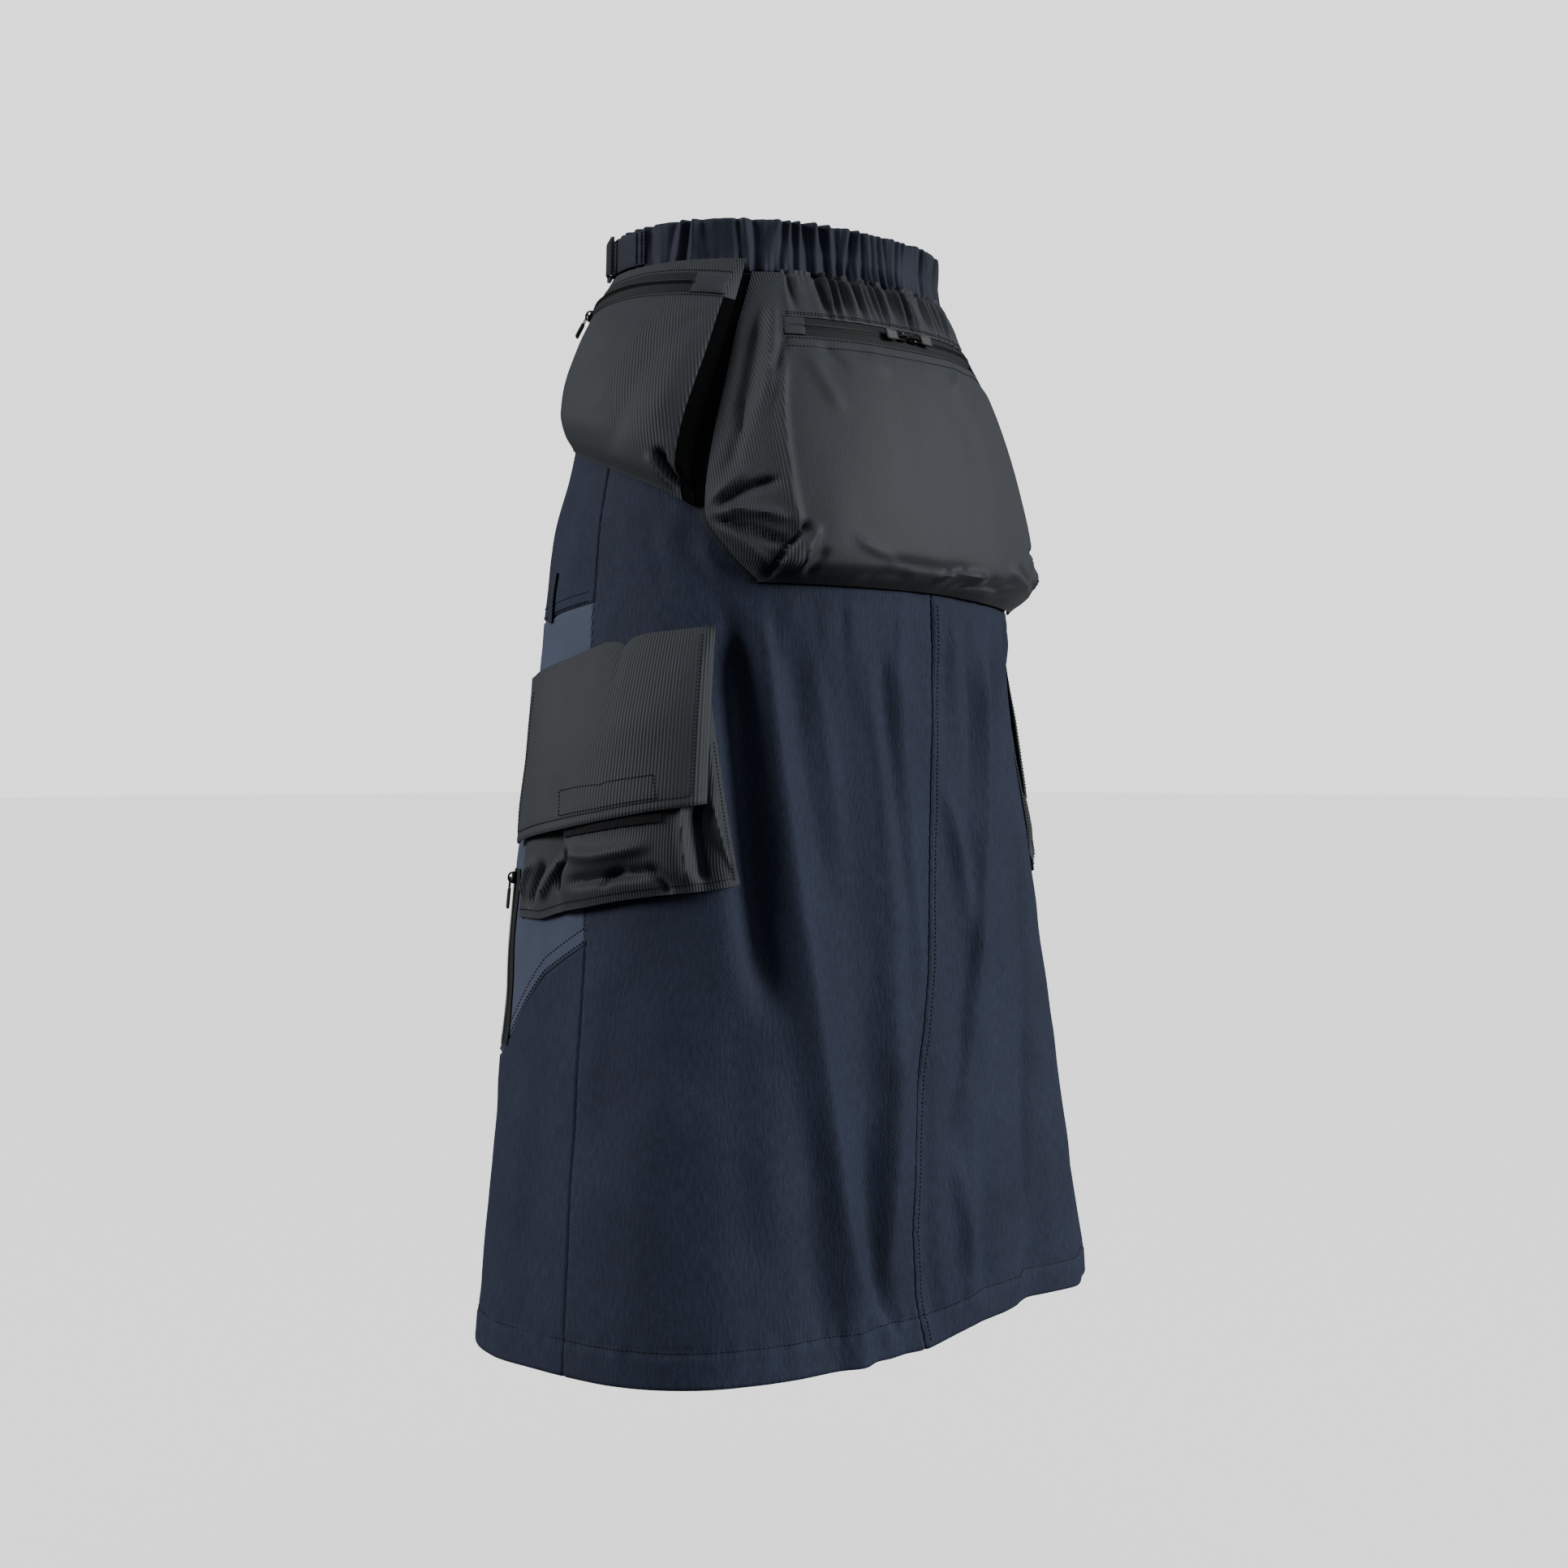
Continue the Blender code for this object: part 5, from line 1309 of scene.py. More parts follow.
        from_centre = ((centre if side > 0 else 180.0 - centre) - angle) * scale
        lift = self.form(place, z) + rolled(from_side) + tucked(-19.8 - z)
        lift = lift + (tucked(from_centre) if side > 0 else rolled(from_centre))
        wall = np.where(z.mean(axis=1) < HEM + HEM_DEPTH, self.hem_wall, self.wall)
        kept = (down[:-1] >= 1.0) | (across[:, :-1] < 1.0)
        return cloth_wall(name, FIGURE.surface(place, z, lift), wall, (NAVY,), kept=kept)

    def seam_rows(self) -> list[tuple[np.ndarray, np.ndarray]]:
        """Rows of stitches beside the seams and round the hem."""
        rows = []
        hem_angle = np.arange(-180.0, 180.5, 0.5)
        rows.append(self.line(hem_angle, np.full(hem_angle.shape, HEM + HEM_DEPTH)))
        z = np.arange(-256.0, HEM + 3.0, -3.0)
        scale = np.radians(1.0) * FIGURE.reach(knots(BACK_SEAM, z), z)
        rows.append(self.line(knots(BACK_SEAM, z) + 5.0 / scale, z))
        front = np.arange(-3.0, -177.5, -0.8)
        forward = np.where(front > -90.0, -front, 180.0 + front)
        hip = knots(HIP_SEAM, forward)
        rows += [self.line(front, hip + 1.6), self.line(front, hip + 8.5)]
        front = np.arange(5.5, -186.0, -0.8)
        forward = np.where(front > -90.0, -front, 180.0 + front)
        curve = knots(CURVED_SEAM, forward)
        rows += [self.line(front, curve + 2.4), self.line(front, curve + 11.5)]
        return rows

    def build(self) -> list[bpy.types.Object]:
        """Makes the panels and their stitching.

        Returns:
            The pieces.
        """
        def forward(angle: np.ndarray) -> np.ndarray:
            """Degrees forward of the side of the body."""
            return np.where(angle > -90.0, -angle, 180.0 + angle)

        def waist(angle: np.ndarray) -> np.ndarray:
            """Lower seam of the waistband."""
            return np.full(np.shape(angle), -19.8)

        def hip(angle: np.ndarray) -> np.ndarray:
            """The double seam at the hip."""
            return knots(HIP_SEAM, forward(angle))

        def curve(angle: np.ndarray) -> np.ndarray:
            """The curved seam."""
            return knots(CURVED_SEAM, forward(angle))

        def hem(angle: np.ndarray) -> np.ndarray:
            """The hem."""
            return np.full(np.shape(angle), HEM)

        top = self.front_panel("front_top_cloth", waist, hip, 246.0, NAVY, False)
        mid = self.front_panel("front_mid_cloth", hip, curve, 290.0, MID, False)
        low = self.front_panel("front_lower_cloth", curve, hem, 215.0, NAVY, True)
        left = self.back_panel("back_left_cloth", 1)
        right = self.back_panel("back_right_cloth", -1)
        sewing = self.stitches.sew("panel_stitching", self.seam_rows())
        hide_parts("front_top_panel")
        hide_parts("front_mid_panel")
        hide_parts("front_lower_panel")
        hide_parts("back_panel_left")
        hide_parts("back_panel_right")
        return [top, mid, low, left, right, sewing]


# ----------------------------------------
# Waistband and belt
# ----------------------------------------

@dataclass
class Waistband:
    """One tube of cloth gathered on an elastic."""

    gathers: int = 57
    columns: int = 900
    rows: int = 22
    height: float = 3.5
    fine_gathers: int = 131
    calm: tuple[float, float] = (-14.0, 12.0)
    wall: float = 2.4
    flat: tuple[float, float] = (0.90, 0.042)

    def wave(self, angle: np.ndarray, z: np.ndarray) -> np.ndarray:
        """Height of the gathers at places of the band."""
        share = (angle % 360.0) / 360.0
        up = (z - WAIST_BOTTOM) / (WAIST_TOP - WAIST_BOTTOM)
        turn = 2.0 * math.pi
        shift = 0.30 * np.sin(turn * (3.0 * share + 0.2)) + 0.26 * np.sin(turn * (7.0 * share + 0.07))
        shift = shift + 0.16 * np.sin(turn * (19.0 * share + 0.3))
        lean = 0.42 * np.sin(turn * (11.0 * share + 0.4)) * (up - 0.5)
        lean = lean + 0.2 * np.sin(turn * (23.0 * share)) * up
        phase = turn * (share * self.gathers + shift + lean)
        size = 0.72 + 0.28 * np.sin(turn * (5.0 * share + 0.12) + 2.0 * up)
        size = size + 0.22 * np.sin(turn * (17.0 * share + 0.5))
        wave = np.sin(phase)
        sharp = np.where(wave < 0.0, -np.abs(wave) ** 1.9 * 1.25, np.abs(wave) ** 0.8)
        main = size * sharp * self.height * (0.55 + 0.45 * np.abs(up - 0.42) * 2.0)
        fine_phase = turn * (share * self.fine_gathers + 0.5 * np.sin(turn * 9.0 * share))
        fine = np.sin(fine_phase) * (0.7 * np.exp(-up / 0.2) + 0.35 * np.exp(-(1.0 - up) / 0.14))
        middle = wrapped(angle)
        flat = smoothstep((middle - self.calm[0]) / 6.0) * smoothstep((self.calm[1] - middle) / 6.0)
        mirror = wrapped(180.0 - middle)
        first, last = self.calm
        flat = flat + smoothstep((mirror - first) / 6.0) * smoothstep((last - mirror) / 6.0)
        return (main + fine) * (1.0 - 0.45 * np.clip(flat, 0.0, 1.0))

    def build(self) -> list[bpy.types.Object]:
        """Makes the band.

        Returns:
            The pieces.
        """
        angle = np.linspace(0.0, 360.0, self.columns, endpoint=False)[None, :]
        inner_rows = np.linspace(0.06, 0.94, self.rows)
        share = np.concatenate(([0.0, 0.012, 0.03], inner_rows, [0.975, 0.99, 1.0]))[:, None]
        z = WAIST_TOP + (WAIST_BOTTOM - WAIST_TOP) * share
        edge = 1.5 * np.exp(-(share / 0.022) ** 2) + 1.0 * np.exp(-((1.0 - share) / 0.02) ** 2)
        lift = 0.9 + self.wave(angle, z) - edge
        points = FIGURE.surface(angle + 0.0 * z, z + 0.0 * angle, lift)
        uv = np.stack(np.broadcast_arrays(np.radians(angle) * 0.115 * 1.35, z * MM), axis=-1)
        band = cloth_wall("waistband_cloth", points, self.wall, (BAND,), closed=True, uv=uv)
        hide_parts("waistband")
        return [band]


@dataclass
class Belt:
    """Ribbed webbing across the front with a three-bar buckle on each side."""

    thick: float = 1.5
    slot: float = 7.5
    bar: float = 3.0
    rail: float = 2.0

    def lift(self, angle: np.ndarray) -> np.ndarray:
        """How far the webbing stands off the band, higher over the buckles' middle bars."""
        from_end = np.minimum(np.abs(angle - BELT_ANGLES[0]), np.abs(angle - BELT_ANGLES[1]))
        lift = BELT_LIFT - 1.1 * np.maximum(0.0, 1.0 - from_end / 6.0)
        for middle in (BUCKLE_ANGLE, -180.0 - BUCKLE_ANGLE):
            away = np.abs(angle - middle) * math.radians(1.0) * 128.0
            near = smoothstep((self.slot + self.bar / 2.0 - away) / (self.slot - 1.0))
            lift = lift + BUCKLE_HUMP * near
        return lift

    def webbing(self) -> bpy.types.Object:
        """The webbing, with slightly rounded edges."""
        angle = np.linspace(BELT_ANGLES[0], BELT_ANGLES[1], 320)[None, :]
        share = np.array([0.0, 0.02, 0.06, 0.2, 0.4, 0.6, 0.8, 0.94, 0.98, 1.0])[:, None]
        z = lerp(BELT_TOP, BELT_BOTTOM, share)
        edge = 0.5 * np.exp(-(share / 0.03) ** 2) + 0.5 * np.exp(-((1.0 - share) / 0.03) ** 2)
        points = FIGURE.surface(angle + 0.0 * z, z + 0.0 * angle, self.lift(angle) - edge)
        return cloth_wall("belt_webbing_cloth", points, self.thick, (WEBBING,))

    def buckle(self, word: str, side: int) -> bpy.types.Object:
        """One buckle: two rails, two end bars and a middle bar.

        Args:
            word: left or right.
            side: 1 or -1.
        Returns:
            The buckle.
        """
        angle = BUCKLE_ANGLE if side > 0 else 180.0 - BUCKLE_ANGLE
        seat = face_seat(angle, (BELT_TOP + BELT_BOTTOM) / 2.0, BUCKLE_LIFT)
        outer = self.slot + 1.5 * self.bar
        half = (BELT_TOP - BELT_BOTTOM) / 2.0 + 0.6
        parts = []
        for place in (-outer + self.bar / 2.0, 0.0, outer - self.bar / 2.0):
            low = -half - self.rail / 2.0 if place else -half - 0.5
            bar = rounded_outline(-self.bar / 2.0, self.bar / 2.0, -low, 0.7)
            shape = [(x + place, y) for x, y in bar]
            parts.append(rounded_slab(seat, shape, -1.3, 1.3, 0.5))
        for place in (-half - self.rail / 2.0, half + self.rail / 2.0):
            rail = rounded_outline(-outer, outer, self.rail / 2.0, 0.9)
            shape = [(x, y + place) for x, y in rail]
            parts.append(rounded_slab(seat, shape, -1.3, 1.3, 0.45))
        points, faces = joined(parts)
        piece = new_piece("buckle_" + word, points, faces, (PLASTIC,), smooth_angle=35.0)
        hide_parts("belt_buckle_" + word)
        return piece

    def tacks(self) -> bpy.types.Object:
        """Zigzag bar tacks that hold the webbing's ends."""
        rows = []
        for start, way in ((-1.6, -1.0), (-178.4, 1.0)):
            steps = np.arange(0, 34)
            for offset in (0.0, 2.2):
                angle = start + way * (offset + np.where(steps % 2, 0.9, 0.0))
                z = lerp(BELT_TOP - 1.2, BELT_BOTTOM + 1.2, steps / 33.0)
                points = FIGURE.surface(angle, z, self.lift(angle) + 0.2)
                rows.append((points, directions(points)))
        return Seamstress(FIGURE, 1.1, 1.1, 0.26).sew("belt_bar_tacks", rows)

    def build(self) -> list[bpy.types.Object]:
        """Makes the webbing, its bar tacks and the buckles.

        Returns:
            The pieces.
        """
        webbing = self.webbing()
        tacks = self.tacks()
        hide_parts("belt_webbing")
        return [webbing, tacks, self.buckle("left", 1), self.buckle("right", -1)]


def face_seat(angle: float, z: float, lift: float) -> Seat:
    """Seat on the cloth with its first direction round the body.

    Args:
        angle: degrees round the body.
        z: height.
        lift: millimetres off the cloth.
    Returns:
        The seat: along runs round the body and across runs up it.
    """
    here = FIGURE.surface(np.array(angle), np.array(z), lift)
    def at(turn: float, rise: float) -> np.ndarray:
        """The point that far round and up from the place."""
        return FIGURE.surface(np.array(angle + turn), np.array(z + rise), lift)

    around = at(0.6, 0.0) - at(-0.6, 0.0)
    up = at(0.0, 4.0) - at(0.0, -4.0)
    around, up = around / np.linalg.norm(around), up / np.linalg.norm(up)
    out = np.cross(around, up)
    out /= np.linalg.norm(out)
    return Seat(here, around, np.cross(out, around), out)


# ----------------------------------------
# Zips
# ----------------------------------------

@dataclass(frozen=True)
class Zip:
    """A coil zip on a tape: two rows of teeth along its middle line."""

    pitch: float = 1.25
    tooth: tuple[float, float, float] = (0.8, 1.5, 1.0)

    def teeth(self, name: str, line: np.ndarray, out: np.ndarray) -> bpy.types.Object:
        """The teeth along a line.

        Args:
            name: the piece's name.
            line: points of the zip's middle, in metres.
            out: outward directions there.
        Returns:
            The piece.
        """
        run = np.concatenate(([0.0], np.cumsum(np.linalg.norm(np.diff(line, axis=0), axis=1))))
        count = int(run[-1] / (self.pitch * MM))
        parts = []
        for n in range(count):
            for side in (-1.0, 1.0):
                place = (n + (0.25 if side > 0 else 0.75)) * self.pitch * MM
                origin = np.array([np.interp(place, run, line[:, k]) for k in range(3)])
                ahead = np.array([np.interp(place + 5e-4, run, line[:, k]) for k in range(3)])
                normal = np.array([np.interp(place, run, out[:, k]) for k in range(3)])
                along = ahead - origin
                if np.linalg.norm(along) < 1e-7:
                    continue
                along /= np.linalg.norm(along)
                across = np.cross(normal, along)
                across /= np.linalg.norm(across)
                seat = Seat(origin, along, across, np.cross(along, across))
                a, b, c = self.tooth
                near, far = (0.15, b) if side > 0 else (-b, -0.15)
                x = a / 2.0
                corners = [seat.place(*p) for p in (
                    (-x, near, -0.2), (x, near, -0.2), (x, far, -0.2), (-x, far, -0.2),
                    (-x * 0.5, near, c), (x * 0.5, near, c),
                    (x * 0.5, far, c * 0.5), (-x * 0.5, far, c * 0.5),
                )]
                faces = [
                    (4, 5, 6, 7), (0, 4, 7, 3), (1, 2, 6, 5), (0, 1, 5, 4), (2, 3, 7, 6), (3, 2, 1, 0),
                ]
                if side < 0:
                    faces = [face[::-1] for face in faces]
                parts.append((np.array(corners), faces))
        points, faces = joined(parts)
        return new_piece(name, points, faces, (TEETH,), smooth_angle=30.0)


@dataclass(frozen=True)
class Slider:
    """A slider with its bridge, and a pull of a wire ring and a rubber tab."""

    length: float = 9.0
    width: float = 7.0
    body: float = 2.0
    inner: float = 2.4
    top: float = 1.1

    def build(self, name: str, seat: Seat, node: str) -> bpy.types.Object:
        """The slider itself.

        Args:
            name: the piece's name.
            seat: where it sits, along being the pull's direction.
            node: the node that it stands for.
        Returns:
            The piece.
        """
        half = self.length / 2.0
        under = self.body + self.inner
        outline = rounded_outline(-half, half, self.width / 2.0, 1.6, 0.72)
        parts = [rounded_slab(seat, outline, 0.0, self.body, 0.55)]
        turn = np.linspace(0.0, math.pi, 9)
        rise = under + 0.7 - self.body
        arch = np.array([
            seat.place(-math.cos(t) * (half - 0.9), 0.0, self.body - 0.4 + math.sin(t) * rise)
            for t in turn
        ])
        parts.append(tube(arch, 0.75, 8, False))
        points, faces = joined(parts)
        piece = new_piece(name, points, faces, (METAL,), smooth_angle=40.0)
        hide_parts(node)
        return piece

    def pull(
        self, name: str, seat: Seat, node: str, tab_length: float, tab_width: float,
    ) -> list[bpy.types.Object]:
        """The pull: a wire loop through the bridge and a moulded tab.

        Args:
            name: start of the pieces' names.
            seat: seat of the slider.
            node: the node that it stands for.
            tab_length: millimetres.
            tab_width: millimetres.
        Returns:
            The loop and the tab.
        """
        axis = seat.place(0.0, 0.0, self.body + self.inner / 2.0)
        hinge = Seat(axis, seat.along, seat.across, seat.out)
        body = node + "_body"
        path = []
        for x, y in rounded_outline(-0.1, 8.6, 2.7, 1.6):
            path.append(hinge.place(x, y, 0.0))
        points, faces = tube(np.array(path), 0.5, 8, True)
        loop = new_piece(name + "_loop", points, faces, (METAL,), body=body)
        start = 7.5
        outline = rounded_outline(start, start + tab_length, tab_width / 2.0, 1.7, 0.86)
        tab = rounded_slab(hinge, outline, -0.95, 0.75, 0.35)
        border = []
        end, half = start + tab_length, tab_width / 2.0
        rim = [
            hinge.place(x, y, 0.75)
            for x, y in rounded_outline(start + 0.9, end - 0.9, half - 0.9, 1.2, 0.86)
        ]
        border.append(tube(np.array(rim), 0.28, 6, True))
        points, faces = joined([tab] + border)
        plate = new_piece(name + "_tab", points, faces, (RUBBER,), body=body, smooth_angle=40.0)
        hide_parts(node)
        return [loop, plate]


# ----------------------------------------
# Back bag
# ----------------------------------------

BAG_CREASES = (
    # gusset, wearer's left
    Crease(((44, -72), (43, -123), (45, -181), (47, -212), (49, -238)), 3.2, 2.6, 0.8, 0.08),
    Crease(((38.5, -36), (37.5, -75), (36.0, -110), (33, -160), (30, -186)), 4.0, -6.5, 0.7, 0.25),
    Crease(((41.5, -30), (41, -60), (40, -100), (38, -140)), 3.4, 4.2, 1.0, 0.3),
    Crease(((45, -64), (43, -84), (41, -104)), 3.4, -3.2, 1.0, 0.35),
    Crease(((34, -120), (32.5, -160), (30, -190)), 3.6, 3.0, 1.0, 0.3),
    Crease(((28, -197), (33, -186), (39, -178), (43, -176)), 3.0, -5.5, 0.7, 0.25),
    Crease(((28, -194), (32, -178), (36, -166)), 3.0, 3.6, 1.0, 0.3),
    Crease(((28, -199), (34, -197), (40, -199), (46, -206)), 3.0, 4.4, 1.0, 0.25),
    Crease(((28, -201), (34, -206), (40, -214), (45, -222)), 2.6, -5.5, 0.7, 0.2),
    Crease(((29, -203), (33, -213), (38, -226), (43, -240)), 3.0, 3.4, 1.0, 0.25),
    Crease(((49, -205), (46, -218), (43, -232), (41, -246)), 2.2, -6.0, 0.6, 0.12),
    Crease(((51, -206), (49, -222), (47, -242)), 2.8, 4.2, 0.8, 0.2),
    Crease(((53, -222), (51, -232), (49, -243)), 2.4, -3.0, 1.0, 0.25),
    # face
    Crease(((50, -72), (52, -90), (56, -112), (60, -130)), 5.0, 2.2, 1.0, 0.35),
    Crease(((54, -70), (58, -84), (64, -96)), 4.0, -2.2, 1.0, 0.4),
    Crease(((70, -72), (74, -84), (80, -92)), 5.0, 1.6, 1.0, 0.4),
    Crease(((118, -70), (114, -86), (108, -98)), 4.0, 2.2, 1.0, 0.4),
    Crease(((126, -70), (124, -90), (120, -112)), 5.0, -2.2, 1.0, 0.4),
    Crease(((134, -76), (133, -110), (132, -150)), 5.0, 2.0, 1.0, 0.35),
    Crease(((60, -222), (72, -230), (90, -233), (108, -230)), 4.0, -2.4, 1.0, 0.3),
    Crease(((58, -212), (66, -224), (74, -232)), 4.0, 2.4, 1.0, 0.3),
    Crease(((86, -240), (98, -235), (112, -237)), 3.0, 4.4, 0.8, 0.25),
    Crease(((96, -244), (108, -241), (121, -243)), 2.6, -4.6, 1.0, 0.25),
    Crease(((106, -236), (114, -239), (124, -238)), 2.4, -3.2, 1.0, 0.3),
    Crease(((118, -226), (126, -234), (134, -240)), 4.0, 3.2, 1.0, 0.3),
    Crease(((124, -222), (131, -230), (138, -234)), 3.4, -3.0, 1.0, 0.3),
    Crease(((62, -243), (70, -238), (80, -240)), 2.8, -2.6, 1.0, 0.3),
    # gusset, wearer's right
    Crease(((144, -72), (145, -123), (143, -181), (141, -212), (139, -238)), 3.2, 2.6, 1.2, 0.08),
    Crease(((149, -40), (151, -80), (152, -130), (156, -180)), 4.0, -5.5, 1.3, 0.25),
    Crease(((147, -40), (147, -90), (148, -136)), 3.4, 3.6, 1.0, 0.3),
    Crease(((158, -196), (154, -188), (149, -182), (145, -180)), 3.0, -4.8, 1.3, 0.25),
    Crease(((159, -200), (153, -202), (147, -206), (142, -212)), 3.0, 4.0, 1.0, 0.25),
    Crease(((159, -202), (153, -212), (148, -224), (144, -236)), 2.8, -4.8, 1.3, 0.2),
    Crease(((140, -206), (143, -222), (146, -240)), 2.4, -5.0, 1.4, 0.15),
    Crease(((137, -208), (139, -224), (141, -242)), 2.8, 3.6, 1.2, 0.2),
)


@dataclass
class BackBag:
    """Yoke, bag, gathered top strip and two-way zip, and the bag's sliders."""

    step: float = 2.6
    wall: float = 1.2
    gathers: int = 17
    strip_height: float = 4.4
    slider_middle: float = 93.0
    slider_spread: float = 2.7
    rows_of_stitches: Seamstress = field(default_factory=lambda: Seamstress(FIGURE, 2.7, 1.9, 0.33))

    def __post_init__(self) -> None:
        """Makes the faint swell of the bag's cloth."""
        self.swell = Rumple(31, 8.0, 36.0, 0.8)

    def edge(self, z: np.ndarray) -> np.ndarray:
        """Angle of the bag's left edge."""
        return smooth_table(BAG_EDGE, 1, z)

    def ridge(self, z: np.ndarray) -> np.ndarray:
        """Angle of the bag's left ridge."""
        return smooth_table(BAG_RIDGE, 1, z)

    def angle(self, share: np.ndarray, z: np.ndarray) -> np.ndarray:
        """Angle of a share from the left edge (0) over the middle (2) to the right edge (4)."""
        near = np.where(share <= 2.0, share, 4.0 - share)
        edge, ridge = self.edge(z), self.ridge(z)
        face = ridge + (BAG_MIDDLE - ridge) * (near - 1.0)
        angle = np.where(near <= 1.0, edge + (ridge - edge) * near, face)
        return np.where(share <= 2.0, angle, 2.0 * BAG_MIDDLE - angle)

    def lift(self, share: np.ndarray, row_lift: np.ndarray) -> np.ndarray:
        """Lift of the bag at a share across it."""
        near = np.where(share <= 2.0, share, 4.0 - share)
        return RIM_LIFT + np.maximum(0.0, row_lift - RIM_LIFT) * smooth_table(BAG_COLUMNS, 1, near)

    def face_lift(self, angle: np.ndarray, z: np.ndarray) -> np.ndarray:
        """Lift of the bag's face at an angle and height."""
        near = np.minimum(angle, 2.0 * BAG_MIDDLE - angle)
        ridge = self.ridge(z)
        share = 1.0 + (near - ridge) / (BAG_MIDDLE - ridge)
        return self.lift(np.clip(share, 0.0, 2.0), smooth_table(BAG_ROWS, 1, z))

    def grid(self) -> tuple[np.ndarray, ...]:
        """Angles, heights, lifts, shares and weave coordinates of the bag's cloth."""
        fine = np.linspace(-20.0, -248.5, 2000)
        steps = np.hypot(np.diff(fine), np.diff(smooth_table(BAG_ROWS, 1, fine)))
        run = np.concatenate(([0.0], np.cumsum(steps)))
        places = np.linspace(0.0, run[-1], int(run[-1] / self.step))
        level = np.interp(places, run, fine)
        gusset = spaced(34.0, self.step, 0.0, 0.0)
        face = 1.0 + np.linspace(0.0, 1.0, int(165.0 / self.step))
        half = np.concatenate((gusset, face[1:]))
        share = np.concatenate((half, 4.0 - half[-2::-1]))[None, :]
        level = level[:, None]
        seam_shift = smoothstep((level + 60.0) / -188.0)
        angle = self.angle(share, level)
        z = level + (knots(BAG_SEAM, angle) - knots(BAG_SEAM, np.array(BAG_MIDDLE))) * seam_shift
        angle = self.angle(share, z)
        lift = self.lift(share, smooth_table(BAG_ROWS, 1, level))
        uv = cloth_uv(FIGURE.surface(angle, z, lift))
        calm = np.clip((lift - RIM_LIFT) / 6.0, 0.0, 1.0)
        lift = lift + crease_height(BAG_CREASES, FIGURE, angle, z) * calm
        lift = lift + self.swell.at(angle, z) * calm
        return angle, z, lift, share, uv

    def bag(self) -> bpy.types.Object:
        """The bag's face, gussets and bottom."""
        angle, z, lift, share, uv = self.grid()
        near = np.where(share <= 2.0, share, 4.0 - share)
        below = z < BAG_ZIP_BOTTOM - 0.6
        lift = lift + np.where((near > 1.0) & below, rolled(BAG_ZIP_BOTTOM - z, 0.7, 1.2), 0.0)
        points = FIGURE.surface(angle, z, lift)
        kept = (z[:-1, :-1] < BAG_ZIP_BOTTOM + 1.0) | (near[:, :-1] < 1.0) & (near[:, 1:] <= 1.0)
        near_cell = np.broadcast_to((near[:, :-1] + near[:, 1:]) / 2.0, kept.shape)
        slots = np.where(near_cell < 1.0, 1, 0)
        piece = cloth_wall(
            "back_bag_cloth", points, self.wall, (CHARCOAL, CORDED), kept=kept, slots=slots, uv=uv,
        )
        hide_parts("back_bag")
        return piece

    def yoke(self) -> bpy.types.Object:
        """The yoke behind the bag."""
        share = np.linspace(0.0, 1.0, 90)[None, :]
        down = spaced(229.0, 5.0, LAP, 4.0)[:, None]
        z = np.full((down.size, share.size), -100.0)
        for _ in range(3):
            edge = self.edge(z) - 1.6
            angle = lerp(edge, 2.0 * BAG_MIDDLE - edge, share)
            z = lerp(-19.8, knots(BAG_SEAM, angle), down)
        turn = np.radians(angle)
        gather = 0.8 * np.sin(turn * 70.0 + np.sin(turn * 17.0)) * np.exp((z + 20.0) / 40.0)
        lift = gather + tucked(-19.8 - z) - 0.4 + tucked(z - knots(BAG_SEAM, angle), 1.4)
        piece = cloth_wall("back_yoke_cloth", FIGURE.surface(angle, z, lift), CLOTH, (CHARCOAL,))
        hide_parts("back_yoke")
        return piece

    def strip_lift(self, angle: np.ndarray, z: np.ndarray) -> np.ndarray:
        """Lift of the gathered strip over the zip."""
        ridge = self.ridge(z)
        share = (angle - ridge) / (2.0 * BAG_MIDDLE - 2.0 * ridge)
        down = np.clip((-20.0 - z) / (-20.0 - BAG_ZIP_TOP), 0.0, 1.0)
        turn = 2.0 * math.pi
        shift = 0.34 * np.sin(turn * (2.0 * share + 0.3)) + 0.3 * np.sin(turn * (5.0 * share + 0.1))
        lean = (share - 0.42) * 1.6 * down
        wave = np.sin(turn * (share * self.gathers + shift + lean))
        wave = np.where(wave < 0.0, -np.abs(wave) ** 1.7 * 1.2, np.abs(wave) ** 0.9)
        fade = np.interp(down, (0.0, 0.25, 0.55, 0.85, 1.0), (0.75, 1.0, 0.8, 0.3, 0.05))
        size = 0.8 + 0.3 * np.sin(turn * (3.0 * share + 0.6))
        size = size + 0.25 * np.sin(turn * (7.0 * share + 0.2))
        fine = 0.45 * np.sin(turn * share * 46.0) * np.exp(-down / 0.12)
        ends = smoothstep(share / 0.03) * smoothstep((1.0 - share) / 0.03)
        return self.face_lift(angle, z) + (self.strip_height * wave * fade * size + fine) * ends

    def top_strip(self) -> bpy.types.Object:
        """The gathered strip between the waistband and the zip."""
        across = np.linspace(0.0, 1.0, 300)[None, :]
        down = spaced(34.5, 1.8, 3.0, 0.0)[:, None]
        z = -20.2 + (BAG_ZIP_TOP + 0.2 + 20.2) * down + 0.0 * across
        ridge = self.ridge(z)
        angle = lerp(ridge - 0.3, 2.0 * BAG_MIDDLE - ridge + 0.3, across)
        lift = self.strip_lift(angle, z) + rolled(z - BAG_ZIP_TOP, 0.7) + tucked(-20.2 - z, 2.0)
        piece = cloth_wall("back_top_cloth", FIGURE.surface(angle, z, lift), CLOTH, (CHARCOAL,))
        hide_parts("back_top_strip")
        return piece

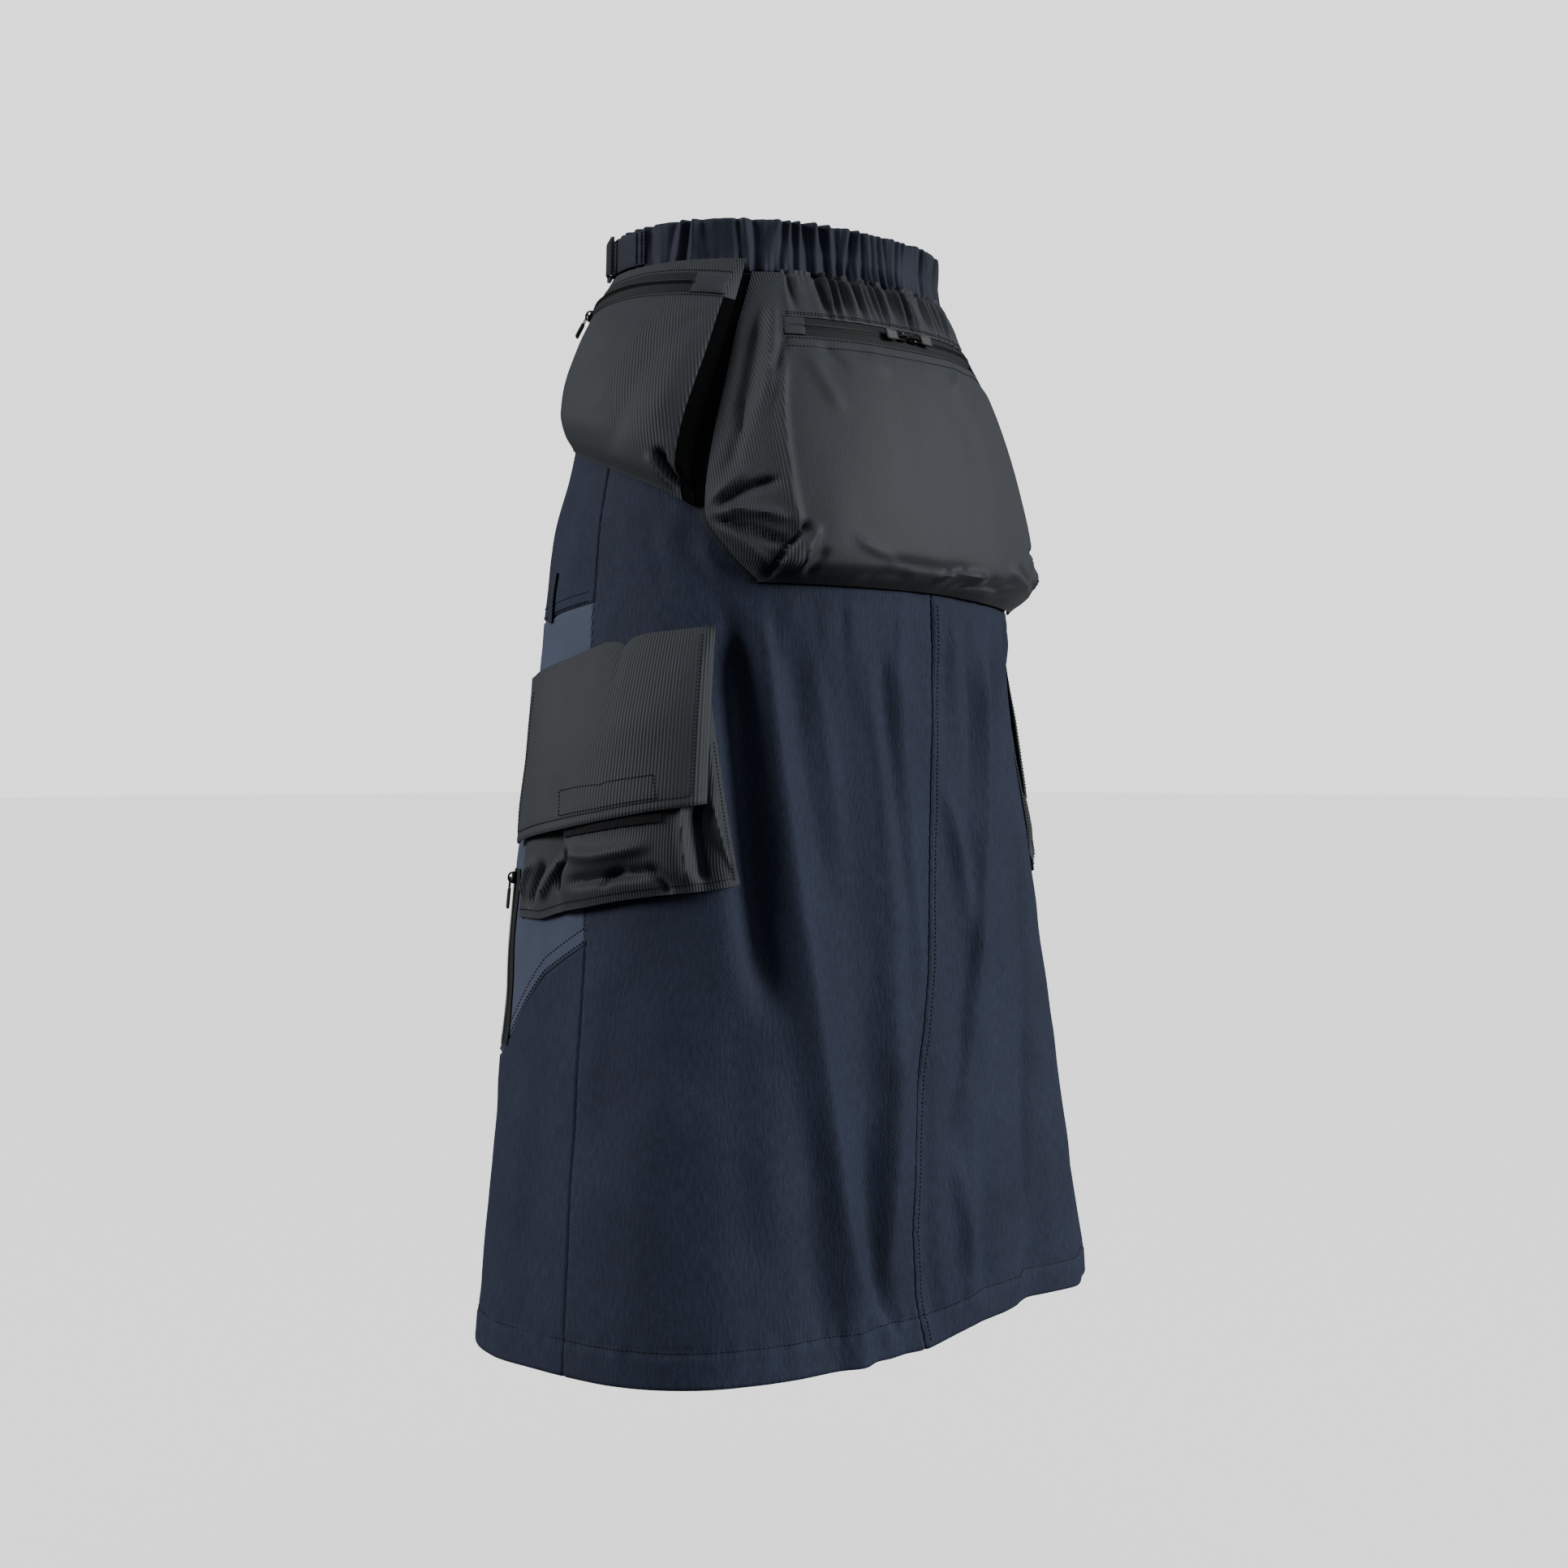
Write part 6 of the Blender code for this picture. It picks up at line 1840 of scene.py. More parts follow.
    def tape(self) -> list[bpy.types.Object]:
        """The zip's tape and teeth."""
        across = np.linspace(0.0, 1.0, 190)[None, :]
        share = np.array([-0.12, 0.0, 0.12, 0.3, 0.42, 0.5, 0.58, 0.7, 0.88, 1.0, 1.12])[:, None]
        z = lerp(BAG_ZIP_TOP, BAG_ZIP_BOTTOM, share) + 0.0 * across
        ridge = self.ridge(z)
        angle = lerp(ridge, 2.0 * BAG_MIDDLE - ridge, across)
        drop = 1.5 * smoothstep((np.abs(share - 0.5) - 0.46) / 0.05)
        lift = self.face_lift(angle, z) - 0.3 - drop + 0.5 * np.exp(-((share - 0.5) / 0.06) ** 2)
        tape = cloth_wall("back_zip_tape", FIGURE.surface(angle, z, lift), TAPE_WALL, (TAPE,))
        middle = (BAG_ZIP_TOP + BAG_ZIP_BOTTOM) / 2.0
        angle = np.linspace(46.0, 142.0, 260)
        level = np.full(angle.shape, middle)
        points = FIGURE.surface(angle, level, self.face_lift(angle, level) + 0.1)
        teeth = Zip().teeth("back_zip_teeth", points, directions(points))
        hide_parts("back_zip")
        return [tape, teeth]

    def sewing(self) -> bpy.types.Object:
        """Stitches in two rows above the zip and two rows below it."""
        rows = []
        angle = np.linspace(45.0, 143.0, 300)
        for z0, extra in ((BAG_ZIP_TOP + 2.2, 0.15), (BAG_ZIP_TOP + 3.6, 0.15)):
            z = np.full(angle.shape, z0)
            points = FIGURE.surface(angle, z, self.strip_lift(angle, z) + extra)
            rows.append((points, directions(points)))
        for z0 in (BAG_ZIP_BOTTOM - 2.4, BAG_ZIP_BOTTOM - 9.0):
            z = np.full(angle.shape, z0)
            creases = crease_height(BAG_CREASES, FIGURE, angle, z)
            lift = self.face_lift(angle, z) + creases + self.swell.at(angle, z)
            points = FIGURE.surface(angle, z, lift + 0.15)
            rows.append((points, directions(points)))
        return self.rows_of_stitches.sew("bag_stitching", rows)

    def end_tabs(self) -> list[bpy.types.Object]:
        """Folded tabs over the ends of the zip."""
        pieces = []
        for word, start, end in (("left", 44.4, 50.5), ("right", 143.6, 137.5)):
            across = np.linspace(0.0, 1.0, 10)[None, :]
            down = np.linspace(0.0, 1.0, 9)[:, None]
            z = lerp(BAG_ZIP_TOP - 0.4, BAG_ZIP_BOTTOM + 0.4, down) + 0.0 * across
            angle = lerp(start, end, across) + 0.0 * down
            side = np.minimum(across, 1.0 - across) * 12.0
            edge = np.minimum(side, np.minimum(down, 1.0 - down) * 14.0)
            lift = self.face_lift(angle, z) + 0.9 - 0.7 * np.exp(-edge)
            points = FIGURE.surface(angle, z, lift)
            piece = cloth_wall("zip_tab_" + word, points, 0.9, (CHARCOAL,))
            pieces.append(piece)
        return pieces

    def build(self) -> list[bpy.types.Object]:
        """Makes the bag.

        Returns:
            The pieces.
        """
        pieces = [self.yoke(), self.bag(), self.top_strip(), *self.tape(), self.sewing()]
        pieces += self.end_tabs()
        middle = (BAG_ZIP_TOP + BAG_ZIP_BOTTOM) / 2.0
        for word, side in (("left", -1.0), ("right", 1.0)):
            angle = self.slider_middle + side * self.slider_spread
            lift = float(self.face_lift(np.array(angle), np.array(middle))) + 2.0 * LAID_GAP
            face = face_seat(angle, middle, lift)
            along = face.along * side
            across = np.cross(face.out, along)
            seat = Seat(face.origin, along, across, face.out)
            slider = "back_slider_" + word
            pieces.append(Slider().build(slider + "_body", seat, slider))
            pieces += Slider().pull("back_pull_" + word, seat, "back_pull_" + word, 12.0, 8.4)
        return pieces


# ----------------------------------------
# Hip pouches
# ----------------------------------------

POUCH_CREASES = (
    Crease(((16, -52), (11, -90), (6, -130), (3, -155)), 8.0, -1.6, 1.0, 0.3),
    Crease(((9, -50), (3, -85), (-2, -125)), 7.0, 1.4, 1.0, 0.35),
    Crease(((24, -60), (18, -100), (14, -150)), 8.0, 1.5, 1.0, 0.35),
    Crease(((-8, -60), (-13, -95), (-16, -130)), 8.0, -1.5, 1.0, 0.35),
    Crease(((16.5, -150), (18.5, -164), (21.5, -176), (26, -192)), 2.6, -8.0, 0.6, 0.15),
    Crease(((14, -154), (16, -168), (20, -184)), 3.0, 3.6, 1.0, 0.25),
    Crease(((21, -158), (23, -172), (27, -188)), 2.8, 3.4, 1.0, 0.25),
    Crease(((26, -160), (26.5, -174), (28, -190)), 2.4, -4.0, 1.0, 0.25),
    Crease(((24, -46), (20, -60), (14, -70)), 5.0, -1.4, 1.0, 0.4),
    Crease(((-30, -60), (-33, -90), (-36, -118)), 8.0, 1.5, 1.0, 0.35),
    Crease(((-46, -50), (-47, -80), (-48, -110)), 8.0, -1.5, 1.0, 0.35),
)


@dataclass
class HipPouch:
    """One hip pouch with its curved zip."""

    word: str
    side: int
    step: float = 2.5
    wall: float = 1.3
    stitches: Seamstress = field(default_factory=lambda: Seamstress(FIGURE, 2.4, 1.7, 0.32))

    def __post_init__(self) -> None:
        """Makes the creases of this side."""
        self.creases = list(POUCH_CREASES)
        if self.side < 0:
            self.creases = mirrored_creases(POUCH_CREASES, 90.0, 41)
        self.swell = Rumple(43 + self.side, 9.0, 34.0, 0.7)

    def place(
        self, share: np.ndarray, down: np.ndarray, extra: float = 0.0, plain: bool = False,
    ) -> Places:
        """Angle, height and lift of a place of the pouch.

        Args:
            share: from the rear edge (0) to the front edge (1).
            down: from the top (0) to the bottom (1).
            extra: millimetres further out.
            plain: leaves out the creases.
        Returns:
            Angle, height and lift.
        """
        share, down = np.broadcast_arrays(np.asarray(share, float), np.asarray(down, float))
        rear_low = float(knots(POUCH_REAR, np.array(-194.0)))
        bottom = smooth_table(POUCH_BOTTOM, 1, lerp(rear_low, POUCH_FRONT_ANGLE, share))
        z = POUCH_TOP + (bottom - POUCH_TOP) * down
        rear_z = POUCH_TOP + (float(knots(POUCH_BOTTOM, np.array(25.0))) - POUCH_TOP) * down
        rear = smooth_table(POUCH_REAR, 1, rear_z)
        if self.side < 0:
            rear = rear - (2.0 * BAG_MIDDLE - 180.0)
        angle = rear + (POUCH_FRONT_ANGLE - rear) * share
        row_lift = smooth_table(POUCH_ROWS, 1, down)
        rim = 5.2 + (RIM_LIFT - 5.2) * np.minimum(1.0, down / 0.12)
        lift = rim + np.maximum(0.0, row_lift - rim) * smooth_table(POUCH_COLUMNS, 1, share)
        angle = angle if self.side > 0 else 180.0 - angle
        if not plain:
            calm = np.clip((lift - RIM_LIFT) / 6.0, 0.0, 1.0) * smoothstep((down - 0.18) / 0.1)
            form = crease_height(self.creases, FIGURE, angle, z) + self.swell.at(angle, z)
            lift = lift + form * calm
            lift = lift - self.channel(share, down)
        return angle, z, lift + extra

    def channel(self, share: np.ndarray, down: np.ndarray) -> np.ndarray:
        """Depth of the channel that the zip lies in."""
        upper, lower = self.zip_rows(share)
        inside = smoothstep((down - upper) / 0.012) * smoothstep((lower - down) / 0.012)
        ends = smoothstep((share - 0.055) / 0.01) * smoothstep((0.9 - share) / 0.02)
        return 0.6 * inside * ends

    def zip_rows(self, share: np.ndarray) -> tuple[np.ndarray, np.ndarray]:
        """Row shares of the zip's upper and lower edge."""
        rear_low = float(knots(POUCH_REAR, np.array(-194.0)))
        middle = smooth_table(HIP_ZIP_MIDDLE, 1, share)
        height = POUCH_TOP - knots(POUCH_BOTTOM, lerp(rear_low, POUCH_FRONT_ANGLE, share))
        half = HIP_ZIP_HEIGHT / 2.0 / height
        return middle - half, middle + half

    def body(self) -> bpy.types.Object:
        """The pouch's cloth, with its rear side painted near black as shade."""
        share = stretches((0.0, 0.06, 0.9, 1.0), (10, 77, 11))[None, :]
        down = stretches((0.0, 0.26, 0.9, 1.0), (37, 47, 9))[:, None]
        angle, z, lift = self.place(share, down)
        points = FIGURE.surface(angle, z, lift)
        uv = np.stack((np.radians(angle) * 0.16 + z * MM * 0.12, z * MM), axis=-1)
        cell = np.broadcast_to((share[:, :-1] + share[:, 1:]) / 2.0, (down.size - 1, share.size - 1))
        low = np.broadcast_to((down[:-1] + down[1:]) / 2.0, cell.shape)
        # The rear side strip takes the near-black finish: painted shade.
        slots = np.where((cell < 0.034) & (low > 0.17), 1, 0)
        piece = cloth_wall(
            "hip_pouch_cloth_" + self.word, points, self.wall, (CORDED, SHADE_GUSSET), slots=slots, uv=uv,
        )
        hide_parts("hip_pouch_" + self.word)
        return piece

    def gusset(self) -> bpy.types.Object:
        """A near-black strip of cloth in the gap between the pouch and the bag: painted shade, standing
        in for the deep shadow there.
        """
        across = np.linspace(0.0, 1.0, 12)[None, :]
        z = np.linspace(-22.0, -192.0, 60)[:, None] + 0.0 * across
        rear = smooth_table(POUCH_REAR, 1, z) - 0.5
        bag = smooth_table(BAG_EDGE, 1, z) - 0.3
        if self.side < 0:
            turn = 2.0 * BAG_MIDDLE - 180.0
            rear, bag = 180.0 - (rear - turn), 2.0 * BAG_MIDDLE - bag
        angle = rear + (bag - rear) * across
        points = FIGURE.surface(angle, z, 1.35)
        piece = cloth_wall("pouch_gusset_painted_shade_cloth_" + self.word, points, 0.8, (SHADE_GUSSET,))
        return piece

    def zip(self) -> list[bpy.types.Object]:
        """Tape, teeth, end tab and stitches."""
        share = np.linspace(0.075, 0.9, 150)[None, :]
        upper, lower = self.zip_rows(share)
        across = np.array([0.0, 0.05, 0.14, 0.32, 0.43, 0.5, 0.57, 0.68, 0.86, 0.95, 1.0])[:, None]
        down = upper + (lower - upper) * across
        edge = 0.7 * smoothstep((np.abs(across - 0.5) - 0.42) / 0.08)
        bead = 0.4 * np.exp(-((across - 0.5) / 0.07) ** 2)
        angle, z, lift = self.place(share, down, 0.9, True)
        points = FIGURE.surface(angle, z, lift - edge + bead)
        tape = cloth_wall("hip_zip_tape_" + self.word, points, TAPE_WALL, (TAPE,))
        middle_share = np.linspace(0.14, 0.89, 260)
        upper, lower = self.zip_rows(middle_share)
        angle, z, lift = self.place(middle_share, (upper + lower) / 2.0, 1.3, True)
        points = FIGURE.surface(angle, z, lift)
        teeth = Zip().teeth("hip_zip_teeth_" + self.word, points, directions(points))
        rows = []
        line = np.linspace(0.03, 0.9, 240)
        upper, lower = self.zip_rows(line)
        for place in (upper - 0.012, lower + 0.012):
            angle, z, lift = self.place(line, place, 0.2)
            points = FIGURE.surface(angle, z, lift)
            rows.append((points, directions(points)))
        sewing = self.stitches.sew("pouch_stitching_" + self.word, rows)
        across = np.linspace(0.0, 1.0, 12)[None, :]
        share = 0.035 + 0.105 * across
        upper, lower = self.zip_rows(share)
        along = np.linspace(0.0, 1.0, 9)[:, None]
        lip = np.minimum(np.minimum(across, 1.0 - across) * 9.0, np.minimum(along, 1.0 - along) * 9.0)
        angle, z, lift = self.place(share, upper + (lower - upper) * along, 1.9, True)
        points = FIGURE.surface(angle, z, lift - 0.9 * np.exp(-lip))
        tab = cloth_wall("hip_zip_tab_" + self.word, points, 1.0, (CHARCOAL,))
        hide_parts("hip_zip_" + self.word)
        return [tape, teeth, sewing, tab]

    def build(self) -> list[bpy.types.Object]:
        """Makes the pouch.

        Returns:
            The pieces.
        """
        pieces = [self.body(), *self.zip(), self.gusset()]
        upper, lower = self.zip_rows(np.array(HIP_SLIDER_SHARE))
        middle = float((upper + lower) / 2.0)
        lift = TAPE_WALL + 2.0 * LAID_GAP + 0.3

        def at(share: float, down: float) -> np.ndarray:
            """A point of the plain pouch."""
            angle, z, height = self.place(np.array(share), np.array(down), lift, True)
            return FIGURE.surface(angle, z, height)

        here = at(HIP_SLIDER_SHARE, middle)
        along = at(HIP_SLIDER_SHARE, middle + 0.05) - here
        along /= np.linalg.norm(along)
        out = np.cross(along, at(HIP_SLIDER_SHARE + 0.03, middle) - here)
        out /= np.linalg.norm(out)
        if out[:2] @ here[:2] < 0.0:
            out = -out
        seat = Seat(here, along, np.cross(out, along), out)
        slider = "hip_slider_" + self.word
        pieces.append(Slider().build(slider + "_body", seat, slider))
        pieces += Slider().pull("hip_pull_" + self.word, seat, "hip_pull_" + self.word, 12.0, 8.4)
        return pieces


# ----------------------------------------
# Cargo pockets
# ----------------------------------------

CARGO_CREASES = (
    Crease(((26, -388), (26.4, -420), (27.5, -454)), 2.4, 3.2, 0.8, 0.15),
    Crease(((28.6, -390), (29, -420), (30.5, -452)), 2.8, -9.0, 0.6, 0.15),
    Crease(((31, -390), (33, -418), (36.5, -450)), 2.8, 4.6, 1.0, 0.2),
    Crease(((34, -420), (35.5, -436), (38, -448)), 2.4, -3.4, 1.0, 0.25),
    Crease(((22, -424), (15, -431), (8, -435), (1, -431)), 4.6, 5.0, 0.8, 0.25),
    Crease(((23, -444), (16, -446), (9, -450), (2, -454)), 4.0, -5.6, 1.0, 0.25),
    Crease(((17, -440), (13, -448), (11, -456)), 2.6, -4.4, 1.0, 0.3),
    Crease(((4, -430), (1, -444), (-1, -462)), 2.8, -7.0, 0.7, 0.2),
    Crease(((1, -434), (-3, -450), (-6, -468)), 2.8, 4.6, 1.0, 0.2),
    Crease(((-5, -440), (-8, -456), (-10, -474)), 3.0, -7.0, 0.7, 0.2),
    Crease(((-9, -438), (-12, -452), (-13, -468)), 3.0, 4.4, 1.0, 0.25),
    Crease(((20, -438), (23, -450), (24, -460)), 3.0, -4.6, 1.0, 0.25),
)


@dataclass
class CargoPocket:
    """One cargo pocket: bellows body, flap and loop strip."""

    word: str
    side: int
    wall: float = 1.1
    flap_wall: float = 1.6
    flap_width: float = 165.0
    flap_drop: float = 122.0
    stitches: Seamstress = field(default_factory=lambda: Seamstress(FIGURE, 2.6, 1.8, 0.36))

    def __post_init__(self) -> None:
        """Makes the faint swell of this side."""
        self.swell = Rumple(61 + self.side, 5.0, 30.0, 0.6)

    def surface(self, angle: np.ndarray, z: np.ndarray, lift: np.ndarray) -> np.ndarray:
        """Points over the pocket's place; the lift is measured above the rim's own."""
        if self.side > 0:
            return FIGURE.surface(angle, z, RIM_LIFT + lift)
        return FIGURE.surface(180.0 + RIGHT_TURN - angle, z, RIM_LIFT + lift * CARGO_RIGHT_LIFT)

    def body_place(self, place: np.ndarray, down: np.ndarray) -> Places:
        """Angle, height and lift of a place of the body; place counts its columns from the rear."""
        place, down = np.broadcast_arrays(np.asarray(place, float), np.asarray(down, float))
        table = [(float(n), *row) for n, row in enumerate(CARGO_COLUMNS)]
        top, bottom, lift, low = (smooth_table(table, column, place) for column in (1, 2, 3, 4))
        angle = top + (bottom - top) * down
        high = knots(CARGO_TOP, top)
        z = high + (low - high) * down
        height = (lift - RIM_LIFT) * smooth_table(CARGO_ROWS, 1, down)
        return angle, z, height

    def body(self) -> bpy.types.Object:
        """The bellows body."""
        place = np.linspace(0.0, len(CARGO_COLUMNS) - 1.0, 110)[None, :]
        down = stretches((0.0, 0.9, 1.0), (59, 11))[:, None]
        angle, z, lift = self.body_place(place, down)
        calm = smoothstep((down - 0.3) / 0.2)
        uv = cloth_uv(self.surface(angle, z, lift))
        lift = lift + crease_height(CARGO_CREASES, FIGURE, angle, z) * calm + self.swell.at(angle, z)
        lift = lift + rolled(place * 4.0, 0.5) + rolled((11.0 - place) * 4.0, 0.5)
        points = self.surface(angle, z, lift)
        piece = cloth_wall("cargo_body_cloth_" + self.word, points, self.wall, (CORDED,), uv=uv)
        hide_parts("cargo_pocket_" + self.word)
        return piece

    def flap_place(self, share: np.ndarray, down: np.ndarray, extra: float = 0.0) -> Places:
        """Angle, height and lift of a place of the flap."""
        share, down = np.broadcast_arrays(np.asarray(share, float), np.asarray(down, float))
        angle = lerp(FLAP_REAR, FLAP_FRONT, share)
        top, bottom = knots(FLAP_TOP, angle), knots(FLAP_BOTTOM, angle)
        z = top + (bottom - top) * down
        row_lift, front = smooth_table(FLAP_ROWS, 1, down), smooth_table(FLAP_ROWS, 2, down)
        lift = np.maximum(RIM_LIFT, row_lift * smooth_table(FLAP_COLUMNS, 1, share))
        lift = lift + (front - lift) * smooth_table(FLAP_COLUMNS, 2, share)
        play = FLAP_PLAY / CARGO_RIGHT_LIFT if self.side < 0 else 0.0
        return angle, z, lift - RIM_LIFT + play + extra

    def flap(self) -> bpy.types.Object:
        """The flap, two layers of cloth with a soft edge."""
        share = spaced(self.flap_width, 2.3)[None, :]
        down = spaced(self.flap_drop, 2.3)[:, None]
        angle, z, lift = self.flap_place(share, down)
        lift = lift + self.swell.at(angle + 40.0, z) * smoothstep(down / 0.2)
        across, along = share * self.flap_width, (1.0 - down) * self.flap_drop
        for distance in (across, self.flap_width - across, along):
            lift = lift + rolled(distance, 0.7) - 0.35 * np.exp(-((distance - 7.0) / 1.6) ** 2)
        uv = np.stack(np.broadcast_arrays(across * MM, along * MM), axis=-1)
        points = self.surface(angle, z, lift)
        piece = cloth_wall("cargo_flap_cloth_" + self.word, points, self.flap_wall, (CORDED,), uv=uv)
        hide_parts("cargo_flap_" + self.word)
        self.sewing()
        return piece

    def flap_line(self, places: Sequence[tuple[float, float]]) -> tuple[np.ndarray, np.ndarray]:
        """Points over the flap through places given as (share, down), and directions there."""
        rows = np.array(places)
        run = np.linspace(0.0, len(rows) - 1.0, 60 * (len(rows) - 1))
        share = np.interp(run, np.arange(len(rows)), rows[:, 0])
        down = np.interp(run, np.arange(len(rows)), rows[:, 1])
        angle, z, lift = self.flap_place(share, down, 0.45)
        lift = lift + self.swell.at(angle + 40.0, z) * smoothstep(down / 0.2) - 0.3
        points = self.surface(angle, z, lift)
        return points, directions(points)

    def sewing(self) -> bpy.types.Object:
        """Edge stitches and the stitched rectangle of the flap."""
        rows = [
            self.flap_line(((0.045, 0.04), (0.045, 0.943), (0.955, 0.943), (0.955, 0.1))),
            self.flap_line(((0.60, 0.785), (0.19, 0.80), (0.175, 0.93), (0.585, 0.925), (0.60, 0.785))),
        ]
        return self.stitches.sew("flap_stitching_" + self.word, rows)

    def hem_sewing(self) -> bpy.types.Object:
        """Stitches along the body's lower and rear edges."""
        rows = []
        bottom = (np.linspace(0.3, 10.8, 200), np.full(200, 0.965))
        rear = (np.full(80, 0.35), np.linspace(0.35, 0.98, 80))
        for places, downs in (bottom, rear):
            angle, z, lift = self.body_place(places, downs)
            creases = crease_height(CARGO_CREASES, FIGURE, angle, z)
            lift = lift + creases * smoothstep((downs - 0.3) / 0.2) + self.swell.at(angle, z)
            points = self.surface(angle, z, lift + 0.2)
            rows.append((points, directions(points)))
        return self.stitches.sew("cargo_stitching_" + self.word, rows)

    def loop(self) -> bpy.types.Object:
        """The loop strip, with its fuzz as small random bumps in its face."""
        place = np.linspace(3.95, 7.0, 60)[None, :]
        down = np.linspace(0.60, 0.675, 12)[:, None]
        angle, z, lift = self.body_place(place, down)
        fuzz = np.random.default_rng(5).uniform(-0.25, 0.35, lift.shape)
        creases = crease_height(CARGO_CREASES, FIGURE, angle, z)
        lift = lift + creases + self.swell.at(angle, z) + 1.5 + fuzz
        piece = cloth_wall("cargo_loop_cloth_" + self.word, self.surface(angle, z, lift), 1.4, (PILE,))
        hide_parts("cargo_loop_" + self.word)
        return piece

    def build(self) -> list[bpy.types.Object]:
        """Makes the pocket.

        Returns:
            The pieces.
        """
        return [self.body(), self.flap(), self.loop(), self.hem_sewing()]


# ----------------------------------------
# Front zips and tabs
# ----------------------------------------

@dataclass
class FrontZip:
    """One front zip and the dark tab above it."""

    word: str
    side: int
    shell: Shell
    width: float = 15.0

    def turned(self, angle: np.ndarray) -> np.ndarray:
        """The angle on this side."""
        return angle if self.side > 0 else 180.0 + RIGHT_TURN - angle

    def build(self) -> list[bpy.types.Object]:
        """Makes the zip, its slider and pull, and the tab.

        Returns:
            The pieces.
        """
        down = np.linspace(0.0, 1.0, 60)[:, None]
        across = np.array([1.0, 0.9, 0.7, 0.35, 0.14, 0.0, -0.14, -0.35, -0.7, -0.9, -1.0])[None, :]
        half = math.degrees(self.width / 2.0 / 205.0)
        middle = lerp(FRONT_ZIP_ANGLES[0], FRONT_ZIP_ANGLES[1], down)
        z = lerp(FRONT_ZIP_HEIGHTS[0], FRONT_ZIP_HEIGHTS[1], down)
        angle = self.turned(middle + across * half)
        z = z + 0.0 * across
        lift = 1.7 - 0.7 * smoothstep((np.abs(across) - 0.85) / 0.15)
        lift = lift + 0.4 * np.exp(-(across / 0.14) ** 2)
        form = self.shell.form(angle, z)
        points = FIGURE.surface(angle, z, lift + form)
        tape = cloth_wall("front_zip_tape_" + self.word, points, TAPE_WALL, (TAPE,))
        line = np.linspace(0.0, 0.985, 200)
        angle = self.turned(lerp(FRONT_ZIP_ANGLES[0], FRONT_ZIP_ANGLES[1], line))
        z = lerp(FRONT_ZIP_HEIGHTS[0], FRONT_ZIP_HEIGHTS[1], line)
        points = FIGURE.surface(angle, z, self.shell.form(angle, z) + 2.2)
        teeth = Zip().teeth("front_zip_teeth_" + self.word, points, directions(points))
        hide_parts("front_zip_" + self.word)
        place = float(self.turned(np.array(FRONT_ZIP_ANGLES[0])))
        seat = face_seat(place, FRONT_ZIP_HEIGHTS[0] - 6.5, TAPE_WALL + 2.0 * LAID_GAP)
        seat = Seat(seat.origin, -seat.across, np.cross(seat.out, -seat.across), seat.out)
        pieces = [tape, teeth]
        slider = "front_slider_" + self.word
        pieces.append(Slider().build(slider + "_body", seat, slider))
        pieces += Slider().pull("front_pull_" + self.word, seat, "front_pull_" + self.word, 15.5, 6.0)
        across = np.linspace(1.0, -1.0, 9)[None, :]
        down = np.linspace(0.0, 1.0, 14)[:, None]
        z = lerp(-232.0, -268.0, down) + 0.0 * across
        angle = FRONT_TAB_ANGLE + across * math.degrees(4.5 / 180.0) + 0.0 * down
        angle = angle if self.side > 0 else 180.0 - angle
        lift = 2.6 - 0.6 * smoothstep((np.abs(across) - 0.7) / 0.3) + self.shell.form(angle, z)
        points = FIGURE.surface(angle, z, lift)
        tab = cloth_wall("front_tab_cloth_" + self.word, points, 1.6, (WEBBING,))
        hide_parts("front_tab_" + self.word)
        return pieces + [tab]


# ----------------------------------------
# Studio
# ----------------------------------------

@dataclass(frozen=True)
class Lamp:
    """One broad soft lamp, far enough away to light everything evenly."""

    name: str
    azimuth: float
    elevation: float
    strength: float
    spread: float


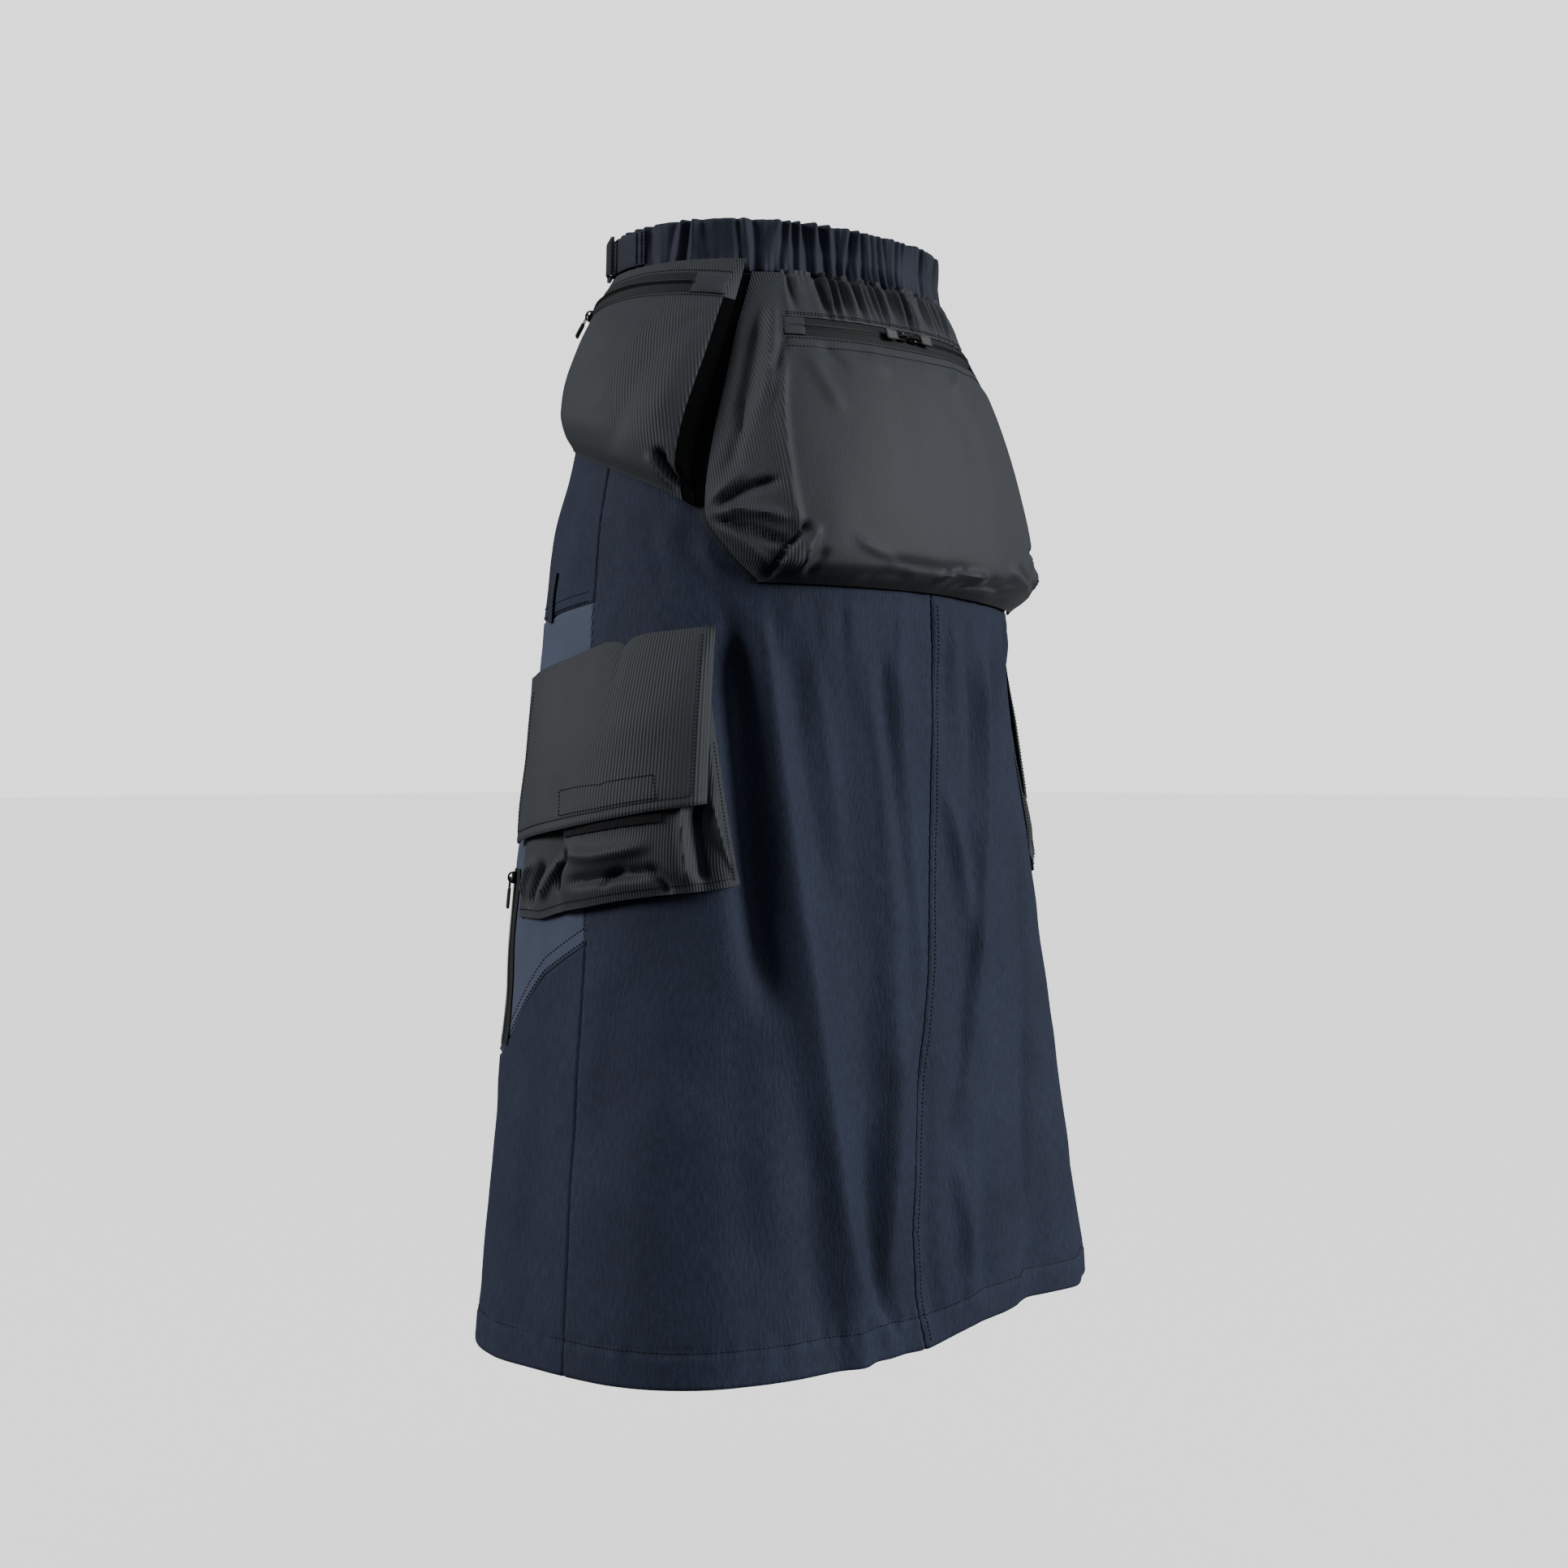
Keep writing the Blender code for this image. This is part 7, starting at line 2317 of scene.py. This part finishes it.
@dataclass(frozen=True)
class Studio:
    """Pale floor, soft lamps and the camera."""

    floor_z: float = -1.30
    camera_place: tuple[float, float, float] = (1.2445, 1.2445, -0.3715)
    lens: float = 52.81
    shift_y: float = -0.0124
    fill: float = 0.16
    backdrop: float = 1.8
    lamps: tuple[Lamp, ...] = (
        Lamp("left softbox", -36.0, 22.0, 5.0, 24.0),
        Lamp("right softbox", 122.0, 18.0, 6.4, 24.0),
        Lamp("overhead softbox", 60.0, 64.0, 1.5, 50.0),
    )

    def floor(self) -> None:
        """A plain pale floor."""
        size = 60.0
        corners = [(-size, -size), (size, -size), (size, size), (-size, size)]
        mesh = bpy.data.meshes.new("studio_floor")
        mesh.from_pydata([(x, y, self.floor_z) for x, y in corners], [], [(0, 1, 2, 3)])
        material = bpy.data.materials.new("studio_floor_white")
        material.use_nodes = True
        shader = material.node_tree.nodes["Principled BSDF"]
        shader.inputs["Base Color"].default_value = (0.9, 0.9, 0.9, 1.0)
        shader.inputs["Roughness"].default_value = 0.9
        mesh.materials.append(material)
        floor = bpy.data.objects.new("studio_floor", mesh)
        floor.visible_diffuse = False
        floor.visible_glossy = False
        bpy.context.scene.collection.objects.link(floor)

    def surround(self) -> None:
        """An even pale surround: a bright backdrop to look at, a weaker fill on the skirt."""
        world = bpy.data.worlds.new("studio_surround")
        world.use_nodes = True
        tree = world.node_tree
        ground = tree.nodes["Background"]
        ground.inputs["Color"].default_value = (1.0, 1.0, 1.0, 1.0)
        seen = tree.nodes.new("ShaderNodeLightPath").outputs["Is Camera Ray"]
        level = tree.nodes.new("ShaderNodeMath")
        level.operation = "MULTIPLY_ADD"
        tree.links.new(seen, level.inputs[0])
        level.inputs[1].default_value = self.backdrop - self.fill
        level.inputs[2].default_value = self.fill
        tree.links.new(level.outputs[0], ground.inputs["Strength"])
        bpy.context.scene.world = world

    def light(self) -> None:
        """Soft lamps."""
        for lamp in self.lamps:
            data = bpy.data.lights.new(lamp.name, "SUN")
            data.energy = lamp.strength
            data.angle = math.radians(lamp.spread)
            light = bpy.data.objects.new(lamp.name, data)
            turn, rise = math.radians(lamp.azimuth), math.radians(lamp.elevation)
            level = math.cos(rise)
            source = Vector((math.cos(turn) * level, math.sin(turn) * level, math.sin(rise)))
            light.rotation_euler = (-source).to_track_quat("-Z", "Y").to_euler()
            bpy.context.scene.collection.objects.link(light)

    def camera(self) -> None:
        """The camera at the photograph's place."""
        data = bpy.data.cameras.new("camera")
        data.lens = self.lens
        data.sensor_width = 36.0
        data.shift_y = self.shift_y
        camera = bpy.data.objects.new("camera", data)
        camera.location = self.camera_place
        camera.rotation_euler = (math.radians(90.0), 0.0, math.radians(135.0))
        bpy.context.scene.collection.objects.link(camera)
        bpy.context.scene.camera = camera

    def build(self) -> None:
        """Sets the studio up."""
        self.floor()
        self.surround()
        self.light()
        self.camera()


def main() -> None:
    """Builds the studio and then the skirt, sub-assembly by sub-assembly."""
    logging.basicConfig(level=logging.INFO, format="%(message)s")
    Studio().build()
    shell = Shell()
    assemblies = [
        ("panels", shell), ("waistband", Waistband()), ("belt", Belt()), ("back bag", BackBag()),
        ("left hip pouch", HipPouch("left", 1)), ("right hip pouch", HipPouch("right", -1)),
        ("left cargo pocket", CargoPocket("left", 1)),
        ("right cargo pocket", CargoPocket("right", -1)),
        ("left front zip", FrontZip("left", 1, shell)),
        ("right front zip", FrontZip("right", -1, shell)),
    ]
    total = 0
    for title, assembly in assemblies:
        for piece in assembly.build():
            count = sum(len(face.vertices) - 2 for face in piece.data.polygons)
            total += count
            LOG.info("%s: %s, %d triangles", title, piece.name, count)
    LOG.info("all pieces: %d triangles", total)
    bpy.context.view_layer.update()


if __name__ == "__main__":
    main()
